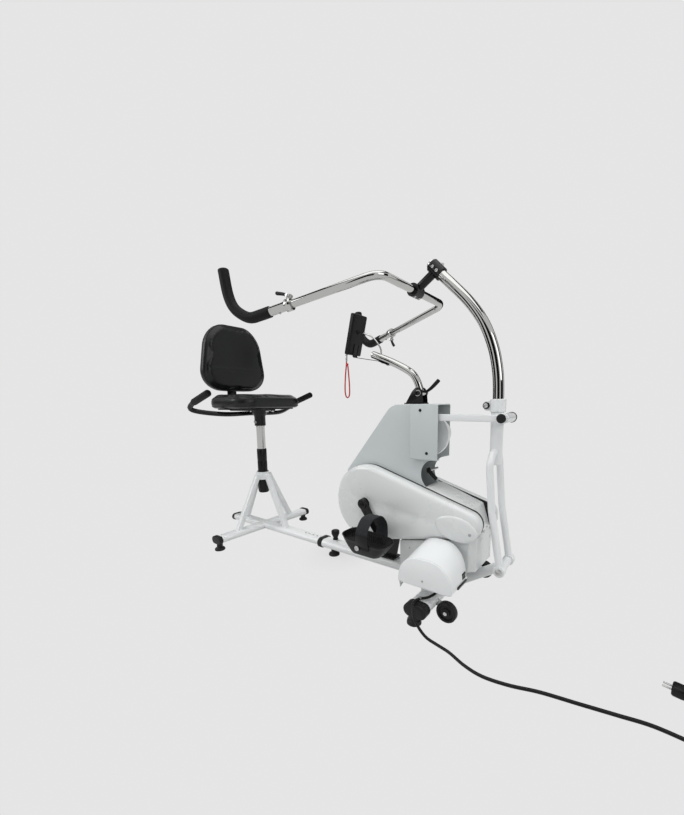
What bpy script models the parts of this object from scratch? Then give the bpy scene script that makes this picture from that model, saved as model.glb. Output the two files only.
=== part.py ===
"""A motorized therapy bike: a seat on its own sliding stand, and a drive unit with
pedals, a rocking arm for the hands and a console.

Metres, +Z up, the floor at Z = 0. The bike points along +X: the rider sits at the
low X end and looks towards +X. -Y is the near side, the rider's right hand.
Pieces are modelled in a working frame whose X = 0 is the middle of the seat stand,
and one empty at the end moves the whole bike so that its footprint is centred.
"""

import math

import bmesh
import bpy
import numpy as np
from mathutils import Matrix, Vector

X = Vector((1, 0, 0))
Y = Vector((0, 1, 0))
Z = Vector((0, 0, 1))

# Clearances
GAP = 0.0003
RUNNING_GAP = 0.0005
WALL = 0.003

# Flat-oval base tubes
BEAM_Z = 0.050
INNER_W, INNER_H = 0.060, 0.030
TUBE_WALL = 0.0025
OUTER_W = INNER_W + 2 * (TUBE_WALL + RUNNING_GAP)
OUTER_H = INNER_H + 2 * (TUBE_WALL + RUNNING_GAP)
BEAM_MOUTH_X = 0.405
BUSH_LENGTH = 0.022
BUSH_WALL = 0.004
HOLE_FIRST_X, HOLE_PITCH, HOLE_COUNT = 0.296, 0.025, 6
HOLE_R = 0.005
INNER_END_X = 0.620
KNOB_X, KNOB_R, KNOB_LOW_Z, KNOB_TOP_Z = 0.484, 0.017, 0.0745, 0.118
BEAM_FOOT_X, FOOT_R = 0.474, 0.024

# Seat stand
STAND_HALF_Y = 0.275
STAND_REAR_X = -0.250
STAND_LEG_FOOT = 0.165
STAND_LEG_TOP_Z = 0.312
LEG_SIDE = 0.024
COLLAR_TOP_Z, COLLAR_LOW_Z, COLLAR_R = 0.328, 0.290, 0.031
POST_R = 0.0205
SLEEVE_TOP_Z, SLEEVE_R = 0.445, 0.0235
CONE_LOW_Z, CONE_TOP_R, CONE_LOW_R = 0.222, 0.030, 0.024
POST_LOW_Z, POST_TOP_Z = 0.226, 0.590
CAP_WALL, CAP_LENGTH = 0.0025, 0.030

# Seat
PAN_Z, PAN_T = 0.640, 0.006
SEAT_X, SEAT_LENGTH, SEAT_WIDTH, SEAT_THICK, SEAT_CORNER = -0.020, 0.300, 0.380, 0.066, 0.085
BACK_FRONT_X, BACK_THICK = -0.160, 0.050
BACK_LOW_Z, BACK_TOP_Z, BACK_WIDTH = 0.730, 1.062, 0.340
BOARD_T = 0.010
BACK_TAPER = 0.16
UPRIGHT_W, UPRIGHT_T = 0.050, 0.008
HANDLE_R, HANDLE_GRIP_R = 0.0110, 0.0150
HANDLE_BAR_X, HANDLE_HALF_Y, HANDLE_END_X, HANDLE_END_Z = -0.060, 0.295, 0.056, 0.712

# Front frame
STAB_X, STAB_W, STAB_H, STAB_HALF_Y = 1.017, 0.070, 0.035, 0.248
STAB_FOOT_R = 0.0225
WHEEL_X, WHEEL_Y, WHEEL_R, WHEEL_W, WHEEL_Z = 1.086, 0.172, 0.0320, 0.022, 0.0340
WHEEL_AXLE_R = 0.006
STRUT_R, PIVOT_TUBE_R, PIVOT_HALF_Y = 0.016, 0.0125, 0.040
ARM_POST_X = 1.162
PIVOT_X, PIVOT_Z, PIVOT_BOLT_R = ARM_POST_X + 0.041, 0.150, 0.006

# Drive
CRANK_X, CRANK_Z, CRANK_LENGTH, CRANK_ANGLE = 0.727, 0.302, 0.130, math.radians(-56.6)
SHAFT_R = 0.010
COVER_R, COVER_TIP_X, COVER_TIP_Z, COVER_TIP_R = 0.140, 1.108, 0.288, 0.044
COVER_IN_Y, COVER_OUT_Y = 0.062, 0.105
COVER_BEVEL = 0.012
COVER_HUB_R = 0.020
ARM_IN_Y, ARM_T = 0.1085, 0.013
SHROUD_HALF_Y, SHROUD_TOP_Z, SHROUD_FRONT_X = 0.055, 0.660, 0.985
BOX_OUT_Y, BOX_X0, BOX_X1, BOX_Z0, BOX_Z1 = 0.078, 0.899, 1.000, 0.478, 0.6597
SHROUD_REAR, SHROUD_SLOPE_LOW, SHROUD_SLOPE_TOP = (0.600, 0.345), (0.605, 0.407), (0.795, 0.640)
SHROUD_CREST_X, SHROUD_FRONT_LOW_Z, SHROUD_NECK_X, SHROUD_LOW_Z = 0.834, 0.478, 0.957, 0.230
NOSE_HALF_Y, NOSE_TOP_Z, NOSE_REAR_X, NOSE_REAR_Z = 0.0425, 0.3715, 0.905, 0.330
SKIRT_HALF_Y, SKIRT_REAR_X, SKIRT_TOP_Z, SKIRT_LOW_Z = 0.085, 0.866, 0.165, 0.089
DISC_X, DISC_Z, DISC_R, DISC_Y, DISC_T = 0.948, 0.559, 0.072, -0.030, 0.012
PLATE_Y, PLATE_T = -0.004, 0.006
MOTOR_X, MOTOR_Z, MOTOR_R = 1.033, 0.163, 0.034
BELT_Y, BELT_W, BELT_T = 0.022, 0.012, 0.003
CRANK_PULLEY_R, MOTOR_PULLEY_R, TIMING_R = 0.095, 0.018, 0.045
TIMING_Y = 0.040

# Motor hood and its plate
HOOD_X0, HOOD_X1, HOOD_NEAR_Y, HOOD_FAR_Y = 0.946, 1.120, -0.228, -0.108
PLATE_TOP_Z, PLATE_THICK = 0.120, 0.003
HOOD_NEAR_H, HOOD_FAR_H = 0.086, 0.114

# Rocking arm
LEG_Y, LEG_R = 0.052, 0.011
EYE_R, EYE_HALF = 0.0175, LEG_R + RUNNING_GAP
LEG_BEND_X, LEG_BEND_Z = ARM_POST_X + 0.010, 0.335
ARM_POST_R, ARM_POST_LOW_Z, ARM_POST_TOP_Z = 0.019, 0.472, 0.634
NOSE_CLEARANCE = 0.026
NOSE_FRONT_X = LEG_BEND_X - LEG_R - NOSE_CLEARANCE
CLAMP_R, CLAMP_TOP_Z = 0.0235, 0.673
ARCH_TOP_Z = 0.515
ROD_Z, ROD_SIDE, ROD_IN_Y, ROD_OUT_Y = 0.617, 0.021, 0.0505, 0.0690
ROD_PIN_X, ROD_PIN_R, SLEEVE_FAR_Y = ARM_POST_X + 0.032, 0.006, 0.034
ROD_SLEEVE_R = 0.0150
ROD_REAR_X, ROD_TONGUE_END_X = DISC_X + 0.042, DISC_X + 0.062
ROD_TONGUE_Y, ROD_TONGUE_T = 0.0480, 0.0035
GOOSENECK_R = 0.0165
GOOSENECK_LOW_Z = 0.545

# Handlebar
BAR_R, BAR_X, BAR_Z, BAR_HALF_Y = 0.0127, 0.875, 1.035, 0.216
ARM_DIR = Vector((-0.944, -0.270, -0.188)).normalized()
GRIP_TUBE_R = 0.0148
FOAM_R = 0.0180
MOUTH_AT = 0.300
ARM_END_AT = 0.355

# Console
MAST_R = 0.0130
CONSOLE_W, CONSOLE_H, CONSOLE_T, CONSOLE_TILT = 0.080, 0.150, 0.021, math.radians(14.0)
CONSOLE_X, CONSOLE_Z = 0.6155, 0.922
BUTTON_R = 0.009

# Power cord
CORD_R = 0.00425
CORD_STEP = 0.022
COIL_TURNS, COIL_R, COIL_TAIL = 5, 0.047, 0.060

REAR_REACH = -STAND_REAR_X + CAP_WALL + GAP
FRONT_REACH = PIVOT_X + EYE_R
BIKE_MIDDLE_X = (FRONT_REACH - REAR_REACH) / 2

MATERIALS = {
    "white_enamel": ((0.80, 0.82, 0.83), 0.35, 0.0),
    "cover_plastic": ((0.78, 0.80, 0.80), 0.40, 0.0),
    "grey_enamel": ((0.60, 0.63, 0.66), 0.45, 0.0),
    "chrome": ((0.75, 0.75, 0.76), 0.12, 1.0),
    "steel": ((0.45, 0.45, 0.47), 0.35, 1.0),
    "black_plastic": ((0.015, 0.015, 0.017), 0.45, 0.0),
    "black_rubber": ((0.012, 0.012, 0.013), 0.75, 0.0),
    "black_vinyl": ((0.014, 0.014, 0.015), 0.40, 0.0),
    "black_webbing": ((0.03, 0.032, 0.034), 0.85, 0.0),
    "beige_cable": ((0.50, 0.46, 0.36), 0.55, 0.0),
    "red_cord": ((0.50, 0.01, 0.02), 0.70, 0.0),
}


def clear_scene():
    """Empty the file, so that the script gives the same result each run."""
    for old in list(bpy.data.objects):
        bpy.data.objects.remove(old, do_unlink=True)


def collection(name):
    made = bpy.data.collections.new(name)
    bpy.context.scene.collection.children.link(made)
    return made


def material(name):
    """The material of that name, made the first time it is asked for."""
    found = bpy.data.materials.get(name)
    if found:
        return found
    colour, roughness, metallic = MATERIALS[name]
    made = bpy.data.materials.new(name)
    made.use_nodes = True
    shader = made.node_tree.nodes["Principled BSDF"]
    shader.inputs["Base Color"].default_value = (*colour, 1)
    shader.inputs["Roughness"].default_value = roughness
    shader.inputs["Metallic"].default_value = metallic
    return made


def bake(obj):
    """Replace an object's curve or mesh and modifiers by the mesh they make."""
    evaluated = obj.evaluated_get(bpy.context.evaluated_depsgraph_get())
    mesh = bpy.data.meshes.new_from_object(evaluated)
    bm = bmesh.new()
    bm.from_mesh(mesh)
    bmesh.ops.remove_doubles(bm, verts=bm.verts, dist=1e-6)
    bm.to_mesh(mesh)
    bm.free()
    if obj.type == "MESH":
        obj.modifiers.clear()
        obj.data = mesh
        return obj
    made = bpy.data.objects.new(obj.name, mesh)
    made.matrix_world = obj.matrix_world.copy()
    name = obj.name
    bpy.data.objects.remove(obj, do_unlink=True)
    made.name = name
    WORKSHOP.objects.link(made)
    bpy.context.view_layer.update()
    return made


def mesh_piece(name, bm):
    bmesh.ops.recalc_face_normals(bm, faces=bm.faces)
    mesh = bpy.data.meshes.new(name)
    bm.to_mesh(mesh)
    bm.free()
    obj = bpy.data.objects.new(name, mesh)
    WORKSHOP.objects.link(obj)
    return obj


def soften(obj, width, segments=2, angle=40):
    """Round the edges sharper than an angle in degrees."""
    bevel = obj.modifiers.new("soft_edges", "BEVEL")
    bevel.width = width
    bevel.segments = segments
    bevel.limit_method = "ANGLE"
    bevel.angle_limit = math.radians(angle)
    bevel.use_clamp_overlap = True
    return bake(obj)


def combine(obj, other, operation):
    """Join or cut one solid with another, which is used up."""
    boolean = obj.modifiers.new("combine", "BOOLEAN")
    boolean.operation = operation
    boolean.solver = "EXACT"
    boolean.object = other
    bpy.context.view_layer.update()
    bake(obj)
    bpy.data.objects.remove(other, do_unlink=True)
    return obj


def join(obj, *others):
    for other in others:
        combine(obj, other, "UNION")
    return obj


def cut(obj, *others):
    for other in others:
        combine(obj, other, "DIFFERENCE")
    return obj


def box(name, low, high):
    """A box between two corners."""
    low, high = Vector(low), Vector(high)
    bm = bmesh.new()
    size = high - low
    bmesh.ops.create_cube(bm, size=1, matrix=Matrix.Diagonal((*size, 1)))
    obj = mesh_piece(name, bm)
    obj.location = (low + high) / 2
    return obj


def rod(name, start, end, radius, sides=12):
    """A round bar from one point to another."""
    start, end = Vector(start), Vector(end)
    bm = bmesh.new()
    bmesh.ops.create_cone(
        bm, cap_ends=True, segments=sides, radius1=radius, radius2=radius, depth=(end - start).length
    )
    obj = mesh_piece(name, bm)
    obj.location = (start + end) / 2
    obj.rotation_euler = (end - start).to_track_quat("Z", "Y").to_euler()
    bpy.context.view_layer.update()
    return obj


def turned(name, profile, location, axis=Z, steps=14):
    """A turned piece: its profile holds (radius, height) pairs down the outer side.

    A profile that starts and ends on the axis is solid, and any other is closed
    into a ring with a bore.
    """
    bm = bmesh.new()
    corners = [bm.verts.new((radius, 0, height)) for radius, height in profile]
    edges = list(zip(corners, corners[1:]))
    if profile[0][0] > 0:
        edges.append((corners[-1], corners[0]))
    for pair in edges:
        bm.edges.new(pair)
    obj = mesh_piece(name, bm)
    obj.location = location
    obj.rotation_euler = axis.to_track_quat("Z", "Y").to_euler()
    screw = obj.modifiers.new("turn", "SCREW")
    screw.steps = steps
    screw.render_steps = steps
    screw.use_merge_vertices = True
    screw.merge_threshold = 0.00001
    bpy.context.view_layer.update()
    return bake(obj)


PLANES = {
    "XY": (0, 0, 0),
    "XZ": (math.pi / 2, 0, 0),
    "YZ": (math.pi / 2, 0, math.pi / 2),
}


def plate(name, outline, plane, low, high):
    """A flat outline with a thickness, from low to high along the plane's normal."""
    flat = bpy.data.curves.new(name, "CURVE")
    flat.dimensions = "2D"
    flat.fill_mode = "BOTH"
    flat.extrude = (high - low) / 2
    spline = flat.splines.new("POLY")
    spline.points.add(len(outline) - 1)
    for point, corner in zip(spline.points, outline):
        point.co = (*corner, 0, 1)
    spline.use_cyclic_u = True
    obj = bpy.data.objects.new(name, flat)
    WORKSHOP.objects.link(obj)
    obj.rotation_euler = PLANES[plane]
    middle = (low + high) / 2
    obj.location = {"XY": (0, 0, middle), "XZ": (0, middle, 0), "YZ": (middle, 0, 0)}[plane]
    bpy.context.view_layer.update()
    return bake(obj)


def arc(centre, radius, start, end, steps):
    """Points of an arc, its angles in degrees."""
    angles = np.radians(np.linspace(start, end, steps + 1))
    return [(centre[0] + radius * math.cos(a), centre[1] + radius * math.sin(a)) for a in angles]


def stadium(centre, width, height, steps=4):
    """A flat-oval outline: a rectangle with round ends, its width the longer side."""
    radius = height / 2
    reach = width / 2 - radius
    right = arc((centre[0] + reach, centre[1]), radius, -90, 90, steps)
    left = arc((centre[0] - reach, centre[1]), radius, 90, 270, steps)
    return right + left


def rounded(corners, radius, steps=4):
    """An outline of straight sides with every corner rounded by one radius."""
    outline = []
    count = len(corners)
    for index, corner in enumerate(corners):
        here = Vector(corner)
        back = (Vector(corners[index - 1]) - here)
        ahead = (Vector(corners[(index + 1) % count]) - here)
        half = back.angle(ahead) / 2
        reach = min(radius / math.tan(half), 0.49 * back.length, 0.49 * ahead.length)
        true_radius = reach * math.tan(half)
        towards = (back.normalized() + ahead.normalized()).normalized()
        centre = here + towards * (true_radius / math.sin(half))
        first = here + back.normalized() * reach - centre
        last = here + ahead.normalized() * reach - centre
        turn = first.angle_signed(last)
        for step in range(steps + 1):
            point = first.copy()
            point.rotate(Matrix.Rotation(-turn * step / steps, 2))
            outline.append(tuple(centre + point))
    return outline


def two_circle_outline(big, small, steps=16):
    """The outline of a belt round two circles, each given as (x, z, radius)."""
    (x1, z1, r1), (x2, z2, r2) = big, small
    base = math.degrees(math.atan2(z2 - z1, x2 - x1))
    lean = math.degrees(math.acos((r1 - r2) / math.hypot(x2 - x1, z2 - z1)))
    return arc((x1, z1), r1, base + lean, base + 360 - lean, steps * 2) + arc(
        (x2, z2), r2, base - lean, base + lean, steps
    )


def bent(corners, radius, steps=4):
    """The centre line of a tube bent from straight runs, with arcs at its corners."""
    line = [Vector(corners[0])]
    for before, corner, after in zip(corners, corners[1:], corners[2:]):
        here = Vector(corner)
        back = (Vector(before) - here).normalized()
        ahead = (Vector(after) - here).normalized()
        half = back.angle(ahead) / 2
        reach = radius / math.tan(half)
        centre = here + (back + ahead).normalized() * (radius / math.sin(half))
        first = here + back * reach - centre
        last = here + ahead * reach - centre
        whole = first.angle(last)
        for step in range(steps + 1):
            part = whole * step / steps
            line.append(centre + (first * math.sin(whole - part) + last * math.sin(part)) / math.sin(whole))
    line.append(Vector(corners[-1]))
    return line


def smooth(points, spacing):
    """A smooth curve through points, read at an even spacing."""
    route = [Vector(point) for point in points]
    route = [route[0] * 2 - route[1]] + route + [route[-1] * 2 - route[-2]]
    fine = []
    for a, b, c, d in zip(route, route[1:], route[2:], route[3:]):
        for step in range(16):
            t = step / 16
            fine.append(
                0.5 * (2 * b + (c - a) * t + (2 * a - 5 * b + 4 * c - d) * t**2 + (3 * b - 3 * c + d - a) * t**3)
            )
    fine.append(route[-2])
    lengths = [0.0]
    for one, two in zip(fine, fine[1:]):
        lengths.append(lengths[-1] + (two - one).length)
    count = max(2, round(lengths[-1] / spacing) + 1)
    even = []
    for wanted in np.linspace(0, lengths[-1], count):
        after = min(int(np.searchsorted(lengths, wanted)), len(fine) - 1)
        before = max(after - 1, 0)
        span = lengths[after] - lengths[before]
        share = (wanted - lengths[before]) / span if span else 0
        even.append(fine[before].lerp(fine[after], share))
    return even


def tube(name, line, radius, resolution=3):
    """A round tube, solid, along a line of points."""
    curve = bpy.data.curves.new(name, "CURVE")
    curve.dimensions = "3D"
    curve.bevel_depth = radius
    curve.bevel_resolution = resolution
    curve.use_fill_caps = True
    spline = curve.splines.new("POLY")
    spline.points.add(len(line) - 1)
    for point, place in zip(spline.points, line):
        point.co = (*place, 1)
    obj = bpy.data.objects.new(name, curve)
    WORKSHOP.objects.link(obj)
    bpy.context.view_layer.update()
    return bake(obj)


def mirrored(name, obj):
    """A copy of a near-side piece for the far side."""
    bm = bmesh.new()
    bm.from_mesh(obj.data)
    bm.transform(Matrix.Scale(-1, 4, Y) @ obj.matrix_world)
    bmesh.ops.reverse_faces(bm, faces=bm.faces)
    return mesh_piece(name, bm)


def main_beam():
    """The flat-oval sleeve on the floor that the seat stand slides into, its mouth ringed."""
    beam = plate("main_beam", stadium((0, BEAM_Z), OUTER_W, OUTER_H), "YZ", BEAM_MOUTH_X, STAB_X - STAB_W / 2 - GAP)
    bush_w, bush_h = OUTER_W + 2 * BUSH_WALL, OUTER_H + 2 * BUSH_WALL
    mouth = plate("mouth", stadium((0, BEAM_Z), bush_w, bush_h), "YZ", BEAM_MOUTH_X, BEAM_MOUTH_X + BUSH_LENGTH)
    boss = rod("boss", (KNOB_X, 0, BEAM_Z), (KNOB_X, 0, KNOB_LOW_Z - GAP), 0.013)
    beam = join(beam, mouth, boss)
    bore_w, bore_h = INNER_W + 2 * RUNNING_GAP, INNER_H + 2 * RUNNING_GAP
    bore = plate("bore", stadium((0, BEAM_Z), bore_w, bore_h), "YZ", BEAM_MOUTH_X - 0.01, STAB_X)
    pin_hole = rod("pin_hole", (KNOB_X, 0, BEAM_Z), (KNOB_X, 0, 0.2), HOLE_R + RUNNING_GAP)
    return cut(beam, bore, pin_hole)


def beam_lock_knob():
    """The sprung pull knob: its pin stands in the sleeve's hole, clear of the sliding beam."""
    pin_low = BEAM_Z + INNER_H / 2 + RUNNING_GAP
    knob_height = KNOB_TOP_Z - KNOB_LOW_Z
    profile = [(0, KNOB_TOP_Z), (KNOB_R - 0.002, KNOB_TOP_Z), (KNOB_R, KNOB_TOP_Z - 0.002)]
    profile += [(KNOB_R, KNOB_LOW_Z + 0.3 * knob_height), (KNOB_R - 0.004, KNOB_LOW_Z)]
    profile += [(HOLE_R, KNOB_LOW_Z), (HOLE_R, pin_low), (0, pin_low)]
    return turned("beam_lock_knob", profile, (KNOB_X, 0, 0))


def beam_foot():
    """The rubber foot under the sleeve's mouth."""
    top = BEAM_Z - OUTER_H / 2 - GAP
    profile = [(0, top), (0.013, top), (0.013, 0.022), (FOOT_R, 0.012), (FOOT_R, 0.0), (0, 0)]
    return turned("beam_foot", profile, (BEAM_FOOT_X, 0, 0))


def stand_frame():
    """The seat stand: crossed flat-oval tubes, four legs and a collar, welded together."""
    cross = plate("stand_frame", stadium((0, BEAM_Z), INNER_W, INNER_H), "YZ", STAND_REAR_X, INNER_END_X)
    side = plate("side", stadium((0, BEAM_Z), INNER_W, INNER_H), "XZ", -STAND_HALF_Y, STAND_HALF_Y)
    cross = join(cross, side)
    for quarter in range(4):
        around = Matrix.Rotation(math.radians(90 * quarter), 4, "Z")
        foot = around @ Vector((STAND_LEG_FOOT, 0, BEAM_Z))
        head = around @ Vector((COLLAR_R + 0.002, 0, STAND_LEG_TOP_Z))
        leg = box("leg", (-LEG_SIDE / 2, -LEG_SIDE / 2, 0), (LEG_SIDE / 2, LEG_SIDE / 2, (head - foot).length))
        leg.rotation_euler = (head - foot).to_track_quat("Z", "Y").to_euler()
        leg.location = (foot + head) / 2
        bpy.context.view_layer.update()
        cross = join(cross, leg)
    cross = join(cross, rod("collar", (0, 0, COLLAR_LOW_Z), (0, 0, COLLAR_TOP_Z), COLLAR_R, 24))
    cavity_w, cavity_h = INNER_W - 2 * TUBE_WALL, INNER_H - 2 * TUBE_WALL
    long_bore = plate(
        "bore", stadium((0, BEAM_Z), cavity_w, cavity_h), "YZ", STAND_REAR_X - 0.01, INNER_END_X + 0.01
    )
    side_bore = plate(
        "bore", stadium((0, BEAM_Z), cavity_w, cavity_h), "XZ", -STAND_HALF_Y - 0.01, STAND_HALF_Y + 0.01
    )
    post_bore = rod("bore", (0, 0, 0.2), (0, 0, 0.4), POST_R + RUNNING_GAP, 24)
    cross = cut(cross, long_bore, side_bore, post_bore)
    for number in range(HOLE_COUNT):
        x = HOLE_FIRST_X + number * HOLE_PITCH
        cross = cut(cross, rod("hole", (x, 0, BEAM_Z), (x, 0, 0.1), HOLE_R, 8))
    return cross


def stand_ends():
    """Rubber cups over the ends of the crossed tubes; the side ones carry a round foot."""
    plain = (INNER_W + 2 * GAP, INNER_H + 2 * GAP)
    shell = (plain[0] + 2 * CAP_WALL, plain[1] + 2 * CAP_WALL)
    made = []
    for name, side in (("stand_end_near", -1), ("stand_end_far", 1)):
        inner, outer = sorted((side * (STAND_HALF_Y - CAP_LENGTH), side * (STAND_HALF_Y + CAP_WALL + GAP)))
        end = plate(name, stadium((0, BEAM_Z), *shell), "XZ", inner, outer)
        low = BEAM_Z - shell[1] / 2
        profile = [(0, low + 0.001), (0.013, low + 0.001), (0.013, 0.020), (0.0225, 0.010), (0.0225, 0), (0, 0)]
        foot = turned("foot", profile, (0, side * (STAND_HALF_Y - CAP_LENGTH / 2), 0))
        end = join(end, foot)
        inner, outer = sorted((side * (STAND_HALF_Y - CAP_LENGTH - 0.01), side * (STAND_HALF_Y + GAP)))
        made.append(cut(end, plate("socket", stadium((0, BEAM_Z), *plain), "XZ", inner, outer)))
    rear = plate(
        "stand_cap_rear", stadium((0, BEAM_Z), *shell), "YZ", STAND_REAR_X - CAP_WALL - GAP, STAND_REAR_X + CAP_LENGTH
    )
    socket = plate("socket", stadium((0, BEAM_Z), *plain), "YZ", STAND_REAR_X - GAP, STAND_REAR_X + CAP_LENGTH + 0.01)
    made.append(cut(rear, socket))
    return made


def height_sleeve():
    """The black guide that stands on the collar and steadies the post."""
    bore = POST_R + RUNNING_GAP
    low = COLLAR_TOP_Z + GAP
    profile = [(bore, SLEEVE_TOP_Z), (SLEEVE_R - 0.001, SLEEVE_TOP_Z), (SLEEVE_R, SLEEVE_TOP_Z - 0.002)]
    profile += [(SLEEVE_R, low), (bore, low)]
    return turned("height_sleeve", profile, (0, 0, 0), Z, 24)


def lock_cone():
    """The black bell nut under the collar, turned to clamp the post at its height."""
    bore = POST_R + RUNNING_GAP
    top = COLLAR_LOW_Z - GAP
    profile = [(bore, top), (CONE_TOP_R, top), (CONE_TOP_R, top - 0.018), (CONE_LOW_R, CONE_LOW_Z), (bore, CONE_LOW_Z)]
    return turned("lock_cone", profile, (0, 0, 0), Z, 24)


def seat_post():
    """The chrome post, a tube open at both ends."""
    wall = 0.0025
    profile = [(POST_R - wall, POST_TOP_Z), (POST_R, POST_TOP_Z), (POST_R, POST_LOW_Z), (POST_R - wall, POST_LOW_Z)]
    return turned("seat_post", profile, (0, 0, 0), Z, 24)


def seat_frame():
    """The turning bracket, the pan under the cushion and the upright with its back board."""
    socket_low = POST_TOP_Z - 0.030
    profile = [(0, PAN_Z + 0.001), (0.040, PAN_Z + 0.001), (0.036, PAN_Z - 0.018), (POST_R + 0.006, PAN_Z - 0.034)]
    profile += [(POST_R + 0.006, socket_low), (POST_R + GAP, socket_low), (POST_R + GAP, POST_TOP_Z + GAP)]
    profile += [(0, POST_TOP_Z + GAP)]
    frame = turned("seat_frame", profile, (0, 0, 0), Z, 24)
    inset = 0.030
    x0, x1 = SEAT_X - SEAT_LENGTH / 2 + inset, SEAT_X + SEAT_LENGTH / 2 - inset
    y1 = SEAT_WIDTH / 2 - inset
    outline = rounded([(x0, -y1), (x1, -y1), (x1, y1), (x0, y1)], SEAT_CORNER - inset)
    pan = plate("pan", outline, "XY", PAN_Z, PAN_Z + PAN_T)
    back_x = BACK_FRONT_X - BACK_THICK - GAP - BOARD_T
    half = UPRIGHT_W / 2
    foot_x = HANDLE_BAR_X + 2 * HANDLE_R
    side_view = [(foot_x, PAN_Z + 0.003), (foot_x, PAN_Z - UPRIGHT_T), (back_x - UPRIGHT_T, PAN_Z - UPRIGHT_T)]
    side_view += [(back_x - UPRIGHT_T, BACK_TOP_Z - 0.120), (back_x + 0.002, BACK_TOP_Z - 0.120)]
    side_view += [(back_x + 0.002, PAN_Z + 0.003)]
    upright = plate("upright", side_view, "XZ", -half, half)
    board_half = BACK_WIDTH / 2 - inset
    low, high = BACK_LOW_Z + inset, BACK_TOP_Z - inset
    corners = [(-board_half, low), (board_half, low), (board_half * 0.8, high), (-board_half * 0.8, high)]
    board = plate("board", rounded(corners, 0.060), "YZ", back_x, back_x + BOARD_T)
    return join(frame, pan, upright, board)


def cushion(name, rings, count, centre, axes):
    """A padded block as a coarse cage of rounded rings, smoothed by subdivision.

    Each ring is (height, length, width, corner radius); axes turn length, width
    and height into the bike's directions.
    """
    bm = bmesh.new()
    along, across, up = axes
    rows = []
    for height, length, width, corner, narrowing in rings:
        half_l, half_w = length / 2, width / 2
        outline = rounded([(-half_l, -half_w), (half_l, -half_w), (half_l, half_w), (-half_l, half_w)], corner, count)
        row = []
        for u, v in outline:
            v *= 1 - narrowing * u / half_l
            row.append(bm.verts.new(centre + along * u + across * v + up * height))
        rows.append(row)
    for low, high in zip(rows, rows[1:]):
        for index in range(len(low)):
            after = (index + 1) % len(low)
            bm.faces.new((low[index], low[after], high[after], high[index]))
    bm.faces.new(list(reversed(rows[0])))
    bm.faces.new(rows[-1])
    obj = mesh_piece(name, bm)
    smoothing = obj.modifiers.new("smooth", "SUBSURF")
    smoothing.levels = 1
    smoothing.render_levels = 1
    bpy.context.view_layer.update()
    return bake(obj)


def seat_cushion():
    """The seat pad: flat below, drawn in at its band, crowned on top with a low front lip."""
    length, width, corner, thick = SEAT_LENGTH, SEAT_WIDTH, SEAT_CORNER, SEAT_THICK
    rings = [
        (0.0, length - 0.050, width - 0.050, corner - 0.020, 0.0),
        (0.001, length - 0.022, width - 0.022, corner - 0.010, 0.0),
        (thick * 0.30, length, width, corner, 0.0),
        (thick * 0.62, length - 0.004, width - 0.004, corner, 0.0),
        (thick * 0.70, length + 0.002, width + 0.002, corner, 0.0),
        (thick * 0.84, length - 0.024, width - 0.024, corner, 0.0),
        (thick * 0.96, length - 0.090, width - 0.090, corner - 0.035, 0.0),
        (thick * 1.00, length - 0.170, width - 0.170, corner - 0.060, 0.0),
    ]
    return cushion("seat_cushion", rings, 2, Vector((SEAT_X, 0, PAN_Z + PAN_T + GAP)), (X, Y, Z))


def back_cushion():
    """The back pad: widest low down, with a band round its edge and a crowned front."""
    height, width, corner, thick = BACK_TOP_Z - BACK_LOW_Z, BACK_WIDTH, 0.110, BACK_THICK
    taper = BACK_TAPER
    rings = [
        (0.0, height - 0.060, width - 0.060, corner - 0.025, taper),
        (0.001, height - 0.026, width - 0.026, corner - 0.012, taper),
        (thick * 0.35, height, width, corner, taper),
        (thick * 0.62, height - 0.004, width - 0.004, corner, taper),
        (thick * 0.70, height + 0.002, width + 0.002, corner, taper),
        (thick * 0.85, height - 0.030, width - 0.030, corner, taper),
        (thick * 0.96, height - 0.110, width - 0.110, corner - 0.045, taper),
        (thick * 1.00, height - 0.200, width - 0.200, corner - 0.070, taper),
    ]
    middle = Vector((BACK_FRONT_X - BACK_THICK, 0, (BACK_LOW_Z + BACK_TOP_Z) / 2))
    return cushion("back_cushion", rings, 2, middle, (Z, Y, X))


def side_handles():
    """One bar bolted under the pan that ends in a padded handle on each side."""
    low = PAN_Z - UPRIGHT_T - HANDLE_R - GAP
    elbow = Vector((-0.110, -HANDLE_HALF_Y + 0.020, low + 0.020))
    rear = Vector((HANDLE_BAR_X, -SEAT_WIDTH / 2 + 0.030, low))
    grip_start = Vector((-0.070, -HANDLE_HALF_Y, low + 0.052))
    near_end = Vector((HANDLE_END_X, -HANDLE_HALF_Y, HANDLE_END_Z))
    half = [near_end, grip_start, elbow, rear]
    far = [Vector((point.x, -point.y, point.z)) for point in reversed(half)]
    bar = tube("side_handles", smooth(half + [Vector((HANDLE_BAR_X, 0, low))] + far, 0.034), HANDLE_R, 2)
    for side in (-1, 1):
        start = Vector((grip_start.x + 0.010, side * HANDLE_HALF_Y, grip_start.z + 0.004))
        grip = rod("grip", start, (HANDLE_END_X + 0.006, side * HANDLE_HALF_Y, HANDLE_END_Z + 0.002), HANDLE_GRIP_R, 16)
        bar = join(bar, grip)
    return bar


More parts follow.
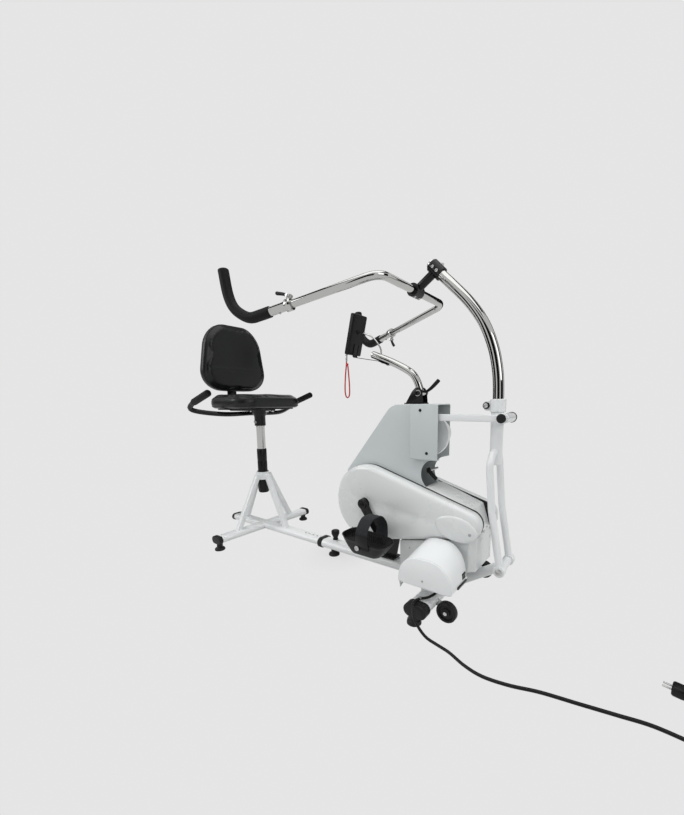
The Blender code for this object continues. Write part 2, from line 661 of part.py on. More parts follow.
def front_frame():
    """The cross stabiliser with wheel brackets, strut, pivot tube and motor plate, welded."""
    section = stadium((STAB_X, BEAM_Z), STAB_W, STAB_H)
    frame = plate("front_frame", section, "XZ", -STAB_HALF_Y, STAB_HALF_Y)
    pivot = Vector((PIVOT_X, 0, PIVOT_Z))
    strut = rod("strut", (STAB_X + STAB_W / 2 - 0.006, 0, BEAM_Z - 0.002), pivot, STRUT_R)
    lateral = rod("lateral", pivot - Y * PIVOT_HALF_Y, pivot + Y * PIVOT_HALF_Y, PIVOT_TUBE_R)
    frame = join(frame, strut, lateral)
    reach = WHEEL_W / 2 + 0.0015
    for side in (-1, 1):
        for edge in (-1, 1):
            inner, outer = sorted((side * WHEEL_Y + edge * reach, side * WHEEL_Y + edge * (reach + 0.0025)))
            start = (STAB_X + STAB_W / 2 - 0.010, BEAM_Z, 0.012)
            frame = join(frame, plate("cheek", two_circle_outline(start, (WHEEL_X, WHEEL_Z, 0.0100), 4), "XZ", inner, outer))
        axle = Vector((WHEEL_X, side * WHEEL_Y, WHEEL_Z))
        frame = join(frame, rod("axle", axle - Y * (reach + 0.004), axle + Y * (reach + 0.004), WHEEL_AXLE_R))
    low_z = PLATE_TOP_Z - PLATE_THICK
    shelf = box(
        "shelf",
        (HOOD_X0 + 0.004, HOOD_NEAR_Y + 0.001, low_z),
        (HOOD_X1 - 0.004, -SKIRT_HALF_Y - RUNNING_GAP, PLATE_TOP_Z),
    )
    frame = join(frame, shelf)
    for web_y in (-0.158, -0.113):
        web = box("web", (STAB_X - 0.022, web_y, BEAM_Z), (STAB_X + 0.018, web_y + 0.004, low_z + 0.001))
        frame = join(frame, web)
    bore = plate(
        "bore",
        stadium((STAB_X, BEAM_Z), STAB_W - 2 * TUBE_WALL, STAB_H - 2 * TUBE_WALL),
        "XZ",
        -STAB_HALF_Y - 0.01,
        STAB_HALF_Y + 0.01,
    )
    bolt_hole = rod("bolt_hole", pivot - Y * 0.06, pivot + Y * 0.06, PIVOT_BOLT_R + GAP, 16)
    return cut(frame, bore, bolt_hole)


def stabiliser_caps():
    """Rubber cups over the stabiliser's ends, each with its round foot."""
    plain = (STAB_W + 2 * GAP, STAB_H + 2 * GAP)
    shell = (plain[0] + 2 * CAP_WALL, plain[1] + 2 * CAP_WALL)
    made = []
    for name, side in (("stabiliser_cap_near", -1), ("stabiliser_cap_far", 1)):
        inner, outer = sorted((side * (STAB_HALF_Y - CAP_LENGTH), side * (STAB_HALF_Y + GAP + 2 * CAP_WALL)))
        cap = soften(plate(name, stadium((STAB_X, BEAM_Z), *shell), "XZ", inner, outer), 0.002, 1, 60)
        low = BEAM_Z - shell[1] / 2
        profile = [(0, low + 0.001), (0.018, low + 0.001), (0.018, 0.020), (STAB_FOOT_R, 0.012)]
        profile += [(STAB_FOOT_R, 0), (0, 0)]
        foot = turned("foot", profile, (STAB_X - 0.010, side * (STAB_HALF_Y - CAP_LENGTH / 2), 0))
        cap = join(cap, foot)
        inner, outer = sorted((side * (STAB_HALF_Y - CAP_LENGTH - 0.01), side * (STAB_HALF_Y + GAP)))
        made.append(cut(cap, plate("socket", stadium((STAB_X, BEAM_Z), *plain), "XZ", inner, outer)))
    return made


def wheel(name, side):
    """A transport wheel on the bracket's axle."""
    half = WHEEL_W / 2
    bore = WHEEL_AXLE_R + RUNNING_GAP
    profile = [(bore, half), (WHEEL_R - 0.003, half), (WHEEL_R, half - 0.003)]
    profile += [(radius, -height) for radius, height in reversed(profile)]
    return turned(name, profile, (WHEEL_X, side * WHEEL_Y, WHEEL_Z), Y, 20)


def rocker_pivot_bolt():
    """The bolt that the rocking fork hangs on, with its two black caps."""
    end = LEG_Y + EYE_HALF + RUNNING_GAP
    head = 0.004
    profile = [(0, end + head), (0.010, end + head), (0.010, end), (PIVOT_BOLT_R, end)]
    profile += [(radius, -height) for radius, height in reversed(profile)]
    return turned("rocker_pivot_bolt", profile, (PIVOT_X, 0, PIVOT_Z), Y, 16)


def chassis():
    """The upright drive plate on the beam, with the crank's bearing and the disc's bearing."""
    low = BEAM_Z + OUTER_H / 2 + GAP
    top = SHROUD_TOP_Z - WALL - GAP
    front, bearing = DISC_X + 0.030, 0.019
    corners = [(CRANK_X - 0.057, low), (CRANK_X + 0.073, low), (CRANK_X + 0.118, CRANK_Z - 0.002)]
    corners += [(DISC_X - 0.023, DISC_Z - 0.059), (front, DISC_Z - bearing), (front, DISC_Z + bearing)]
    corners += [(DISC_X - 0.018, top), (DISC_X - 0.108, top), (CRANK_X - 0.027, CRANK_Z + 0.043)]
    corners += [(CRANK_X - 0.042, CRANK_Z - 0.002)]
    edge = (PLATE_Y - PLATE_T / 2, PLATE_Y + PLATE_T / 2)
    frame = plate("chassis", corners, "XZ", *edge)
    flange = box("flange", (CRANK_X - 0.057, -0.026, low), (CRANK_X + 0.073, 0.026, low + 0.006))
    crank_shell = rod("shell", (CRANK_X, -0.035, CRANK_Z), (CRANK_X, BELT_Y - BELT_W / 2 - 0.002, CRANK_Z), 0.022)
    disc_shell = rod("shell", (DISC_X, -0.018, DISC_Z), (DISC_X, 0.030, DISC_Z), 0.017)
    frame = join(frame, flange, crank_shell, disc_shell)
    crank_bore = rod("bore", (CRANK_X, -0.1, CRANK_Z), (CRANK_X, 0.1, CRANK_Z), SHAFT_R + RUNNING_GAP)
    disc_bore = rod("bore", (DISC_X, -0.1, DISC_Z), (DISC_X, 0.1, DISC_Z), SHAFT_R - 0.002 + RUNNING_GAP)
    return cut(frame, crank_bore, disc_bore)


def side_cover():
    """The near teardrop cover: a shallow shell with a rounded rim and a raised screw cover."""
    tip = (COVER_TIP_X, COVER_TIP_Z, COVER_TIP_R)
    inner_y = -SHROUD_HALF_Y - GAP
    outline = two_circle_outline((CRANK_X, CRANK_Z, COVER_R), tip, 7)
    cover = plate("side_cover_near", outline, "XZ", -COVER_OUT_Y, inner_y)
    cover = soften(cover, COVER_BEVEL, 2, 60)
    hollow_tip = (COVER_TIP_X, COVER_TIP_Z, COVER_TIP_R - WALL)
    hollow_outline = two_circle_outline((CRANK_X, CRANK_Z, COVER_R - WALL), hollow_tip, 7)
    hollow = plate("hollow", hollow_outline, "XZ", -COVER_OUT_Y + WALL, 0.0)
    hollow = soften(hollow, COVER_BEVEL, 1, 60)
    raised = plate("raised", stadium((1.070, 0.272), 0.118, 0.058), "XZ", -COVER_OUT_Y - 0.002, -COVER_OUT_Y + 0.001)
    hub = rod("hub", (CRANK_X, -0.2, CRANK_Z), (CRANK_X, 0, CRANK_Z), COVER_HUB_R)
    cover = join(cover, raised)
    return cut(cover, hollow, hub)


def fin_shroud():
    """The tall upper shell over the disc, open below and in front, with a slot for the rod."""
    corners = [SHROUD_REAR, SHROUD_SLOPE_LOW, SHROUD_SLOPE_TOP, (SHROUD_CREST_X, SHROUD_TOP_Z)]
    corners += [(SHROUD_FRONT_X, SHROUD_TOP_Z), (SHROUD_FRONT_X, SHROUD_FRONT_LOW_Z)]
    corners += [(SHROUD_FRONT_X - 0.025, SHROUD_FRONT_LOW_Z - 0.004), (SHROUD_FRONT_X - 0.052, SHROUD_FRONT_LOW_Z - 0.073)]
    corners += [(SHROUD_NECK_X, NOSE_TOP_Z + 0.0015), (SHROUD_NECK_X, SHROUD_LOW_Z), (SHROUD_REAR[0] + 0.040, SHROUD_LOW_Z)]
    shroud = plate("fin_shroud", corners, "XZ", -SHROUD_HALF_Y, SHROUD_HALF_Y)
    shroud = soften(shroud, 0.006, 2, 20)
    inner = [(SHROUD_REAR[0] + WALL, SHROUD_REAR[1]), (SHROUD_SLOPE_LOW[0] + WALL, SHROUD_SLOPE_LOW[1] - WALL / 2)]
    inner += [(SHROUD_SLOPE_TOP[0] + 0.0025, SHROUD_SLOPE_TOP[1] - 0.0022), (SHROUD_CREST_X + 0.0013, SHROUD_TOP_Z - WALL)]
    inner += [(SHROUD_FRONT_X + 0.05, SHROUD_TOP_Z - WALL), (SHROUD_FRONT_X + 0.05, SHROUD_LOW_Z - 0.030)]
    inner += [(SHROUD_REAR[0], SHROUD_LOW_Z - 0.030)]
    hollow = plate("hollow", inner, "XZ", -SHROUD_HALF_Y + WALL, SHROUD_HALF_Y - WALL)
    slot = box("slot", (0.918, -SHROUD_HALF_Y - 0.01, 0.595), (1.05, -SHROUD_HALF_Y + WALL + 0.001, 0.641))
    shaft_hole = rod("hole", (CRANK_X, -0.1, CRANK_Z), (CRANK_X, 0.1, CRANK_Z), COVER_HUB_R)
    return cut(shroud, hollow, slot, shaft_hole)


def base_casing():
    """The lower front shell: a wide skirt with clipped corners and a narrow sloping nose."""
    nose_low = SKIRT_TOP_Z - 0.015
    nose_corners = [(NOSE_REAR_X, nose_low), (NOSE_FRONT_X, nose_low), (NOSE_FRONT_X, nose_low + 0.091)]
    nose_corners += [(NOSE_FRONT_X - 0.021, nose_low + 0.157), (NOSE_REAR_X + 0.058, NOSE_TOP_Z)]
    nose_corners += [(NOSE_REAR_X + 0.040, NOSE_TOP_Z), (NOSE_REAR_X, NOSE_REAR_Z)]
    nose = plate("base_casing", nose_corners, "XZ", -NOSE_HALF_Y, NOSE_HALF_Y)
    lip_z = SKIRT_TOP_Z - 0.031
    skirt_corners = [(SKIRT_REAR_X, SKIRT_LOW_Z), (NOSE_FRONT_X - 0.105, SKIRT_LOW_Z)]
    skirt_corners += [(NOSE_FRONT_X - 0.015, lip_z), (NOSE_FRONT_X, lip_z)]
    skirt_corners += [(NOSE_FRONT_X, SKIRT_TOP_Z), (SKIRT_REAR_X, SKIRT_TOP_Z)]
    skirt = plate("skirt", skirt_corners, "XZ", -SKIRT_HALF_Y, SKIRT_HALF_Y)
    clip = 0.060
    for side in (-1, 1):
        corner = box("corner", (0, 0, 0), (clip, clip, 1))
        corner.rotation_euler = (0, 0, math.radians(45 + 12 * side))
        corner.location = (NOSE_FRONT_X + 0.014, side * (SKIRT_HALF_Y + 0.014), 0.1)
        bpy.context.view_layer.update()
        skirt = cut(skirt, corner)
    casing = join(nose, skirt)
    back_x, low = NOSE_REAR_X - 0.105, nose_low - 0.050
    inner_nose = [(back_x, low), (NOSE_FRONT_X - WALL, low), (NOSE_FRONT_X - WALL, nose_low + 0.0905)]
    inner_nose += [(NOSE_FRONT_X - 0.0235, nose_low + 0.1545), (NOSE_REAR_X + 0.0575, NOSE_TOP_Z - 0.0035)]
    inner_nose += [(back_x, NOSE_TOP_Z - 0.0035)]
    hollow = plate("hollow", inner_nose, "XZ", -NOSE_HALF_Y + WALL, NOSE_HALF_Y - WALL)
    wide_front = NOSE_FRONT_X - 0.040
    inner_skirt = [(back_x, 0.05), (wide_front, 0.05), (wide_front, SKIRT_TOP_Z - WALL), (back_x, SKIRT_TOP_Z - WALL)]
    wide = plate("wide", inner_skirt, "XZ", -SKIRT_HALF_Y + WALL, SKIRT_HALF_Y - WALL)
    shaft_hole = rod("hole", (MOTOR_X, -0.12, MOTOR_Z), (MOTOR_X, 0.0, MOTOR_Z), 0.012)
    return cut(casing, hollow, wide, shaft_hole)


def guard_box():
    """The screwed-on channel over the rod's slot, open in front."""
    wall = 0.002
    low = (BOX_X0, -BOX_OUT_Y, BOX_Z0)
    guard = box("guard_box", low, (BOX_X1, -SHROUD_HALF_Y - GAP, BOX_Z1))
    for x, z in ((0.937, 0.640), (0.962, 0.500)):
        guard = join(guard, rod("screw", (x, -BOX_OUT_Y - 0.002, z), (x, -BOX_OUT_Y + 0.001, z), 0.005, 12))
    inside = box("inside", (BOX_X0 + wall, -BOX_OUT_Y + wall, BOX_Z0 + wall), (BOX_X1 + 0.1, 0, BOX_Z1 - wall))
    return cut(guard, inside)


def motor():
    """The motor under the hood on its foot block, with its shaft and pulley."""
    case = rod("motor", (MOTOR_X, -0.210, MOTOR_Z), (MOTOR_X, -0.116, MOTOR_Z), MOTOR_R)
    foot = box("foot", (MOTOR_X - 0.025, -0.200, PLATE_TOP_Z + GAP), (MOTOR_X + 0.025, -0.126, MOTOR_Z))
    shaft = rod("shaft", (MOTOR_X, -0.120, MOTOR_Z), (MOTOR_X, BELT_Y + BELT_W / 2, MOTOR_Z), 0.006, 16)
    half = BELT_W / 2
    pulley = rod("pulley", (MOTOR_X, BELT_Y - half, MOTOR_Z), (MOTOR_X, BELT_Y + half, MOTOR_Z), MOTOR_PULLEY_R)
    return join(case, foot, shaft, pulley)


def drive_belt():
    """The belt from the motor's pulley to the crank's."""
    gap = GAP + 0.0002
    big = (CRANK_X, CRANK_Z, CRANK_PULLEY_R + gap)
    small = (MOTOR_X, MOTOR_Z, MOTOR_PULLEY_R + gap)
    half = BELT_W / 2
    outer = two_circle_outline((*big[:2], big[2] + BELT_T), (*small[:2], small[2] + BELT_T), 9)
    belt = plate("drive_belt", outer, "XZ", BELT_Y - half, BELT_Y + half)
    return cut(belt, plate("inside", two_circle_outline(big, small, 9), "XZ", BELT_Y - 0.02, BELT_Y + 0.02))


def crank_shaft():
    """The shaft through the drive with the large belt pulley and the small timing pulley."""
    end = ARM_IN_Y + ARM_T
    half = BELT_W / 2
    profile = [(0, end), (SHAFT_R, end), (SHAFT_R, TIMING_Y + half), (TIMING_R, TIMING_Y + half)]
    profile += [(TIMING_R, TIMING_Y - half), (0.020, TIMING_Y - half), (0.020, BELT_Y + half)]
    profile += [(CRANK_PULLEY_R, BELT_Y + half), (CRANK_PULLEY_R, BELT_Y - half), (SHAFT_R, BELT_Y - half)]
    profile += [(SHAFT_R, -end), (0, -end)]
    return turned("crank_shaft", profile, (CRANK_X, 0, CRANK_Z), Y, 20)


def crank_tip(side):
    """Where a crank arm's pedal axle stands; the two arms are opposite."""
    reach = CRANK_LENGTH * (1 if side < 0 else -1)
    return Vector((CRANK_X + reach * math.cos(CRANK_ANGLE), 0, CRANK_Z + reach * math.sin(CRANK_ANGLE)))


PEDAL_IN_Y, PEDAL_OUT_Y = 0.138, 0.242
PEDAL_AXLE_R = 0.006


def crank_arm(name, side):
    """A crank arm clamped on the shaft, with the pedal's axle."""
    tip = crank_tip(side)
    span = sorted((side * ARM_IN_Y, side * (ARM_IN_Y + ARM_T)))
    arm = plate(name, two_circle_outline((CRANK_X, CRANK_Z, 0.019), (tip.x, tip.z, 0.012), 5), "XZ", *span)
    face = side * (ARM_IN_Y + ARM_T)
    boss = rod("boss", (CRANK_X, face - side * 0.005, CRANK_Z), (CRANK_X, face + side * 0.004, CRANK_Z), 0.0185)
    axle = rod("axle", (tip.x, side * ARM_IN_Y, tip.z), (tip.x, side * (PEDAL_OUT_Y + 0.003), tip.z), PEDAL_AXLE_R, 16)
    bore = rod("bore", (CRANK_X, 0, CRANK_Z), (CRANK_X, face + side * GAP, CRANK_Z), SHAFT_R + GAP, 24)
    return cut(join(arm, boss, axle), bore)


def pedal(name, side):
    """A foot cradle: a thick sole round the axle, a low rim, and a raised heel."""
    tip = crank_tip(side)
    inner, outer = sorted((side * PEDAL_IN_Y, side * PEDAL_OUT_Y))
    rear, front = tip.x - 0.088, tip.x + 0.092
    low, floor, rim, heel = tip.z - 0.036, tip.z + 0.010, tip.z + 0.020, tip.z + 0.030
    outline = rounded([(rear, inner), (front, inner), (front, outer), (rear, outer)], 0.040, 3)
    body = plate(name, outline, "XY", low, heel)
    body = soften(body, 0.006, 1, 60)
    side_view = [(rear - 0.01, heel - 0.002), (rear + 0.040, heel - 0.002), (rear + 0.075, rim), (front + 0.01, rim - 0.008)]
    side_view += [(front + 0.01, heel + 0.01), (rear - 0.01, heel + 0.01)]
    body = cut(body, plate("top", side_view, "XZ", inner - 0.01, outer + 0.01))
    wall = 0.005
    hollow = rounded(
        [(rear + wall, inner + wall), (front - wall, inner + wall), (front - wall, outer - wall), (rear + wall, outer - wall)],
        0.035,
        3,
    )
    body = cut(body, plate("hollow", hollow, "XY", floor, heel + 0.02))
    return cut(body, rod("bore", (tip.x, inner - 0.01, tip.z), (tip.x, outer + 0.01, tip.z), PEDAL_AXLE_R + RUNNING_GAP, 16))


def pedal_strap(name, side):
    """The webbing strap that arches over the instep, bolted to both sides of the cradle."""
    tip = crank_tip(side)
    inner, outer = sorted((side * PEDAL_IN_Y, side * PEDAL_OUT_Y))
    thick, low, top = 0.0025, tip.z + 0.008, tip.z + 0.098
    left, right = inner - GAP - thick, outer + GAP + thick
    outside = [(left, low), (left, top - 0.018), (left + 0.022, top), (right - 0.022, top), (right, top - 0.018), (right, low)]
    inside = [(left + thick, low), (left + thick, top - 0.019), (left + 0.023, top - thick)]
    inside += [(right - 0.023, top - thick), (right - thick, top - 0.019), (right - thick, low)]
    return plate(name, outside + list(reversed(inside)), "YZ", tip.x + 0.004, tip.x + 0.040)


def rocker_disc():
    """The disc that drives the rod, with its shaft, crank pin and timing pulley."""
    half = DISC_T / 2
    shaft_r = SHAFT_R - 0.002
    profile = [(0, TIMING_Y + BELT_W / 2), (TIMING_R, TIMING_Y + BELT_W / 2), (TIMING_R, TIMING_Y - BELT_W / 2)]
    profile += [(shaft_r, TIMING_Y - BELT_W / 2), (shaft_r, DISC_Y + half), (DISC_R, DISC_Y + half)]
    profile += [(DISC_R, DISC_Y - half), (0, DISC_Y - half)]
    disc = turned("rocker_disc", profile, (DISC_X, 0, DISC_Z), Y, 20)
    pin_y = -ROD_TONGUE_Y + RUNNING_GAP
    pin = rod("pin", (DISC_X, DISC_Y, ROD_Z), (DISC_X, pin_y, ROD_Z), 0.008, 16)
    return join(disc, pin)


def arch(x, height, half_width, steps=6):
    """The bend at the top of the fork, from near leg to far leg."""
    points = []
    for step in range(steps + 1):
        angle = math.pi * step / steps
        points.append(Vector((x, -half_width * math.cos(angle), height + half_width * math.sin(angle))))
    return points


def rocker_fork():
    """The rocking arm's lower half: a bent tube, the post, its split clamp and the pin sleeve."""
    bend = ARCH_TOP_Z - LEG_Y
    near = [Vector((PIVOT_X, -LEG_Y, PIVOT_Z)), Vector((LEG_BEND_X, -LEG_Y, LEG_BEND_Z))]
    far = [Vector((point.x, LEG_Y, point.z)) for point in reversed(near)]
    fork = tube("rocker_fork", near + arch(ARM_POST_X - 0.001, bend, LEG_Y) + far, LEG_R, 2)
    for side in (-1, 1):
        y0, y1 = sorted((side * (LEG_Y - EYE_HALF), side * (LEG_Y + EYE_HALF)))
        fork = join(fork, rod("eye", (PIVOT_X, y0, PIVOT_Z), (PIVOT_X, y1, PIVOT_Z), EYE_R))
    post = rod("post", (ARM_POST_X, 0, ARM_POST_LOW_Z), (ARM_POST_X, 0, ARM_POST_TOP_Z + 0.001), ARM_POST_R, 24)
    clamp = rod("clamp", (ARM_POST_X, 0, ARM_POST_TOP_Z), (ARM_POST_X, 0, CLAMP_TOP_Z), CLAMP_R, 24)
    ear_low, ear_top = ARM_POST_TOP_Z + 0.004, CLAMP_TOP_Z - 0.004
    ear = box("ear", (ARM_POST_X - 0.040, -0.012, ear_low), (ARM_POST_X - 0.015, 0.012, ear_top))
    bolt_z = (ear_low + ear_top) / 2
    bolt = rod("bolt", (ARM_POST_X - 0.031, -0.020, bolt_z), (ARM_POST_X - 0.031, 0.016, bolt_z), 0.006, 12)
    sleeve = rod("sleeve", (ROD_PIN_X, -ROD_IN_Y + RUNNING_GAP, ROD_Z), (ROD_PIN_X, SLEEVE_FAR_Y, ROD_Z), ROD_SLEEVE_R)
    ring_end = rod("ring_end", (ROD_PIN_X, SLEEVE_FAR_Y - 0.001, ROD_Z), (ROD_PIN_X, SLEEVE_FAR_Y + 0.006, ROD_Z), 0.0165)
    head = ROD_OUT_Y + RUNNING_GAP
    pin = rod("pin", (ROD_PIN_X, -head - 0.001, ROD_Z), (ROD_PIN_X, 0, ROD_Z), ROD_PIN_R, 16)
    cap = rod("cap", (ROD_PIN_X, -head - 0.006, ROD_Z), (ROD_PIN_X, -head, ROD_Z), 0.0115)
    fork = join(fork, post, clamp, ear, bolt, sleeve, ring_end, pin, cap)
    bore_low = GOOSENECK_LOW_Z - 0.010
    bore = rod("bore", (ARM_POST_X, 0, bore_low), (ARM_POST_X, 0, CLAMP_TOP_Z + 0.01), GOOSENECK_R + RUNNING_GAP, 24)
    slit = box("slit", (ARM_POST_X - 0.05, -0.001, ARM_POST_TOP_Z), (ARM_POST_X, 0.001, CLAMP_TOP_Z + 0.01))
    pivot_bore = rod("bore", (PIVOT_X, -0.1, PIVOT_Z), (PIVOT_X, 0.1, PIVOT_Z), PIVOT_BOLT_R + RUNNING_GAP, 16)
    return cut(fork, bore, slit, pivot_bore)


def push_rod():
    """The bar between disc and arm: square in front, a flat tongue behind the shroud's wall."""
    half = ROD_SIDE / 2
    bar = box("push_rod", (ROD_REAR_X, -ROD_OUT_Y, ROD_Z - half), (ROD_PIN_X, -ROD_IN_Y, ROD_Z + half))
    nose = rod("nose", (ROD_PIN_X, -ROD_OUT_Y, ROD_Z), (ROD_PIN_X, -ROD_IN_Y, ROD_Z), half)
    tongue_y = -ROD_TONGUE_Y - ROD_TONGUE_T
    tongue = plate(
        "tongue",
        stadium(((DISC_X + ROD_TONGUE_END_X) / 2, ROD_Z), ROD_TONGUE_END_X - DISC_X + ROD_SIDE, ROD_SIDE - 0.001),
        "XZ",
        tongue_y,
        -ROD_TONGUE_Y,
    )
    bore = rod("bore", (ROD_PIN_X, -0.1, ROD_Z), (ROD_PIN_X, 0, ROD_Z), ROD_PIN_R + RUNNING_GAP, 16)
    return cut(join(bar, nose, tongue), bore)


GOOSENECK_TOP = Vector((0.941, 0, 1.097))
GOOSENECK_LINE = [
    Vector((ARM_POST_X, 0, GOOSENECK_LOW_Z)),
    Vector((ARM_POST_X, 0, 0.620)),
    Vector((ARM_POST_X, 0, 0.690)),
    Vector((ARM_POST_X - 0.005, 0, 0.757)),
    Vector((ARM_POST_X - 0.021, 0, 0.828)),
    Vector((ARM_POST_X - 0.052, 0, 0.902)),
    Vector((ARM_POST_X - 0.098, 0, 0.968)),
    Vector((1.010, 0, 1.026)),
    Vector((0.978, 0, 1.058)),
    GOOSENECK_TOP,
]


def gooseneck():
    """The chrome tube that slides in the post and curves back over the rider's legs."""
    return tube("gooseneck", smooth(GOOSENECK_LINE, 0.036), GOOSENECK_R, 4)


def bar_stem():
    """The black stem: a sleeve on the gooseneck's end and a clamp round the handlebar."""
    along = (GOOSENECK_TOP - GOOSENECK_LINE[-2]).normalized()
    low, high = GOOSENECK_TOP - along * 0.040, GOOSENECK_TOP + along * 0.010
    bar = Vector((BAR_X, 0, BAR_Z))
    stem = rod("bar_stem", low, high, 0.0215, 16)
    arm = rod("arm", (low + high) / 2, bar, 0.0140)
    clamp = rod("clamp", bar - Y * 0.024, bar + Y * 0.024, 0.0215, 16)
    bolt_head = rod("bolt_head", high - along * 0.002, high + along * 0.008, 0.011, 16)
    stem = join(stem, arm, clamp, bolt_head)
    bore = rod("bore", low - along * 0.01, GOOSENECK_TOP + along * GAP, GOOSENECK_R + GAP, 24)
    bar_bore = rod("bar_bore", bar - Y * 0.03, bar + Y * 0.03, BAR_R + RUNNING_GAP, 24)
    return cut(stem, bore, bar_bore)


def arm_point(along, side=-1):
    """A point of a handlebar arm's axis, measured from the bend's corner."""
    point = Vector((BAR_X, -BAR_HALF_Y, BAR_Z)) + ARM_DIR * along
    return Vector((point.x, point.y * -side, point.z))


def handlebar():
    """The chrome bar: a middle across and an arm back on each side."""
    line = [arm_point(ARM_END_AT, -1), arm_point(0, -1), arm_point(0, 1), arm_point(ARM_END_AT, 1)]
    return tube("handlebar", bent(line, 0.055, 4), BAR_R, 4)


GRIP_BEND = [
    Vector((0.437, -0.341, 0.951)),
    Vector((0.400, -0.352, 0.967)),
    Vector((0.371, -0.360, 0.994)),
    Vector((0.353, -0.365, 1.038)),
    Vector((0.342, -0.369, 1.112)),
]
GRIP_STEP = 0.022
FOAM_AT = 0.376


def grip_line():
    """The grip tube's axis, from its mouth to its tip, read at even steps."""
    straight = [arm_point(MOUTH_AT + 0.030 * step) for step in range(5)]
    return smooth(straight + GRIP_BEND, GRIP_STEP)


def grip_tube():
    """The near telescoping tube with the clamp ring at its mouth."""
    grip = tube("grip_tube_near", grip_line(), GRIP_TUBE_R, 2)
    ring_start = arm_point(MOUTH_AT - 0.002)
    collar = rod("collar", ring_start, arm_point(MOUTH_AT + 0.020), 0.0195, 20)
    button = arm_point(MOUTH_AT + 0.045)
    snap = rod("snap", button, button - Z * (GRIP_TUBE_R + 0.003), 0.004, 12)
    bore = rod("bore", arm_point(MOUTH_AT - 0.01), arm_point(ARM_END_AT + RUNNING_GAP), BAR_R + RUNNING_GAP, 24)
    return cut(join(grip, collar, snap), bore)


def foam_grip():
    """The foam sleeve on the near grip, closed over the tip."""
    line = grip_line()
    start = round((FOAM_AT - MOUTH_AT) / GRIP_STEP)
    tip = line[-1] + (line[-1] - line[-2]).normalized() * 0.004
    foam = tube("foam_grip_near", line[start:] + [tip], FOAM_R, 2)
    core_tip = line[-1] + (line[-1] - line[-2]).normalized() * GAP
    return cut(foam, tube("core", line[start - 1 : -1] + [core_tip], GRIP_TUBE_R + GAP, 2))


LEVER_AT = MOUTH_AT + 0.009
LEVER_LIFT = 0.0195 + 0.0075 + GAP


def clamp_lever(name, side):
    """The cam lever beside a clamp ring: up on the near side, hanging on the far side."""
    up = Z * (1 if side < 0 else -1)
    centre = arm_point(LEVER_AT, side) + up * LEVER_LIFT
    hub = rod(name, centre - Y * 0.009, centre + Y * 0.009, 0.0070, 16)
    end = centre + (Vector((-0.058, 0, 0.018)) if side < 0 else Vector((0.016, 0, -0.030)))
    return join(hub, rod("handle", centre, end, 0.0055, 12))


MAST_PIVOT = Vector((0.896, 0, 0.697))
MAST_LINE = [
    MAST_PIVOT,
    Vector((0.893, 0, 0.713)),
    Vector((0.877, 0, 0.748)),
    Vector((0.852, 0, 0.773)),
    Vector((0.782, 0, 0.809)),
    Vector((0.695, 0, 0.844)),
]
CHEEK_Y = 0.0155


def mast_bracket():
    """The black bracket on the shroud: a foot, two cheeks and the pivot bolt."""
    low = SHROUD_TOP_Z + GAP
    bracket = box("mast_bracket", (0.840, -CHEEK_Y - 0.003, low), (0.920, CHEEK_Y + 0.003, low + 0.004))
    corners = [(0.846, low), (0.916, low), (0.912, 0.705), (0.903, 0.716), (0.886, 0.716), (0.876, 0.705)]
    for side in (-1, 1):
        span = sorted((side * CHEEK_Y, side * (CHEEK_Y + 0.003)))
        bracket = join(bracket, plate("cheek", corners, "XZ", *span))
    bolt = rod("bolt", MAST_PIVOT - Y * 0.022, MAST_PIVOT + Y * 0.030, 0.005, 16)
    head = rod("head", MAST_PIVOT - Y * 0.023, MAST_PIVOT - Y * (CHEEK_Y + 0.002), 0.009)
    return join(bracket, bolt, head)


def mast_lever():
    """The ratchet lever on the pivot bolt's far end."""
    bore = 0.005 + GAP
    profile = [(bore, 0.040), (0.010, 0.040), (0.010, CHEEK_Y + 0.003 + GAP), (bore, CHEEK_Y + 0.003 + GAP)]
    hub = turned("mast_lever", profile, MAST_PIVOT, Y, 16)
    start = MAST_PIVOT + Vector((0.007, 0.034, 0.006))
    return join(hub, rod("handle", start, MAST_PIVOT + Vector((0.050, 0.042, 0.045)), 0.0065, 12))


def band(points, thickness):
    """The outline of a strip of one thickness along a line in the XZ plane."""
    line = [Vector(point) for point in points]
    sides = []
    for index, here in enumerate(line):
        before = line[max(index - 1, 0)]
        after = line[min(index + 1, len(line) - 1)]
        one = (here - before).normalized() if index else (after - here).normalized()
        two = (after - here).normalized() if index < len(line) - 1 else one
        normal = Vector((-(one + two).y, (one + two).x)).normalized()
        stretch = 1 / max(normal.dot(Vector((-one.y, one.x))), 0.5)
        sides.append((here + normal * thickness / 2 * stretch, here - normal * thickness / 2 * stretch))
    return [tuple(left) for left, _ in sides] + [tuple(right) for _, right in reversed(sides)]


CONSOLE_UP = Vector((math.sin(CONSOLE_TILT), 0, math.cos(CONSOLE_TILT)))
CONSOLE_BACK = Vector((math.cos(CONSOLE_TILT), 0, -math.sin(CONSOLE_TILT)))
CONSOLE_CENTRE = Vector((CONSOLE_X, 0, CONSOLE_Z))
CONSOLE_BACK_LOW = CONSOLE_CENTRE + CONSOLE_BACK * CONSOLE_T / 2 - CONSOLE_UP * CONSOLE_H / 2
STRIP_T = 0.0025


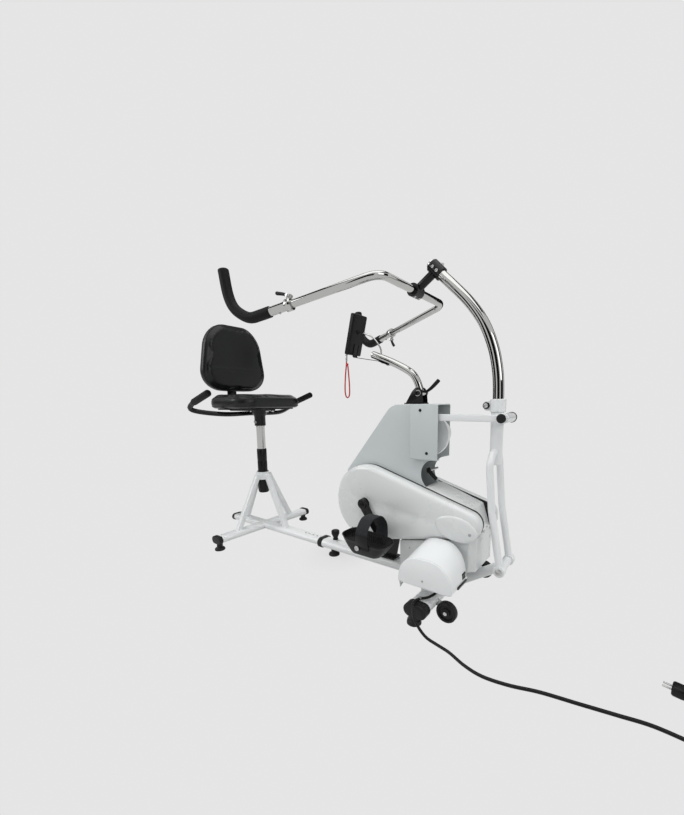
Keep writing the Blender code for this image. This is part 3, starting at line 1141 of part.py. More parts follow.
def mast():
    """The chrome console mast with its eye, and the strip under it that carries the console."""
    tube_piece = tube("mast", smooth(MAST_LINE, 0.024), MAST_R, 3)
    eye = rod("eye", MAST_PIVOT - Y * (CHEEK_Y - GAP), MAST_PIVOT + Y * (CHEEK_Y - GAP), 0.0150)
    slope = (MAST_LINE[-1] - MAST_LINE[-2]).normalized()
    under = Vector((slope.z, 0, -slope.x)) * -1
    rear = MAST_LINE[-2].lerp(MAST_LINE[-1], 0.10) + under * MAST_R
    front = MAST_LINE[-2].lerp(MAST_LINE[-1], 0.58) + under * MAST_R
    seat_line = CONSOLE_BACK_LOW + CONSOLE_BACK * (GAP + STRIP_T / 2)
    corner, head = seat_line - CONSOLE_UP * 0.006, seat_line + CONSOLE_UP * 0.042
    line = [(point.x, point.z) for point in (rear, front, corner, head)]
    strip = plate("strip", band(line, STRIP_T), "XZ", -0.014, 0.014)
    bore = rod("bore", MAST_PIVOT - Y * 0.05, MAST_PIVOT + Y * 0.05, 0.005 + RUNNING_GAP, 16)
    return cut(join(tube_piece, eye, strip), bore)


def console():
    """The console's case with a shallow screen recess, a button well and the safety key stub."""
    half = Vector((CONSOLE_T / 2, CONSOLE_W / 2, CONSOLE_H / 2))
    case = soften(box("console", -half, half), 0.004, 2)
    screen = box("screen", (-half.x - 0.01, -0.030, -0.010), (-half.x + 0.0015, 0.030, 0.060))
    well = rod("well", (-half.x - 0.01, 0, -0.048), (-half.x + 0.006, 0, -0.048), BUTTON_R + RUNNING_GAP, 20)
    key = rod("key", (-half.x + 0.006, -0.030, -half.z + 0.003), (-half.x + 0.006, -0.030, -half.z - 0.006), 0.004, 12)
    case = join(cut(case, screen, well), key)
    case.rotation_euler = (0, CONSOLE_TILT, 0)
    case.location = CONSOLE_CENTRE
    return case


def console_button():
    """The start and stop button in its well on the console's face."""
    face = CONSOLE_CENTRE - CONSOLE_BACK * (CONSOLE_T / 2) - CONSOLE_UP * 0.048
    return soften(rod("console_button", face - CONSOLE_BACK * 0.002, face + CONSOLE_BACK * 0.004, BUTTON_R, 16), 0.0006, 1)


def console_cable():
    """The cable from the hole near the mast's end to the console's back."""
    slope = (MAST_LINE[-1] - MAST_LINE[-2]).normalized()
    above = Vector((slope.z, 0, -slope.x))
    start = MAST_LINE[-2].lerp(MAST_LINE[-1], 0.62) + above * (MAST_R + 2 * RUNNING_GAP)
    end = CONSOLE_BACK_LOW + CONSOLE_UP * 0.088 + CONSOLE_BACK * RUNNING_GAP
    line = [start, start + Vector((-0.003, 0, 0.018)), Vector((0.714, 0, 0.886)), Vector((0.690, 0, 0.909))]
    return tube("console_cable", smooth(line + [end + CONSOLE_BACK * 0.020, end], 0.011), 0.00275, 1)


LANYARD_R = 0.0018


def safety_lanyard():
    """The red loop that hangs from the console's key."""
    stub = CONSOLE_CENTRE + CONSOLE_BACK * (-CONSOLE_T / 2 + 0.006) - CONSOLE_UP * (CONSOLE_H / 2 + 0.006)
    x, y, top = stub.x, -0.030, stub.z - 0.0009
    route = [
        Vector((x, y, top)),
        Vector((x - 0.001, y, top - 0.030)),
        Vector((x - 0.006, y - 0.006, top - 0.070)),
        Vector((x - 0.008, y - 0.008, top - 0.120)),
        Vector((x - 0.005, y - 0.006, top - 0.148)),
        Vector((x + 0.003, y, top - 0.158)),
        Vector((x + 0.010, y + 0.005, top - 0.146)),
        Vector((x + 0.012, y + 0.007, top - 0.110)),
        Vector((x + 0.009, y + 0.005, top - 0.070)),
        Vector((x + 0.005, y + 0.002, top - 0.036)),
    ]
    return tube("safety_lanyard", smooth(route, 0.012), LANYARD_R, 1)


def motor_hood():
    """The D-shaped hood over the motor: its vault grows from the near end to the far end."""

    def vault(width, height, middle, y, low, steps=12):
        ring = []
        for step in range(steps + 1):
            angle = math.pi * step / steps
            across = math.copysign(abs(math.cos(angle)) ** 0.75, math.cos(angle))
            ring.append(Vector((middle + across * width / 2, y, low + height * math.sin(angle) ** 0.88)))
        return ring

    def loft(name, one, two):
        bm = bmesh.new()
        rows = [[bm.verts.new(point) for point in row] for row in (one, two)]
        count = len(rows[0])
        for index in range(count):
            after = (index + 1) % count
            bm.faces.new((rows[0][index], rows[0][after], rows[1][after], rows[1][index]))
        bm.faces.new(rows[0])
        bm.faces.new(list(reversed(rows[1])))
        return mesh_piece(name, bm)

    low = PLATE_TOP_Z + GAP
    width, middle = HOOD_X1 - HOOD_X0, (HOOD_X0 + HOOD_X1) / 2
    wall = 0.0025
    near = vault(width, HOOD_NEAR_H, middle, HOOD_NEAR_Y, low)
    far = vault(width, HOOD_FAR_H, middle, HOOD_FAR_Y, low)
    hood = loft("motor_hood", near, far)
    near_in = vault(width - 2 * wall, HOOD_NEAR_H - wall + 0.01, middle, HOOD_NEAR_Y + wall, low - 0.01)
    far_in = vault(width - 2 * wall, HOOD_FAR_H - wall + 0.01, middle, HOOD_FAR_Y - wall, low - 0.01)
    hood = cut(hood, loft("inside", near_in, far_in))
    shaft_hole = rod("hole", (MOTOR_X, HOOD_FAR_Y - 0.01, MOTOR_Z), (MOTOR_X, HOOD_FAR_Y + 0.01, MOTOR_Z), 0.012)
    return cut(hood, shaft_hole, switch_block("well", RUNNING_GAP))


SWITCH_Y, SWITCH_Z = -0.128, 0.142


def switch_block(name, clearance):
    half = Vector((0.0035, 0.0110, 0.0075)) + Vector((0.006 if clearance else 0, clearance, clearance))
    centre = Vector((HOOD_X1 - 0.0005, SWITCH_Y, SWITCH_Z))
    return box(name, centre - half, centre + half)


def power_switch():
    """The rocker switch low on the hood's front side."""
    return soften(switch_block("power_switch", 0), 0.0008, 1)


GLAND_X, GLAND_Y = 1.056, -0.178
GLAND_LOW_Z = 0.1080
COIL_X, COIL_Y = 1.720, -0.205
COIL_STEP = 2 * CORD_R + 0.0008
COIL_INNER_R = COIL_R - COIL_STEP * COIL_TURNS / 4


def cord_gland():
    """The gland under the motor plate that the cord leaves through."""
    top = PLATE_TOP_Z - PLATE_THICK - GAP
    profile = [(0, top), (0.010, top), (0.010, top - 0.004), (0.0070, GLAND_LOW_Z), (0, GLAND_LOW_Z)]
    return turned("cord_gland", profile, (GLAND_X, GLAND_Y, 0), Z, 16)


CORD_ROUTE = [
    Vector((GLAND_X, GLAND_Y, GLAND_LOW_Z - GAP)),
    Vector((GLAND_X, GLAND_Y, 0.1020)),
    Vector((1.0545, -0.1795, 0.0920)),
    Vector((1.048, -0.186, 0.0840)),
    Vector((1.034, -0.200, 0.0765)),
    Vector((1.020, -0.214, 0.0758)),
    Vector((1.013, -0.232, 0.0765)),
    Vector((1.014, -0.252, 0.0772)),
    Vector((1.022, -0.271, 0.0690)),
    Vector((1.036, -0.283, 0.0500)),
    Vector((1.054, -0.288, 0.0300)),
    Vector((1.078, -0.290, 0.0130)),
    Vector((1.110, -0.290, 0.0052)),
    Vector((1.150, -0.299, CORD_R + 0.0002)),
    Vector((1.200, -0.321, CORD_R + 0.0002)),
    Vector((1.250, -0.331, CORD_R + 0.0002)),
    Vector((1.310, -0.322, CORD_R + 0.0002)),
    Vector((1.373, -0.302, CORD_R + 0.0002)),
    Vector((1.450, -0.287, CORD_R + 0.0002)),
    Vector((1.520, -0.273, CORD_R + 0.0002)),
    Vector((1.580, -0.262, CORD_R + 0.0002)),
    Vector((1.650, COIL_Y - COIL_INNER_R - COIL_STEP * COIL_TURNS / 2 - 0.001, CORD_R + 0.0002)),
    Vector((COIL_X - 2 * CORD_R - 0.0003, COIL_Y - COIL_INNER_R - COIL_STEP * COIL_TURNS / 2, CORD_R + 0.0002)),
]


def cord():
    """The mains cord's free stretch, from the gland to the coil."""
    line = smooth(CORD_ROUTE, CORD_STEP)
    line.insert(1, line[0] - Z * CORD_R)
    return tube("cord", line, CORD_R, 2)


def coil_line():
    """The coil's axis: half its turns spiral in on the floor, then the rest spiral out on top."""
    per_turn = 18
    low_z = CORD_R + 0.0002
    rise = 2 * CORD_R + 0.0010
    half_turns = COIL_TURNS / 2
    outer = COIL_INNER_R + COIL_STEP * half_turns
    points = [Vector((COIL_X - 2 * CORD_R, COIL_Y - outer, low_z))]
    count = round((COIL_TURNS + 0.5) * per_turn)
    for step in range(count + 1):
        turn = step / per_turn
        inward = min(turn, half_turns + 0.25)
        outward = max(0.0, turn - half_turns - 0.25)
        climb = min(max(turn - half_turns, 0.0) / 0.5, 1.0)
        radius = outer - COIL_STEP * inward + COIL_STEP * outward
        angle = -math.pi / 2 + 2 * math.pi * turn
        points.append(
            Vector((COIL_X + radius * math.cos(angle), COIL_Y + radius * math.sin(angle), low_z + rise * climb))
        )
    last = points[-1] - points[-2]
    for step in range(1, 4):
        points.append(points[-1] + last.normalized() * COIL_TAIL / 3)
    return points


def cord_coil():
    """The rest of the mains cord, coiled on the floor as one tube."""
    return tube("cord_coil", coil_line(), CORD_R, 1)


def cord_plug():
    """A plain plug on the coil's end, resting on the floor."""
    line = coil_line()
    along = (line[-1] - line[-2]).normalized()
    start = line[-1] + along * GAP
    half = start.z - 0.0002
    plug = rod("cord_plug", start, start + along * 0.012, CORD_R + 0.0020, 12)
    body = box("body", (-0.016, -half, 0), (0.016, half, 0.034))
    body.rotation_euler = along.to_track_quat("Z", "Y").to_euler()
    body.location = start + along * (0.010 + 0.017)
    bpy.context.view_layer.update()
    plug = join(plug, body)
    across = along.cross(Z)
    for side in (-1, 1):
        root = start + along * 0.043 + across * side * 0.0065
        plug = join(plug, rod("blade", root, root + along * 0.018, 0.0024, 12))
    return plug


def self_gap(line, radius, skip=8):
    """The least gap between stretches of one tube that aren't neighbours."""
    least = math.inf
    for index, here in enumerate(line):
        for there in line[index + skip :]:
            least = min(least, (here - there).length - 2 * radius)
    return least


def length(line):
    return sum((two - one).length for one, two in zip(line, line[1:]))


def pieces():
    """Every sub-part with its body and its material."""
    stand_near, stand_far, stand_rear = stand_ends()
    cap_near, cap_far = stabiliser_caps()
    cover_near = side_cover()
    cover_far = mirrored("side_cover_far", cover_near)
    tube_near, foam_near = grip_tube(), foam_grip()
    tube_far = mirrored("grip_tube_far", tube_near)
    foam_far = mirrored("foam_grip_far", foam_near)
    made = [
        (main_beam(), "base", "white_enamel"),
        (beam_foot(), "base", "black_rubber"),
        (front_frame(), "base", "white_enamel"),
        (cap_near, "base", "black_rubber"),
        (cap_far, "base", "black_rubber"),
        (rocker_pivot_bolt(), "base", "black_plastic"),
        (chassis(), "base", "steel"),
        (cover_near, "base", "cover_plastic"),
        (cover_far, "base", "cover_plastic"),
        (fin_shroud(), "base", "grey_enamel"),
        (base_casing(), "base", "cover_plastic"),
        (guard_box(), "base", "grey_enamel"),
        (motor(), "base", "steel"),
        (drive_belt(), "base", "black_rubber"),
        (motor_hood(), "base", "cover_plastic"),
        (mast_bracket(), "base", "black_plastic"),
        (cord_gland(), "base", "black_plastic"),
        (cord(), "base", "black_rubber"),
        (cord_coil(), "base", "black_rubber"),
        (cord_plug(), "base", "black_plastic"),
        (wheel("wheel_near", -1), "near_wheel", "black_rubber"),
        (wheel("wheel_far", 1), "far_wheel", "black_rubber"),
        (beam_lock_knob(), "beam_knob", "black_plastic"),
        (power_switch(), "switch", "black_plastic"),
        (crank_shaft(), "cranks", "steel"),
        (crank_arm("crank_arm_near", -1), "cranks", "black_plastic"),
        (crank_arm("crank_arm_far", 1), "cranks", "black_plastic"),
        (pedal("pedal_near", -1), "near_pedal", "black_plastic"),
        (pedal_strap("pedal_strap_near", -1), "near_pedal", "black_webbing"),
        (pedal("pedal_far", 1), "far_pedal", "black_plastic"),
        (pedal_strap("pedal_strap_far", 1), "far_pedal", "black_webbing"),
        (rocker_disc(), "disc", "white_enamel"),
        (rocker_fork(), "rocker", "white_enamel"),
        (push_rod(), "rod", "white_enamel"),
        (gooseneck(), "neck", "chrome"),
        (bar_stem(), "neck", "black_plastic"),
        (handlebar(), "bar", "chrome"),
        (tube_near, "near_grip", "chrome"),
        (foam_near, "near_grip", "black_rubber"),
        (tube_far, "far_grip", "chrome"),
        (foam_far, "far_grip", "black_rubber"),
        (clamp_lever("clamp_lever_near", -1), "near_lever", "black_plastic"),
        (clamp_lever("clamp_lever_far", 1), "far_lever", "black_plastic"),
        (mast(), "console_mast", "chrome"),
        (console(), "console_mast", "black_plastic"),
        (console_cable(), "console_mast", "beige_cable"),
        (safety_lanyard(), "console_mast", "red_cord"),
        (console_button(), "button", "black_plastic"),
        (mast_lever(), "ratchet", "black_plastic"),
        (stand_frame(), "stand", "white_enamel"),
        (stand_near, "stand", "black_rubber"),
        (stand_far, "stand", "black_rubber"),
        (stand_rear, "stand", "black_rubber"),
        (height_sleeve(), "stand", "black_plastic"),
        (lock_cone(), "cone", "black_plastic"),
        (seat_post(), "post", "chrome"),
        (seat_frame(), "seat", "black_plastic"),
        (seat_cushion(), "seat", "black_vinyl"),
        (back_cushion(), "seat", "black_vinyl"),
        (side_handles(), "seat", "black_rubber"),
    ]
    return made


def lever_pivot(side):
    up = Z * (1 if side < 0 else -1)
    return arm_point(LEVER_AT, side) + up * LEVER_LIFT


# Bodies: the parent body and the point that the body turns or slides about
BODIES = {
    "base": (None, Vector()),
    "near_wheel": ("base", Vector((WHEEL_X, -WHEEL_Y, WHEEL_Z))),
    "far_wheel": ("base", Vector((WHEEL_X, WHEEL_Y, WHEEL_Z))),
    "beam_knob": ("base", Vector((KNOB_X, 0, KNOB_LOW_Z))),
    "switch": ("base", Vector((HOOD_X1 - 0.0005, SWITCH_Y, SWITCH_Z))),
    "cranks": ("base", Vector((CRANK_X, 0, CRANK_Z))),
    "near_pedal": ("cranks", crank_tip(-1)),
    "far_pedal": ("cranks", crank_tip(1)),
    "disc": ("base", Vector((DISC_X, 0, DISC_Z))),
    "rocker": ("base", Vector((PIVOT_X, 0, PIVOT_Z))),
    "rod": ("rocker", Vector((ROD_PIN_X, 0, ROD_Z))),
    "neck": ("rocker", Vector((ARM_POST_X, 0, CLAMP_TOP_Z))),
    "bar": ("neck", Vector((BAR_X, 0, BAR_Z))),
    "near_grip": ("bar", arm_point(MOUTH_AT)),
    "far_grip": ("bar", arm_point(MOUTH_AT, 1)),
    "near_lever": ("near_grip", lever_pivot(-1)),
    "far_lever": ("far_grip", lever_pivot(1)),
    "console_mast": ("base", MAST_PIVOT),
    "button": ("console_mast", CONSOLE_CENTRE - CONSOLE_BACK * (CONSOLE_T / 2) - CONSOLE_UP * 0.048),
    "ratchet": ("base", MAST_PIVOT),
    "stand": ("base", Vector((BEAM_MOUTH_X, 0, BEAM_Z))),
    "cone": ("stand", Vector((0, 0, COLLAR_LOW_Z))),
    "post": ("stand", Vector((0, 0, COLLAR_TOP_Z))),
    "seat": ("post", Vector((0, 0, POST_TOP_Z))),
}


def assemble():
    """Make every piece and hang it on its body's empty, with the footprint centred."""
    empties = {}
    for name, (parent, pivot) in BODIES.items():
        empty = bpy.data.objects.new(f"body_{name}", None)
        BIKE.objects.link(empty)
        if parent is None:
            empty.location = Vector((-BIKE_MIDDLE_X, 0, 0))
        else:
            empty.parent = empties[parent]
            empty.location = pivot - BODIES[parent][1]
        empties[name] = empty
        print(f"body {name}: pivot {[round(value, 5) for value in pivot - X * BIKE_MIDDLE_X]}")
    for obj, body, finish in pieces():
        WORKSHOP.objects.unlink(obj)
        BIKE.objects.link(obj)
        obj.parent = empties[body]
        obj.location = obj.location - BODIES[body][1]
        obj.data.materials.clear()
        obj.data.materials.append(material(finish))
        obj.data.polygons.foreach_set("use_smooth", [True] * len(obj.data.polygons))
        obj.data.set_sharp_from_angle(angle=math.radians(35))
    bpy.context.view_layer.update()
    free, wound = length(smooth(CORD_ROUTE, CORD_STEP)), length(coil_line())
    print(f"mains cord: {free:.3f} m free, {wound:.3f} m coiled, coil self gap {self_gap(coil_line(), CORD_R) * 1000:.2f} mm")


clear_scene()
BIKE = collection("therapy_bike")
WORKSHOP = collection("cutters")
assemble()
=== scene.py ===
"""The looks of a motorized therapy bike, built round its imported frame.

Every mesh is written in the bike's working frame, in metres: X = 0 is the seat
post's axis, +X points to the rocking arm, -Y is the rider's right and the floor
is at Z = 0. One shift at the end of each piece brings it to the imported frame.
"""

from __future__ import annotations

import logging
import math
from collections.abc import Callable, Iterable, Sequence
from dataclasses import dataclass, field
from enum import Enum

import bmesh
import bpy
from mathutils import Matrix, Vector
from mathutils.bvhtree import BVHTree


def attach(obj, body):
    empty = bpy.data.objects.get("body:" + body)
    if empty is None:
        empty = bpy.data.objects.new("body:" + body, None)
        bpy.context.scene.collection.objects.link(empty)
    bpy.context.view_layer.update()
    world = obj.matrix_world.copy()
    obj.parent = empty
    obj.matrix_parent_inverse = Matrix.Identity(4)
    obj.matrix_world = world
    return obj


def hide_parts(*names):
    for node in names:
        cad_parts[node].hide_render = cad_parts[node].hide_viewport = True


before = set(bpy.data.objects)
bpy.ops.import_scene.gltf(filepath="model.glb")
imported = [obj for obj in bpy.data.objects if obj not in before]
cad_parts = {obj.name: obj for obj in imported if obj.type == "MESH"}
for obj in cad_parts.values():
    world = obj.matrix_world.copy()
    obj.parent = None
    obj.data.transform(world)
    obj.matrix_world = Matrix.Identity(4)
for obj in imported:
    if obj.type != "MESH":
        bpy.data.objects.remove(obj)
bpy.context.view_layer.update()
LOG = logging.getLogger("therapy_bike")
X, Y, Z = Vector((1, 0, 0)), Vector((0, 1, 0)), Vector((0, 0, 1))
SHIFT = Vector((-0.48385, 0, 0))
IMAGE_W, IMAGE_H = 684, 815
TINY = 1e-9
Outline = Sequence[tuple[float, float]]


class Side(Enum):
    """The rider's right, which faces the camera, and the rider's left."""

    NEAR = -1
    FAR = 1

    @property
    def word(self) -> str:
        """The side's name as it stands in node names."""
        return self.name.lower()


class Plane(Enum):
    """The plane that a flat outline is drawn in."""

    XY = "XY"
    XZ = "XZ"
    YZ = "YZ"

    def point(self, u: float, v: float, depth: float) -> Vector:
        """A point of the plane, lifted along its normal by depth."""
        places = {"XY": (u, v, depth), "XZ": (u, depth, v), "YZ": (depth, u, v)}
        return Vector(places[self.value])


class Grain(Enum):
    """The fine relief of a surface, and the node group that makes it."""

    ORANGE_PEEL = "orange_peel"
    MOULDED = "moulded"
    LEATHER = "leather"
    PORES = "pores"
    BRUSHED = "brushed"
    WEAVE = "weave"


# ---- node groups and finishes ----


class NodeTree:
    """A thin layer over a node tree that makes nodes and links them by name."""

    def __init__(self, tree: bpy.types.NodeTree) -> None:
        """Keeps the tree that nodes are added to."""
        self.tree = tree

    def add(self, kind: str, **inputs: object) -> bpy.types.Node:
        """Adds a node and sets its inputs, or links them where a socket is given.

        Args:
            kind: the node's type name.
            inputs: socket names with spaces as underscores; at_N is socket number N, and
                set_NAME is one of the node's own settings, which come first.

        Returns:
            The new node.
        """
        node = self.tree.nodes.new(kind)
        for name in [name for name in inputs if name.startswith("set_")]:
            setattr(node, name[4:], inputs.pop(name))
        for name, value in inputs.items():
            socket = node.inputs[int(name[3:])] if name.startswith("at_") else node.inputs[
                name.replace("_", " ")
            ]
            if isinstance(value, bpy.types.NodeSocket):
                self.tree.links.new(value, socket)
            else:
                socket.default_value = value
        return node

    def math(self, operation: str, one: object, two: object = 0.0) -> bpy.types.NodeSocket:
        """A Math node's output."""
        return self.add("ShaderNodeMath", set_operation=operation, at_0=one, at_1=two).outputs[0]

    def spread(self, value: bpy.types.NodeSocket, low: float, high: float) -> bpy.types.NodeSocket:
        """A value from 0 to 1 spread over low to high, held at both ends."""
        node = self.add("ShaderNodeMapRange", Value=value, To_Min=low, To_Max=high)
        return node.outputs["Result"]


def new_group(
    name: str, inputs: dict[str, float], outputs: Iterable[str]
) -> tuple[bpy.types.NodeTree, NodeTree]:
    """An empty shader node group with float inputs, and float or colour outputs.

    Args:
        name: the group's name.
        inputs: input names and their defaults; a 4-tuple default makes a colour.
        outputs: output names; one that ends in Colour is a colour.

    Returns:
        The group and its builder.
    """
    group = bpy.data.node_groups.new(name, "ShaderNodeTree")
    for title, default in inputs.items():
        kind = "NodeSocketColor" if isinstance(default, tuple) else "NodeSocketFloat"
        group.interface.new_socket(title, in_out="INPUT", socket_type=kind).default_value = default
    for title in outputs:
        kind = "NodeSocketColor" if title.endswith("Colour") else "NodeSocketFloat"
        group.interface.new_socket(title, in_out="OUTPUT", socket_type=kind)
    return group, NodeTree(group)


def new_relief(
    name: str, scale: float, coordinates: str = "Object"
) -> tuple[bpy.types.NodeTree, NodeTree, bpy.types.NodeSocket, bpy.types.NodeSocket]:
    """An empty relief group with a Scale input and a Height output.

    Args:
        name: the group's name.
        scale: the Scale input's default.
        coordinates: the texture coordinates that the relief follows.

    Returns:
        The group, its builder, and the sockets of its scale and its coordinates.
    """
    group, nodes = new_group(name, {"Scale": scale}, ("Height",))
    size = nodes.add("NodeGroupInput").outputs["Scale"]
    return group, nodes, size, nodes.add("ShaderNodeTexCoord").outputs[coordinates]


class ShaderLibrary:
    """The node groups that the finishes share, each built once."""

    def __init__(self) -> None:
        """Builds the wear group and one relief group for each grain."""
        self.wear = self._wear()
        self.relief = {
            Grain.ORANGE_PEEL: self._noise("orange_peel", 2.0, 0.35),
            Grain.MOULDED: self._noise("moulded", 5.0, 0.60),
            Grain.LEATHER: self._leather(),
            Grain.PORES: self._pores(),
            Grain.BRUSHED: self._brushed(),
            Grain.WEAVE: self._weave(),
        }

    def _wear(self) -> bpy.types.NodeTree:
        """Cloudy changes of colour and gloss, dust on what faces up, and small scuffs."""
        inputs = {"Base": (0.5, 0.5, 0.5, 1.0), "Dust": (0.5, 0.5, 0.5, 1.0), "Size": 9.0}
        inputs |= {"Cloud": 0.1, "Dusting": 0.1, "Gloss": 0.4, "Gloss Change": 0.1, "Scuffs": 0.2}
        group, nodes = new_group("handling_wear", inputs, ("Colour", "Roughness"))
        given = nodes.add("NodeGroupInput").outputs
        place = nodes.add("ShaderNodeTexCoord").outputs
        cloud = nodes.add(
            "ShaderNodeTexNoise", Vector=place["Object"], Scale=given["Size"], Detail=5.0, Roughness=0.6
        )
        fine = nodes.add("ShaderNodeTexNoise", Vector=place["Object"], Scale=140.0, Detail=3.0, Roughness=0.7)
        scuff = nodes.add(
            "ShaderNodeTexNoise", Vector=place["Object"], Scale=48.0, Detail=7.0, Roughness=0.75
        )
        marks = nodes.spread(
            nodes.math("SUBTRACT", nodes.math("MULTIPLY", scuff.outputs["Fac"], 4.0), 2.25), 0.0, 1.0
        )
        marks = nodes.math("MULTIPLY", marks, given["Scuffs"])
        lift = nodes.math("SUBTRACT", cloud.outputs["Fac"], 0.5)
        shade = nodes.math("ADD", 1.0, nodes.math("MULTIPLY", lift, given["Cloud"]))
        tone = nodes.add("ShaderNodeVectorMath", set_operation="SCALE", at_0=given["Base"], Scale=shade)
        facing = nodes.add("ShaderNodeSeparateXYZ", Vector=place["Normal"]).outputs["Z"]
        settled = nodes.math(
            "MULTIPLY", nodes.spread(facing, 0.0, 1.0), nodes.spread(fine.outputs["Fac"], 0.2, 1.2)
        )
        settled = nodes.math("MULTIPLY", settled, given["Dusting"])
        settled = nodes.math("MINIMUM", nodes.math("ADD", settled, nodes.math("MULTIPLY", marks, 0.35)), 1.0)
        mix = nodes.add(
            "ShaderNodeMix", set_data_type="RGBA", at_0=settled, at_6=tone.outputs[0], at_7=given["Dust"]
        )
        gloss = nodes.math("ADD", given["Gloss"], nodes.math("MULTIPLY", lift, given["Gloss Change"]))
        gloss = nodes.math("ADD", gloss, nodes.math("MULTIPLY", marks, 0.25))
        nodes.add("NodeGroupOutput", Colour=mix.outputs[2], Roughness=gloss)
        return group

    def _noise(self, name: str, detail: float, rough: float) -> bpy.types.NodeTree:
        """A relief of plain noise: powder coat's peel, or a moulding's fine texture."""
        group, nodes, size, place = new_relief(name, 600.0)
        noise = nodes.add("ShaderNodeTexNoise", Vector=place, Scale=size, Detail=detail, Roughness=rough)
        nodes.add("NodeGroupOutput", Height=noise.outputs["Fac"])
        return group

    def _leather(self) -> bpy.types.NodeTree:
        """Vinyl's pebbled cells with soft creases between them."""
        group, nodes, size, place = new_relief("leather", 420.0)
        cells = nodes.add(
            "ShaderNodeTexVoronoi", set_feature="SMOOTH_F1", Vector=place, Scale=size, Randomness=0.9
        )
        folds = nodes.add("ShaderNodeTexNoise", Vector=place, Scale=38.0, Detail=4.0, Roughness=0.55)
        pebbles = nodes.math("SUBTRACT", 1.0, nodes.math("MULTIPLY", cells.outputs["Distance"], 1.4))
        leather = nodes.math("MULTIPLY", pebbles, 0.45)
        total = nodes.math("ADD", leather, nodes.math("MULTIPLY", folds.outputs["Fac"], 0.9))
        nodes.add("NodeGroupOutput", Height=total)
        return group

    def _pores(self) -> bpy.types.NodeTree:
        """Foam and rubber: small pits over a slow swell."""
        group, nodes, size, place = new_relief("pores", 900.0)
        pits = nodes.add("ShaderNodeTexVoronoi", Vector=place, Scale=size, Randomness=1.0)
        swell = nodes.add("ShaderNodeTexNoise", Vector=place, Scale=90.0, Detail=3.0)
        pores = nodes.spread(pits.outputs["Distance"], 0.0, 0.7)
        total = nodes.math("ADD", pores, nodes.math("MULTIPLY", swell.outputs["Fac"], 0.5))
        nodes.add("NodeGroupOutput", Height=total)
        return group

    def _brushed(self) -> bpy.types.NodeTree:
        """Turning and drawing marks: noise stretched across the bike."""
        group, nodes, size, place = new_relief("brushed", 900.0)
        stretch = nodes.add("ShaderNodeMapping", Vector=place)
        stretch.inputs["Scale"].default_value = (1.0, 0.04, 1.0)
        noise = nodes.add(
            "ShaderNodeTexNoise", Vector=stretch.outputs[0], Scale=size, Detail=4.0, Roughness=0.6
        )
        nodes.add("NodeGroupOutput", Height=noise.outputs["Fac"])
        return group

    def _weave(self) -> bpy.types.NodeTree:
        """Webbing: warp and weft ribs along and across the piece's own UV map."""
        group, nodes, size, place = new_relief("weave", 600.0, "UV")
        apart = nodes.add("ShaderNodeSeparateXYZ", Vector=place).outputs
        turns = nodes.math("MULTIPLY", size, 2 * math.pi)
        warp = nodes.math("SINE", nodes.math("MULTIPLY", apart["X"], turns))
        weft = nodes.math("SINE", nodes.math("MULTIPLY", apart["Y"], turns))
        over = nodes.math("MULTIPLY", warp, weft)
        fuzz = nodes.add("ShaderNodeTexNoise", Vector=place, Scale=4000.0, Detail=2.0)
        total = nodes.math(
            "ADD", nodes.spread(over, 0.0, 1.0), nodes.math("MULTIPLY", fuzz.outputs["Fac"], 0.4)
        )
        nodes.add("NodeGroupOutput", Height=total)
        return group


def new_material(name: str) -> tuple[bpy.types.Material, NodeTree]:
    """An empty material and the builder of its nodes."""
    made = bpy.data.materials.new(name)
    made.use_nodes = True
    made.node_tree.nodes.clear()
    return made, NodeTree(made.node_tree)


@dataclass(frozen=True)
class Finish:
    """One finish: its colour, gloss, wear and relief, and the record's slot that it belongs to."""

    name: str
    slot: str
    colour: tuple[float, float, float]
    rough: float
    metal: float = 0.0
    coat: float = 0.0
    sheen: float = 0.0
    cloud: float = 0.10
    gloss_change: float = 0.12
    dusting: float = 0.06
    dust: tuple[float, float, float] = (0.55, 0.54, 0.52)
    scuffs: float = 0.15
    grain: Grain = Grain.MOULDED
    grain_scale: float = 900.0
    depth: float = 0.00008
    strength: float = 0.4
    specular: float = 0.5

    def material(self, library: ShaderLibrary) -> bpy.types.Material:
        """The finish as a material, made on the first call and found again after it.

        Args:
            library: the shared node groups.

        Returns:
            The material.
        """
        found = bpy.data.materials.get(self.name)
        if found:
            return found
        made, nodes = new_material(self.name)
        wear = nodes.add("ShaderNodeGroup")
        wear.node_tree = library.wear
        values = {
            "Base": (*self.colour, 1), "Dust": (*self.dust, 1), "Cloud": self.cloud, "Dusting": self.dusting
        }
        values |= {"Gloss": self.rough, "Gloss Change": self.gloss_change, "Scuffs": self.scuffs}
        for title, value in values.items():
            wear.inputs[title].default_value = value
        relief = nodes.add("ShaderNodeGroup")
        relief.node_tree = library.relief[self.grain]
        relief.inputs["Scale"].default_value = self.grain_scale
        bump = nodes.add(
            "ShaderNodeBump", Strength=self.strength, Distance=self.depth, Height=relief.outputs["Height"]
        )
        shader = nodes.add(
            "ShaderNodeBsdfPrincipled",
            Base_Color=wear.outputs["Colour"],
            Roughness=wear.outputs["Roughness"],
            Normal=bump.outputs["Normal"],
            Metallic=self.metal,
            Coat_Weight=self.coat,
            Coat_Roughness=0.12,
            Sheen_Weight=self.sheen,
            Sheen_Roughness=0.5,
            Specular_IOR_Level=self.specular,
        )
        nodes.add("ShaderNodeOutputMaterial", Surface=shader.outputs[0])
        return made


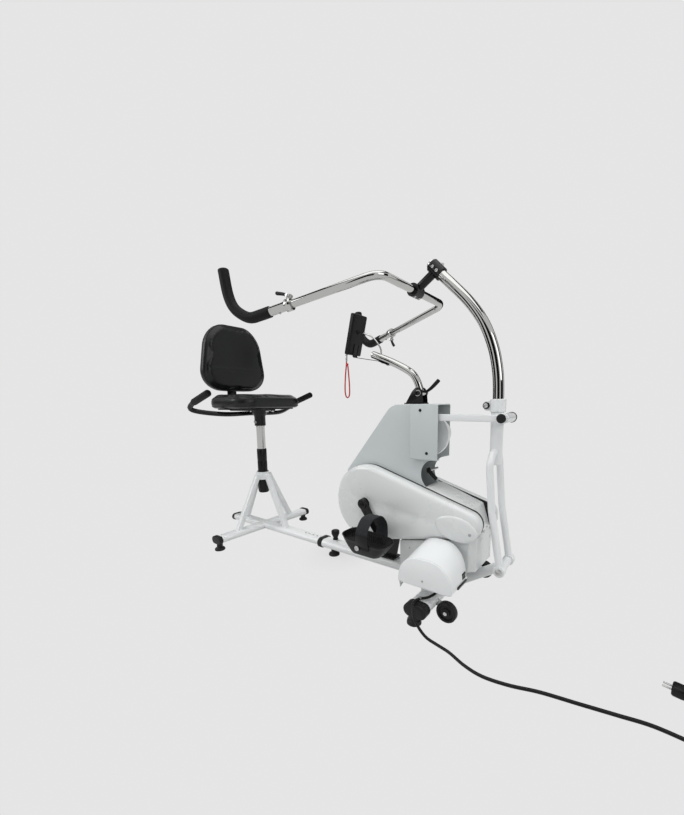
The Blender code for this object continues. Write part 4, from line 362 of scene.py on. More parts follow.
WHITE_STEEL = Finish(
    "white_powder_coat", "white_enamel", (0.85, 0.87, 0.87), 0.30, coat=0.35, cloud=0.05,
    grain=Grain.ORANGE_PEEL,
    grain_scale=420.0, depth=0.00010, strength=0.35, dust=(0.42, 0.40, 0.36), dusting=0.05,
)
WHITE_COVER = Finish(
    "white_moulding", "cover_plastic", (0.76, 0.78, 0.775), 0.28, coat=0.45, cloud=0.05,
    grain=Grain.ORANGE_PEEL,
    grain_scale=260.0, depth=0.00010, strength=0.25, dust=(0.45, 0.43, 0.40), dusting=0.04,
)
GREY_SHROUD = Finish(
    "grey_powder_coat", "grey_enamel", (0.59, 0.635, 0.635), 0.42, coat=0.15, cloud=0.06, grain=Grain.MOULDED,
    grain_scale=700.0, depth=0.00006, strength=0.4, dust=(0.62, 0.62, 0.60), dusting=0.10,
)
CHROME = Finish(
    "polished_chrome", "chrome", (0.52, 0.52, 0.505), 0.055, metal=1.0, cloud=0.05, gloss_change=0.10,
    dusting=0.02,
    scuffs=0.10, grain=Grain.MOULDED, grain_scale=60.0, depth=0.00002, strength=0.2,
)
ZINC = Finish(
    "zinc_plate", "steel", (0.56, 0.56, 0.55), 0.32, metal=1.0, gloss_change=0.2, dusting=0.05,
    grain=Grain.BRUSHED,
    grain_scale=900.0, depth=0.00005,
)
STEEL = Finish(
    "machined_steel", "steel", (0.42, 0.42, 0.44), 0.38, metal=1.0, gloss_change=0.2, grain=Grain.BRUSHED,
    grain_scale=1100.0, depth=0.00006,
)
BLACK_PLASTIC = Finish(
    "black_moulding", "black_plastic", (0.007, 0.007, 0.008), 0.34, specular=0.22, cloud=0.4,
    dusting=0.008, scuffs=0.02, grain=Grain.MOULDED,
    grain_scale=1100.0, depth=0.00012, strength=0.5,
)
BLACK_PAINT = Finish(
    "black_powder_coat", "black_plastic", (0.006, 0.006, 0.0065), 0.26, coat=0.08, specular=0.24,
    cloud=0.3, dusting=0.006, scuffs=0.02,
    grain=Grain.ORANGE_PEEL, grain_scale=500.0, depth=0.00010,
)
RUBBER = Finish(
    "moulded_rubber", "black_rubber", (0.009, 0.009, 0.0095), 0.50, specular=0.30, cloud=0.4,
    dusting=0.010, scuffs=0.02, grain=Grain.PORES,
    grain_scale=1300.0, depth=0.00010,
)
FOAM = Finish(
    "grip_foam", "black_rubber", (0.007, 0.007, 0.0075), 0.58, sheen=0.0, specular=0.20, cloud=0.3,
    dusting=0.006, scuffs=0.02,
    grain=Grain.PORES, grain_scale=1500.0, depth=0.00018, strength=0.6,
)
VINYL = Finish(
    "pebbled_vinyl", "black_vinyl", (0.0070, 0.0075, 0.0080), 0.32, sheen=0.0, specular=0.38, cloud=0.5,
    gloss_change=0.22,
    dusting=0.004, scuffs=0.01, grain=Grain.LEATHER, grain_scale=520.0, depth=0.00022, strength=0.55,
)
WEBBING = Finish(
    "woven_webbing", "black_webbing", (0.020, 0.022, 0.024), 0.72, sheen=0.04, specular=0.2, cloud=0.3,
    dusting=0.012, scuffs=0.02,
    grain=Grain.WEAVE, grain_scale=700.0, depth=0.00035, strength=0.8,
)
PEDAL = Finish(
    "pedal_moulding", "black_plastic", (0.007, 0.007, 0.0075), 0.46, specular=0.20, cloud=0.4,
    dusting=0.015, scuffs=0.03,
    grain=Grain.PORES, grain_scale=800.0, depth=0.00020, strength=0.6,
)
CORD_SHEATH = Finish(
    "cord_sheath", "black_rubber", (0.008, 0.008, 0.0085), 0.40, specular=0.22, cloud=0.4, dusting=0.012,
    scuffs=0.02, grain=Grain.PORES,
    grain_scale=900.0, depth=0.00008,
)
RED_CORD = Finish(
    "red_braid", "red_cord", (0.56, 0.010, 0.018), 0.62, sheen=0.3, cloud=0.25, dusting=0.0,
    grain=Grain.WEAVE,
    grain_scale=900.0, depth=0.00025, strength=0.8,
)
RED_PLASTIC = Finish("red_clip", "red_cord", (0.20, 0.004, 0.008), 0.35, grain=Grain.MOULDED)
SCREEN = Finish(
    "screen_lens", "black_plastic", (0.016, 0.020, 0.021), 0.08, coat=0.8, cloud=0.1, gloss_change=0.04,
    dusting=0.03,
    scuffs=0.05, grain=Grain.MOULDED, grain_scale=40.0, depth=0.00001, strength=0.1,
)
BELT = Finish("belt_rubber", "black_rubber", (0.014, 0.014, 0.014), 0.7, grain=Grain.BRUSHED, depth=0.0001)


# ---- outlines and lines ----


def arc(
    centre: tuple[float, float], radius: float, start: float, end: float, steps: int
) -> list[tuple[float, float]]:
    """Points of an arc, its angles in degrees."""
    points = []
    for step in range(steps + 1):
        angle = math.radians(start + (end - start) * step / steps)
        points.append((centre[0] + radius * math.cos(angle), centre[1] + radius * math.sin(angle)))
    return points


def stadium(
    centre: tuple[float, float], width: float, height: float, steps: int = 14
) -> list[tuple[float, float]]:
    """A flat-oval outline: a rectangle with round ends."""
    radius = height / 2
    reach = width / 2 - radius
    right = arc((centre[0] + reach, centre[1]), radius, -90, 90, steps)
    return right + arc((centre[0] - reach, centre[1]), radius, 90, 270, steps)


def oblong(width: float, height: float) -> list[tuple[float, float]]:
    """A plain rectangle round the middle."""
    u, v = width / 2, height / 2
    return [(-u, -v), (u, -v), (u, v), (-u, v)]


def ellipse(
    centre: tuple[float, float], width: float, height: float, lean: float = 0.0, steps: int = 48
) -> list[tuple[float, float]]:
    """An ellipse's outline, turned by lean degrees."""
    points = []
    turn = math.radians(lean)
    for step in range(steps):
        angle = 2 * math.pi * step / steps
        u, v = width / 2 * math.cos(angle), height / 2 * math.sin(angle)
        points.append(
            (
                centre[0] + u * math.cos(turn) - v * math.sin(turn),
                centre[1] + u * math.sin(turn) + v * math.cos(turn)
            )
        )
    return points


def rounded(corners: Outline, radius: float | Sequence[float], steps: int = 8) -> list[tuple[float, float]]:
    """An outline of straight sides with round corners.

    Args:
        corners: the sharp corners in order.
        radius: one radius for all corners, or one for each.
        steps: the number of segments in a corner.

    Returns:
        The rounded outline's points.
    """
    outline = []
    count = len(corners)
    radii = list(radius) if isinstance(radius, (list, tuple)) else [radius] * count
    for index, corner in enumerate(corners):
        here = Vector(corner)
        if radii[index] <= 0:
            outline.append(tuple(here))
            continue
        back = Vector(corners[index - 1]) - here
        ahead = Vector(corners[(index + 1) % count]) - here
        half = back.angle(ahead) / 2
        reach = min(radii[index] / math.tan(half), 0.49 * back.length, 0.49 * ahead.length)
        true_radius = reach * math.tan(half)
        towards = (back.normalized() + ahead.normalized()).normalized()
        centre = here + towards * (true_radius / math.sin(half))
        first = here + back.normalized() * reach - centre
        last = here + ahead.normalized() * reach - centre
        turn = first.angle_signed(last)
        for step in range(steps + 1):
            point = first.copy()
            point.rotate(Matrix.Rotation(-turn * step / steps, 2))
            outline.append(tuple(centre + point))
    return outline


def belt_outline(
    big: tuple[float, float, float], small: tuple[float, float, float], steps: int = 28
) -> list[tuple[float, float]]:
    """The outline of a belt round two circles, each given as (x, z, radius)."""
    (x1, z1, r1), (x2, z2, r2) = big, small
    base = math.degrees(math.atan2(z2 - z1, x2 - x1))
    lean = math.degrees(math.acos((r1 - r2) / math.hypot(x2 - x1, z2 - z1)))
    large = arc((x1, z1), r1, base + lean, base + 360 - lean, steps * 2)
    return large + arc((x2, z2), r2, base - lean, base + lean, steps)


def bent(corners: Sequence[Vector], radius: float, steps: int = 10) -> list[Vector]:
    """The centre line of a tube bent from straight runs, with arcs at its corners."""
    line = [corners[0].copy()]
    for before, here, after in zip(corners, corners[1:], corners[2:]):
        back, ahead = (before - here).normalized(), (after - here).normalized()
        half = back.angle(ahead) / 2
        reach = radius / math.tan(half)
        centre = here + (back + ahead).normalized() * (radius / math.sin(half))
        first, last = here + back * reach - centre, here + ahead * reach - centre
        whole = first.angle(last)
        for step in range(steps + 1):
            part = whole * step / steps
            line.append(centre + (first * math.sin(whole - part) + last * math.sin(part)) / math.sin(whole))
    return line + [corners[-1].copy()]


def smooth(points: Sequence[Vector], spacing: float) -> list[Vector]:
    """A smooth curve through points, read at an even spacing."""
    route = [point.copy() for point in points]
    route = [route[0] * 2 - route[1]] + route + [route[-1] * 2 - route[-2]]
    fine = []
    for a, b, c, d in zip(route, route[1:], route[2:], route[3:]):
        for step in range(16):
            t = step / 16
            square, cube = 2 * a - 5 * b + 4 * c - d, 3 * b - 3 * c + d - a
            fine.append(0.5 * (2 * b + (c - a) * t + square * t**2 + cube * t**3))
    fine.append(route[-2])
    lengths = [0.0]
    for one, two in zip(fine, fine[1:]):
        lengths.append(lengths[-1] + (two - one).length)
    count = max(2, round(lengths[-1] / spacing) + 1)
    even, after = [], 1
    for number in range(count):
        wanted = lengths[-1] * number / (count - 1)
        while after < len(fine) - 1 and lengths[after] < wanted:
            after += 1
        span = lengths[after] - lengths[after - 1]
        even.append(fine[after - 1].lerp(fine[after], (wanted - lengths[after - 1]) / span if span else 0.0))
    return even


def line_length(line: Sequence[Vector]) -> float:
    """The length of a line of points."""
    return sum((two - one).length for one, two in zip(line, line[1:]))


def boxy(share: float, power: float) -> float:
    """A sine or cosine bent towards a box's corner by a power below one."""
    return math.copysign(abs(share) ** power, share)


def mirror_point(point: Vector) -> Vector:
    """A near-side point's place on the far side."""
    return Vector((point.x, -point.y, point.z))


# ---- meshes ----


def linked(name: str, data: bpy.types.ID) -> bpy.types.Object:
    """A new object of the scene that holds a mesh, a lamp or a camera."""
    obj = bpy.data.objects.new(name, data)
    bpy.context.scene.collection.objects.link(obj)
    return obj


def object_from(bm: bmesh.types.BMesh, name: str) -> bpy.types.Object:
    """A new object that holds a bmesh, with its normals pointing out."""
    bmesh.ops.recalc_face_normals(bm, faces=bm.faces)
    mesh = bpy.data.meshes.new(name)
    bm.to_mesh(mesh)
    bm.free()
    return linked(name, mesh)


def drop(*objs: bpy.types.Object) -> None:
    """Removes objects with their meshes."""
    for obj in objs:
        mesh = obj.data
        bpy.data.objects.remove(obj)
        if mesh is not None and mesh.users == 0:
            bpy.data.meshes.remove(mesh)


def bake(obj: bpy.types.Object) -> bpy.types.Object:
    """Puts an object's modifiers into its mesh and clears them."""
    graph = bpy.context.evaluated_depsgraph_get()
    made = bpy.data.meshes.new_from_object(
        obj.evaluated_get(graph), preserve_all_data_layers=True, depsgraph=graph
    )
    old = obj.data
    obj.modifiers.clear()
    obj.data = made
    if old.users == 0:
        bpy.data.meshes.remove(old)
    return obj


def place(obj: bpy.types.Object, matrix: Matrix) -> bpy.types.Object:
    """Moves an object's mesh by a matrix; the object itself stays at the origin."""
    obj.data.transform(matrix)
    if matrix.is_negative:
        obj.data.flip_normals()
    return obj


def moved(obj: bpy.types.Object, offset: Vector) -> bpy.types.Object:
    """Moves an object's mesh by an offset."""
    return place(obj, Matrix.Translation(offset))


def mirrored(obj: bpy.types.Object, name: str) -> bpy.types.Object:
    """A copy of a near-side mesh for the far side.

    Args:
        obj: the near-side object.
        name: the copy's name.

    Returns:
        The copy, with its own mesh, mirrored in Y.
    """
    copy = linked(name, obj.data.copy())
    copy.data.transform(Matrix.Diagonal((1, -1, 1, 1)))
    copy.data.flip_normals()
    return copy


def merged(objs: Sequence[bpy.types.Object], name: str) -> bpy.types.Object:
    """One object from several, whose meshes stay separate shells.

    Args:
        objs: the objects, which are removed.
        name: the new object's name.

    Returns:
        The merged object, with all its materials kept.
    """
    bm = bmesh.new()
    bm.loops.layers.uv.new("UVMap")
    finishes: list[bpy.types.Material] = []
    for obj in objs:
        numbers = []
        for slot in obj.material_slots:
            if slot.material not in finishes:
                finishes.append(slot.material)
            numbers.append(finishes.index(slot.material))
        first = len(bm.faces)
        bm.from_mesh(obj.data)
        bm.faces.ensure_lookup_table()
        for face in bm.faces[first:]:
            face.material_index = numbers[min(face.material_index, len(numbers) - 1)] if numbers else 0
    mesh = bpy.data.meshes.new(name)
    bm.to_mesh(mesh)
    bm.free()
    made = linked(name, mesh)
    for finish in finishes:
        mesh.materials.append(finish)
    drop(*objs)
    return made


def paint(obj: bpy.types.Object, material: bpy.types.Material) -> bpy.types.Object:
    """Gives all of an object one material."""
    obj.data.materials.clear()
    obj.data.materials.append(material)
    for polygon in obj.data.polygons:
        polygon.material_index = 0
    return obj


def shade(obj: bpy.types.Object, angle: float = 40.0) -> bpy.types.Object:
    """Smooth shading with sharp edges above an angle, kept in the mesh."""
    mesh = obj.data
    bm = bmesh.new()
    bm.from_mesh(mesh)
    limit = math.radians(angle)
    for face in bm.faces:
        face.smooth = True
    for edge in bm.edges:
        edge.smooth = len(edge.link_faces) == 2 and edge.calc_face_angle(0.0) < limit
    bm.to_mesh(mesh)
    bm.free()
    return obj


def prism(
    name: str, outline: Outline, plane: Plane, low: float, high: float, bevel: float = 0.0, steps: int = 3
) -> bpy.types.Object:
    """A flat outline given a thickness, with a bevel round both faces.

    Args:
        name: the object's name.
        outline: the outline's points, in the plane's two directions.
        plane: the plane that the outline is drawn in.
        low: the near face's place along the normal.
        high: the far face's place.
        bevel: the bevel's width; 0 leaves the edges sharp.
        steps: the bevel's segments.

    Returns:
        The object.
    """
    bm = bmesh.new()
    lower = [bm.verts.new(plane.point(u, v, low)) for u, v in outline]
    upper = [bm.verts.new(plane.point(u, v, high)) for u, v in outline]
    caps = [bm.faces.new(lower), bm.faces.new(list(reversed(upper)))]
    count = len(outline)
    for index in range(count):
        after = (index + 1) % count
        bm.faces.new((lower[after], lower[index], upper[index], upper[after]))
    bmesh.ops.recalc_face_normals(bm, faces=bm.faces)
    if bevel:
        rims = {edge for face in caps for edge in face.edges}
        bmesh.ops.bevel(
            bm, geom=list(rims), offset=bevel, segments=steps, affect="EDGES", profile=0.5, clamp_overlap=True
        )
    bmesh.ops.triangulate(bm, faces=[face for face in bm.faces if len(face.verts) > 4])
    return object_from(bm, name)


def block(
    name: str, low: Sequence[float], high: Sequence[float], bevel: float = 0.0015, steps: int = 3
) -> bpy.types.Object:
    """A solid block between two corners with every edge rounded."""
    bm = bmesh.new()
    bmesh.ops.create_cube(bm, size=1.0)
    size = Vector(high) - Vector(low)
    bmesh.ops.transform(
        bm, matrix=Matrix.Translation((Vector(low) + Vector(high)) / 2) @ Matrix.Diagonal((*size, 1)),
        verts=bm.verts
    )
    if bevel:
        bmesh.ops.bevel(bm, geom=bm.edges[:], offset=bevel, segments=steps, affect="EDGES", profile=0.5)
    return object_from(bm, name)


def soften(obj: bpy.types.Object, width: float, steps: int = 3, angle: float = 30.0) -> bpy.types.Object:
    """Rounds an object's sharp edges."""
    bevel = obj.modifiers.new("soften", "BEVEL")
    bevel.width = width
    bevel.segments = steps
    bevel.limit_method = "ANGLE"
    bevel.angle_limit = math.radians(angle)
    bevel.harden_normals = False
    return bake(obj)


def carve(obj: bpy.types.Object, *tools: bpy.types.Object) -> bpy.types.Object:
    """Cuts tools out of an object; the tools are removed."""
    for tool in tools:
        boolean = obj.modifiers.new("carve", "BOOLEAN")
        boolean.operation = "DIFFERENCE"
        boolean.solver = "EXACT"
        boolean.object = tool
        bake(obj)
    drop(*tools)
    return obj


def frame_along(direction: Vector, seed: Vector | None = None) -> tuple[Vector, Vector]:
    """Two unit vectors at right angles to a direction, the first as near the seed as it can be."""
    seed = seed or (Z if abs(direction.dot(Z)) < 0.9 else X)
    side = (seed - direction * seed.dot(direction)).normalized()
    return side, direction.cross(side).normalized()


def swept(
    name: str,
    line: Sequence[Vector],
    section: Outline | float,
    around: int = 24,
    ends: float = 0.0,
    up: Vector | None = None,
    profile: Callable[[float], float] | None = None,
) -> bpy.types.Object:
    """A closed sweep of a section along a line, without twist, with a UV map in metres.

    Args:
        name: the object's name.
        line: the centre line.
        section: a radius, or the section's outline as (across, up) points.
        around: the number of points round a circular section.
        ends: how far the ends are rounded over.
        up: the direction that the section's second axis follows.
        profile: scales the section by the share of the way along.

    Returns:
        The object.
    """
    if isinstance(section, (int, float)):
        section = [(point.x, point.y) for point in circle(Vector((0, 0, 0)), section, around)]
    width = max(abs(u) for u, _ in section)
    total = line_length(line)
    stations: list[tuple[float, float]] = []
    at = 0.0
    for index, point in enumerate(line):
        if index:
            at += (point - line[index - 1]).length
        stations.append((at, 1.0))
    if ends:
        turns = [math.radians(degrees) for degrees in (0, 30, 60, 90)]
        extra = [(ends * (1 - math.cos(turn)), 1 - (1 - math.sin(turn)) * ends / width) for turn in turns]
        inside = [(a, s) for a, s in stations if ends * 1.05 < a < total - ends * 1.05]
        stations = extra + inside + [(total - a, s) for a, s in reversed(extra)]

    tangents = [
        (line[min(i + 1, len(line) - 1)] - line[max(i - 1, 0)]).normalized() for i in range(len(line))
    ]

    def read(distance: float) -> tuple[Vector, Vector]:
        """The line's point and direction at a distance along it."""
        walked = 0.0
        for index, (one, two) in enumerate(zip(line, line[1:])):
            span = (two - one).length
            if walked + span >= distance - TINY:
                share = max(0.0, min(1.0, (distance - walked) / span))
                return one.lerp(two, share), tangents[index].lerp(tangents[index + 1], share).normalized()
            walked += span
        return line[-1].copy(), tangents[-1]

    bm = bmesh.new()
    side, lift = frame_along(tangents[0], up)
    rings = []
    previous = tangents[0]
    for distance, scale in stations:
        point, direction = read(distance)
        if up is not None:
            side, lift = frame_along(direction, up)
        else:
            turn = previous.rotation_difference(direction)
            side.rotate(turn)
            side, lift = frame_along(direction, side)
        previous = direction
        scale *= profile(distance / total) if profile else 1.0
        first, second = (lift, side) if up is not None else (side, lift)
        rings.append([bm.verts.new(point + first * (u * scale) + second * (v * scale)) for u, v in section])
    count = len(section)
    uv = bm.loops.layers.uv.new("UVMap")
    lengths = [0.0]
    for index in range(count):
        lengths.append(lengths[-1] + (Vector(section[(index + 1) % count]) - Vector(section[index])).length)
    for row, (low, high) in enumerate(zip(rings, rings[1:])):
        for index in range(count):
            after = (index + 1) % count
            face = bm.faces.new((low[index], low[after], high[after], high[index]))
            marks = [(row, index), (row, index + 1), (row + 1, index + 1), (row + 1, index)]
            for loop, (r, c) in zip(face.loops, marks):
                loop[uv].uv = (stations[r][0], lengths[c])
    bm.faces.new(list(reversed(rings[0])))
    bm.faces.new(rings[-1])
    return object_from(bm, name)


def rod(
    name: str, start: Sequence[float], end: Sequence[float], radius: float, bevel: float = 0.0008,
    around: int = 32
) -> bpy.types.Object:
    """A round bar between two points with its end edges rounded."""
    start, end = Vector(start), Vector(end)
    return turned(
        name, round_ends(radius, (end - start).length, bevel), start, (end - start).normalized(), around
    )


def round_ends(radius: float, length: float, bevel: float) -> list[tuple[float, float]]:
    """A lathe profile of a plain bar, its edges rounded by bevel."""
    if not bevel:
        return [(0, 0), (radius, 0), (radius, length), (0, length)]
    low = [(radius - bevel + bevel * math.sin(a), bevel - bevel * math.cos(a)) for a in (0, 0.52, 1.05, 1.57)]
    return [(0, 0)] + low + [(r, length - h) for r, h in reversed(low)] + [(0, length)]


def turned(
    name: str, profile: Sequence[tuple[float, float]], place_at: Sequence[float], axis: Vector = Z,
    around: int = 48
) -> bpy.types.Object:
    """A lathe piece.

    Args:
        name: the object's name.
        profile: (radius, height) points; an open profile starts and ends on the axis, else it is closed.
        place_at: the origin of the heights.
        axis: the direction of the heights.
        around: the segments round the axis.

    Returns:
        The object.
    """
    side, lift = frame_along(axis)
    origin = Vector(place_at)
    bm = bmesh.new()
    closed = profile[0][0] > TINY or profile[-1][0] > TINY
    rings = []
    for radius, height in profile:
        centre = origin + axis * height
        if radius < TINY:
            rings.append([bm.verts.new(centre)])
            continue
        rings.append([bm.verts.new(point) for point in circle(centre, radius, around, side, lift)])
    pairs = list(zip(rings, rings[1:])) + ([(rings[-1], rings[0])] if closed else [])
    for low, high in pairs:
        for index in range(around):
            after = (index + 1) % around
            corners = [
                low[index % len(low)], low[after % len(low)], high[after % len(high)], high[index % len(high)]
            ]
            unique = list(dict.fromkeys(corners))
            if len(unique) > 2:
                bm.faces.new(unique)
    return object_from(bm, name)


def tube_profile(
    bore: float, radius: float, low: float, high: float, edge: float
) -> list[tuple[float, float]]:
    """A lathe profile of a ring whose outer edges are broken."""
    outside = [(radius - edge, low), (radius, low + edge), (radius, high - edge), (radius - edge, high)]
    return [(bore, low)] + outside + [(bore, high)]


def drill(
    radius: float, low: float, high: float, at: Sequence[float], axis: Vector, around: int
) -> bpy.types.Object:
    """A plain round tool to carve a hole with, from low to high along its axis."""
    return turned("drill", [(0, low), (radius, low), (radius, high), (0, high)], at, axis, around)


def circle(centre: Vector, radius: float, count: int, across: Vector = X, up: Vector = Y) -> list[Vector]:
    """Points round a circle, the last one short of the first."""
    turns = [math.tau * number / count for number in range(count)]
    return [centre + across * (radius * math.cos(turn)) + up * (radius * math.sin(turn)) for turn in turns]


def loft(name: str, rings: Sequence[Sequence[Vector]]) -> bpy.types.Object:
    """A skin through rings of equal counts, closed at both ends."""
    bm = bmesh.new()
    rows = [[bm.verts.new(point) for point in ring] for ring in rings]
    count = len(rows[0])
    for low, high in zip(rows, rows[1:]):
        for index in range(count):
            after = (index + 1) % count
            bm.faces.new((low[index], low[after], high[after], high[index]))
    bm.faces.new(list(reversed(rows[0])))
    bm.faces.new(rows[-1])
    return object_from(bm, name)


def subdivided(obj: bpy.types.Object, levels: int) -> bpy.types.Object:
    """Smooths a cage by subdivision, kept in the mesh."""
    smoothing = obj.modifiers.new("smooth", "SUBSURF")
    smoothing.levels = levels
    smoothing.render_levels = levels
    return bake(obj)


def hex_bolt(name: str, at: Vector, axis: Vector, across: float, height: float) -> bpy.types.Object:
    """A hexagon head on a thin washer, its corners turned down."""
    side, lift = frame_along(axis)
    washer_t = 0.0012
    rings = []
    for share, level in ((0.62, 0), (0.62, height * 0.72), (0.54, height), (0.20, height)):
        radius = across * share
        rings.append(circle(at + axis * (level + washer_t), radius, 6, side, lift))
    head = loft(name, rings)
    washer = turned("washer", round_ends(across * 0.80, washer_t, 0.0003), at, axis, 28)
    return merged([head, washer], name)


def socket_bolt(name: str, at: Vector, axis: Vector, radius: float, height: float) -> bpy.types.Object:
    """A round head with a hexagon socket sunk into it."""
    profile = [
        (0, 0), (radius * 0.92, 0), (radius, height * 0.25), (radius, height * 0.80), (radius * 0.86, height)
    ]
    profile += [(radius * 0.56, height), (radius * 0.50, height * 0.92), (radius * 0.50, height * 0.35)]
    profile.append((0, height * 0.30))
    return turned(name, profile, at, axis, 28)


# ---- repeats made with Geometry Nodes ----


def row_tree() -> bpy.types.NodeTree:
    """Equal parts set along a path at an even pitch, turned to follow it.

    Returns:
        The node tree. Its inputs are Part, Pitch and Finish.
    """
    tree = bpy.data.node_groups.new("row_along_path", "GeometryNodeTree")
    face = tree.interface
    face.new_socket("Geometry", in_out="INPUT", socket_type="NodeSocketGeometry")
    face.new_socket("Part", in_out="INPUT", socket_type="NodeSocketObject")
    face.new_socket("Pitch", in_out="INPUT", socket_type="NodeSocketFloat").default_value = 0.006
    face.new_socket("Finish", in_out="INPUT", socket_type="NodeSocketMaterial")
    face.new_socket("Geometry", in_out="OUTPUT", socket_type="NodeSocketGeometry")
    nodes = NodeTree(tree)
    given = nodes.add("NodeGroupInput").outputs
    path = nodes.add("GeometryNodeMeshToCurve", Mesh=given["Geometry"])
    spots = nodes.add(
        "GeometryNodeCurveToPoints", set_mode="LENGTH", Curve=path.outputs[0], Length=given["Pitch"]
    )
    part = nodes.add("GeometryNodeObjectInfo", Object=given["Part"])
    copies = nodes.add(
        "GeometryNodeInstanceOnPoints",
        Points=spots.outputs[0],
        Instance=part.outputs["Geometry"],
        Rotation=spots.outputs["Rotation"],
    )
    solid = nodes.add("GeometryNodeRealizeInstances", Geometry=copies.outputs[0])
    dressed = nodes.add("GeometryNodeSetMaterial", Geometry=solid.outputs[0], Material=given["Finish"])
    nodes.add("NodeGroupOutput", Geometry=dressed.outputs[0])
    return tree


class Kit:
    """What every sub-assembly shares: the materials, the row tree and the way a piece is finished."""

    def __init__(self) -> None:
        """Builds the node groups and the row tree once."""
        self.library = ShaderLibrary()
        self.rows = row_tree()

    def material(self, finish: Finish) -> bpy.types.Material:
        """The material of a finish."""
        return finish.material(self.library)

    def dress(self, obj: bpy.types.Object, finish: Finish) -> bpy.types.Object:
        """Gives a mesh its finish, before it is merged with others."""
        return paint(obj, self.material(finish))

    def row(
        self,
        name: str,
        path: Sequence[Vector],
        part: bpy.types.Object,
        pitch: float,
        finish: Finish,
        closed: bool = False,
    ) -> bpy.types.Object:
        """Copies a small part along a path with the row tree and bakes the result.

        Args:
            name: the object's name.
            path: the path's points.
            part: the part, modelled at the origin with the path's direction along Z; it is removed.
            pitch: the distance between copies.
            finish: the copies' finish.
            closed: whether the path joins its start.

        Returns:
            The baked object.
        """
        mesh = bpy.data.meshes.new(name)
        count = len(path)
        edges = [(k, k + 1) for k in range(count - 1)] + ([(count - 1, 0)] if closed else [])
        mesh.from_pydata([tuple(point) for point in path], edges, [])
        made = linked(name, mesh)
        modifier = made.modifiers.new("row", "NODES")
        modifier.node_group = self.rows
        values = {"Part": part, "Pitch": pitch, "Finish": self.material(finish)}
        for item in self.rows.interface.items_tree:
            if item.in_out == "INPUT" and item.name in values:
                modifier[item.identifier] = values[item.name]
        bake(made)
        drop(part)
        return self.dress(made, finish)

    def piece(
        self,
        obj: bpy.types.Object,
        body: str,
        finish: Finish | None = None,
        *nodes: str,
        angle: float = 40.0,
        sharp: bool = True,
    ) -> bpy.types.Object:
        """Finishes a piece: its place in the frame, shading, finish, body and the nodes it stands for.

        Args:
            obj: the mesh in the working frame.
            body: the body that it rides on.
            finish: its finish, or None where it already has its materials.
            nodes: the CAD nodes that it replaces.
            angle: edges sharper than this stay sharp.
            sharp: False smooths every edge.

        Returns:
            The object.
        """
        if finish:
            self.dress(obj, finish)
        shade(obj, angle if sharp else 180.0)
        moved(obj, SHIFT)
        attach(obj, body)
        if nodes:
            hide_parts(*nodes)
        LOG.info("%s on %s: %d faces", obj.name, body, len(obj.data.polygons))
        return obj

    def join(
        self,
        parts: Sequence[bpy.types.Object],
        name: str,
        body: str,
        finish: Finish,
        *nodes: str,
        angle: float = 35.0,
    ) -> bpy.types.Object:
        """Merges parts that have their finishes into one piece.

        Args:
            parts: the dressed parts.
            name: the piece's name.
            body: the body that it rides on.
            finish: the main finish; not used.
            nodes: the CAD nodes that it replaces.
            angle: edges sharper than this stay sharp.

        Returns:
            The piece.
        """
        made = self.piece(merged(parts, name), body, None, *nodes, angle=angle)
        return made

    def keep(self, finish: Finish, *names: str) -> None:
        """Gives CAD nodes that stay their finish."""
        for name in names:
            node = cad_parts[name]
            material = self.material(finish)
            if not node.material_slots:
                node.data.materials.append(material)
            for slot in node.material_slots:
                slot.material = material
            LOG.info("%s keeps its CAD shape", name)


# ---- the studio ----


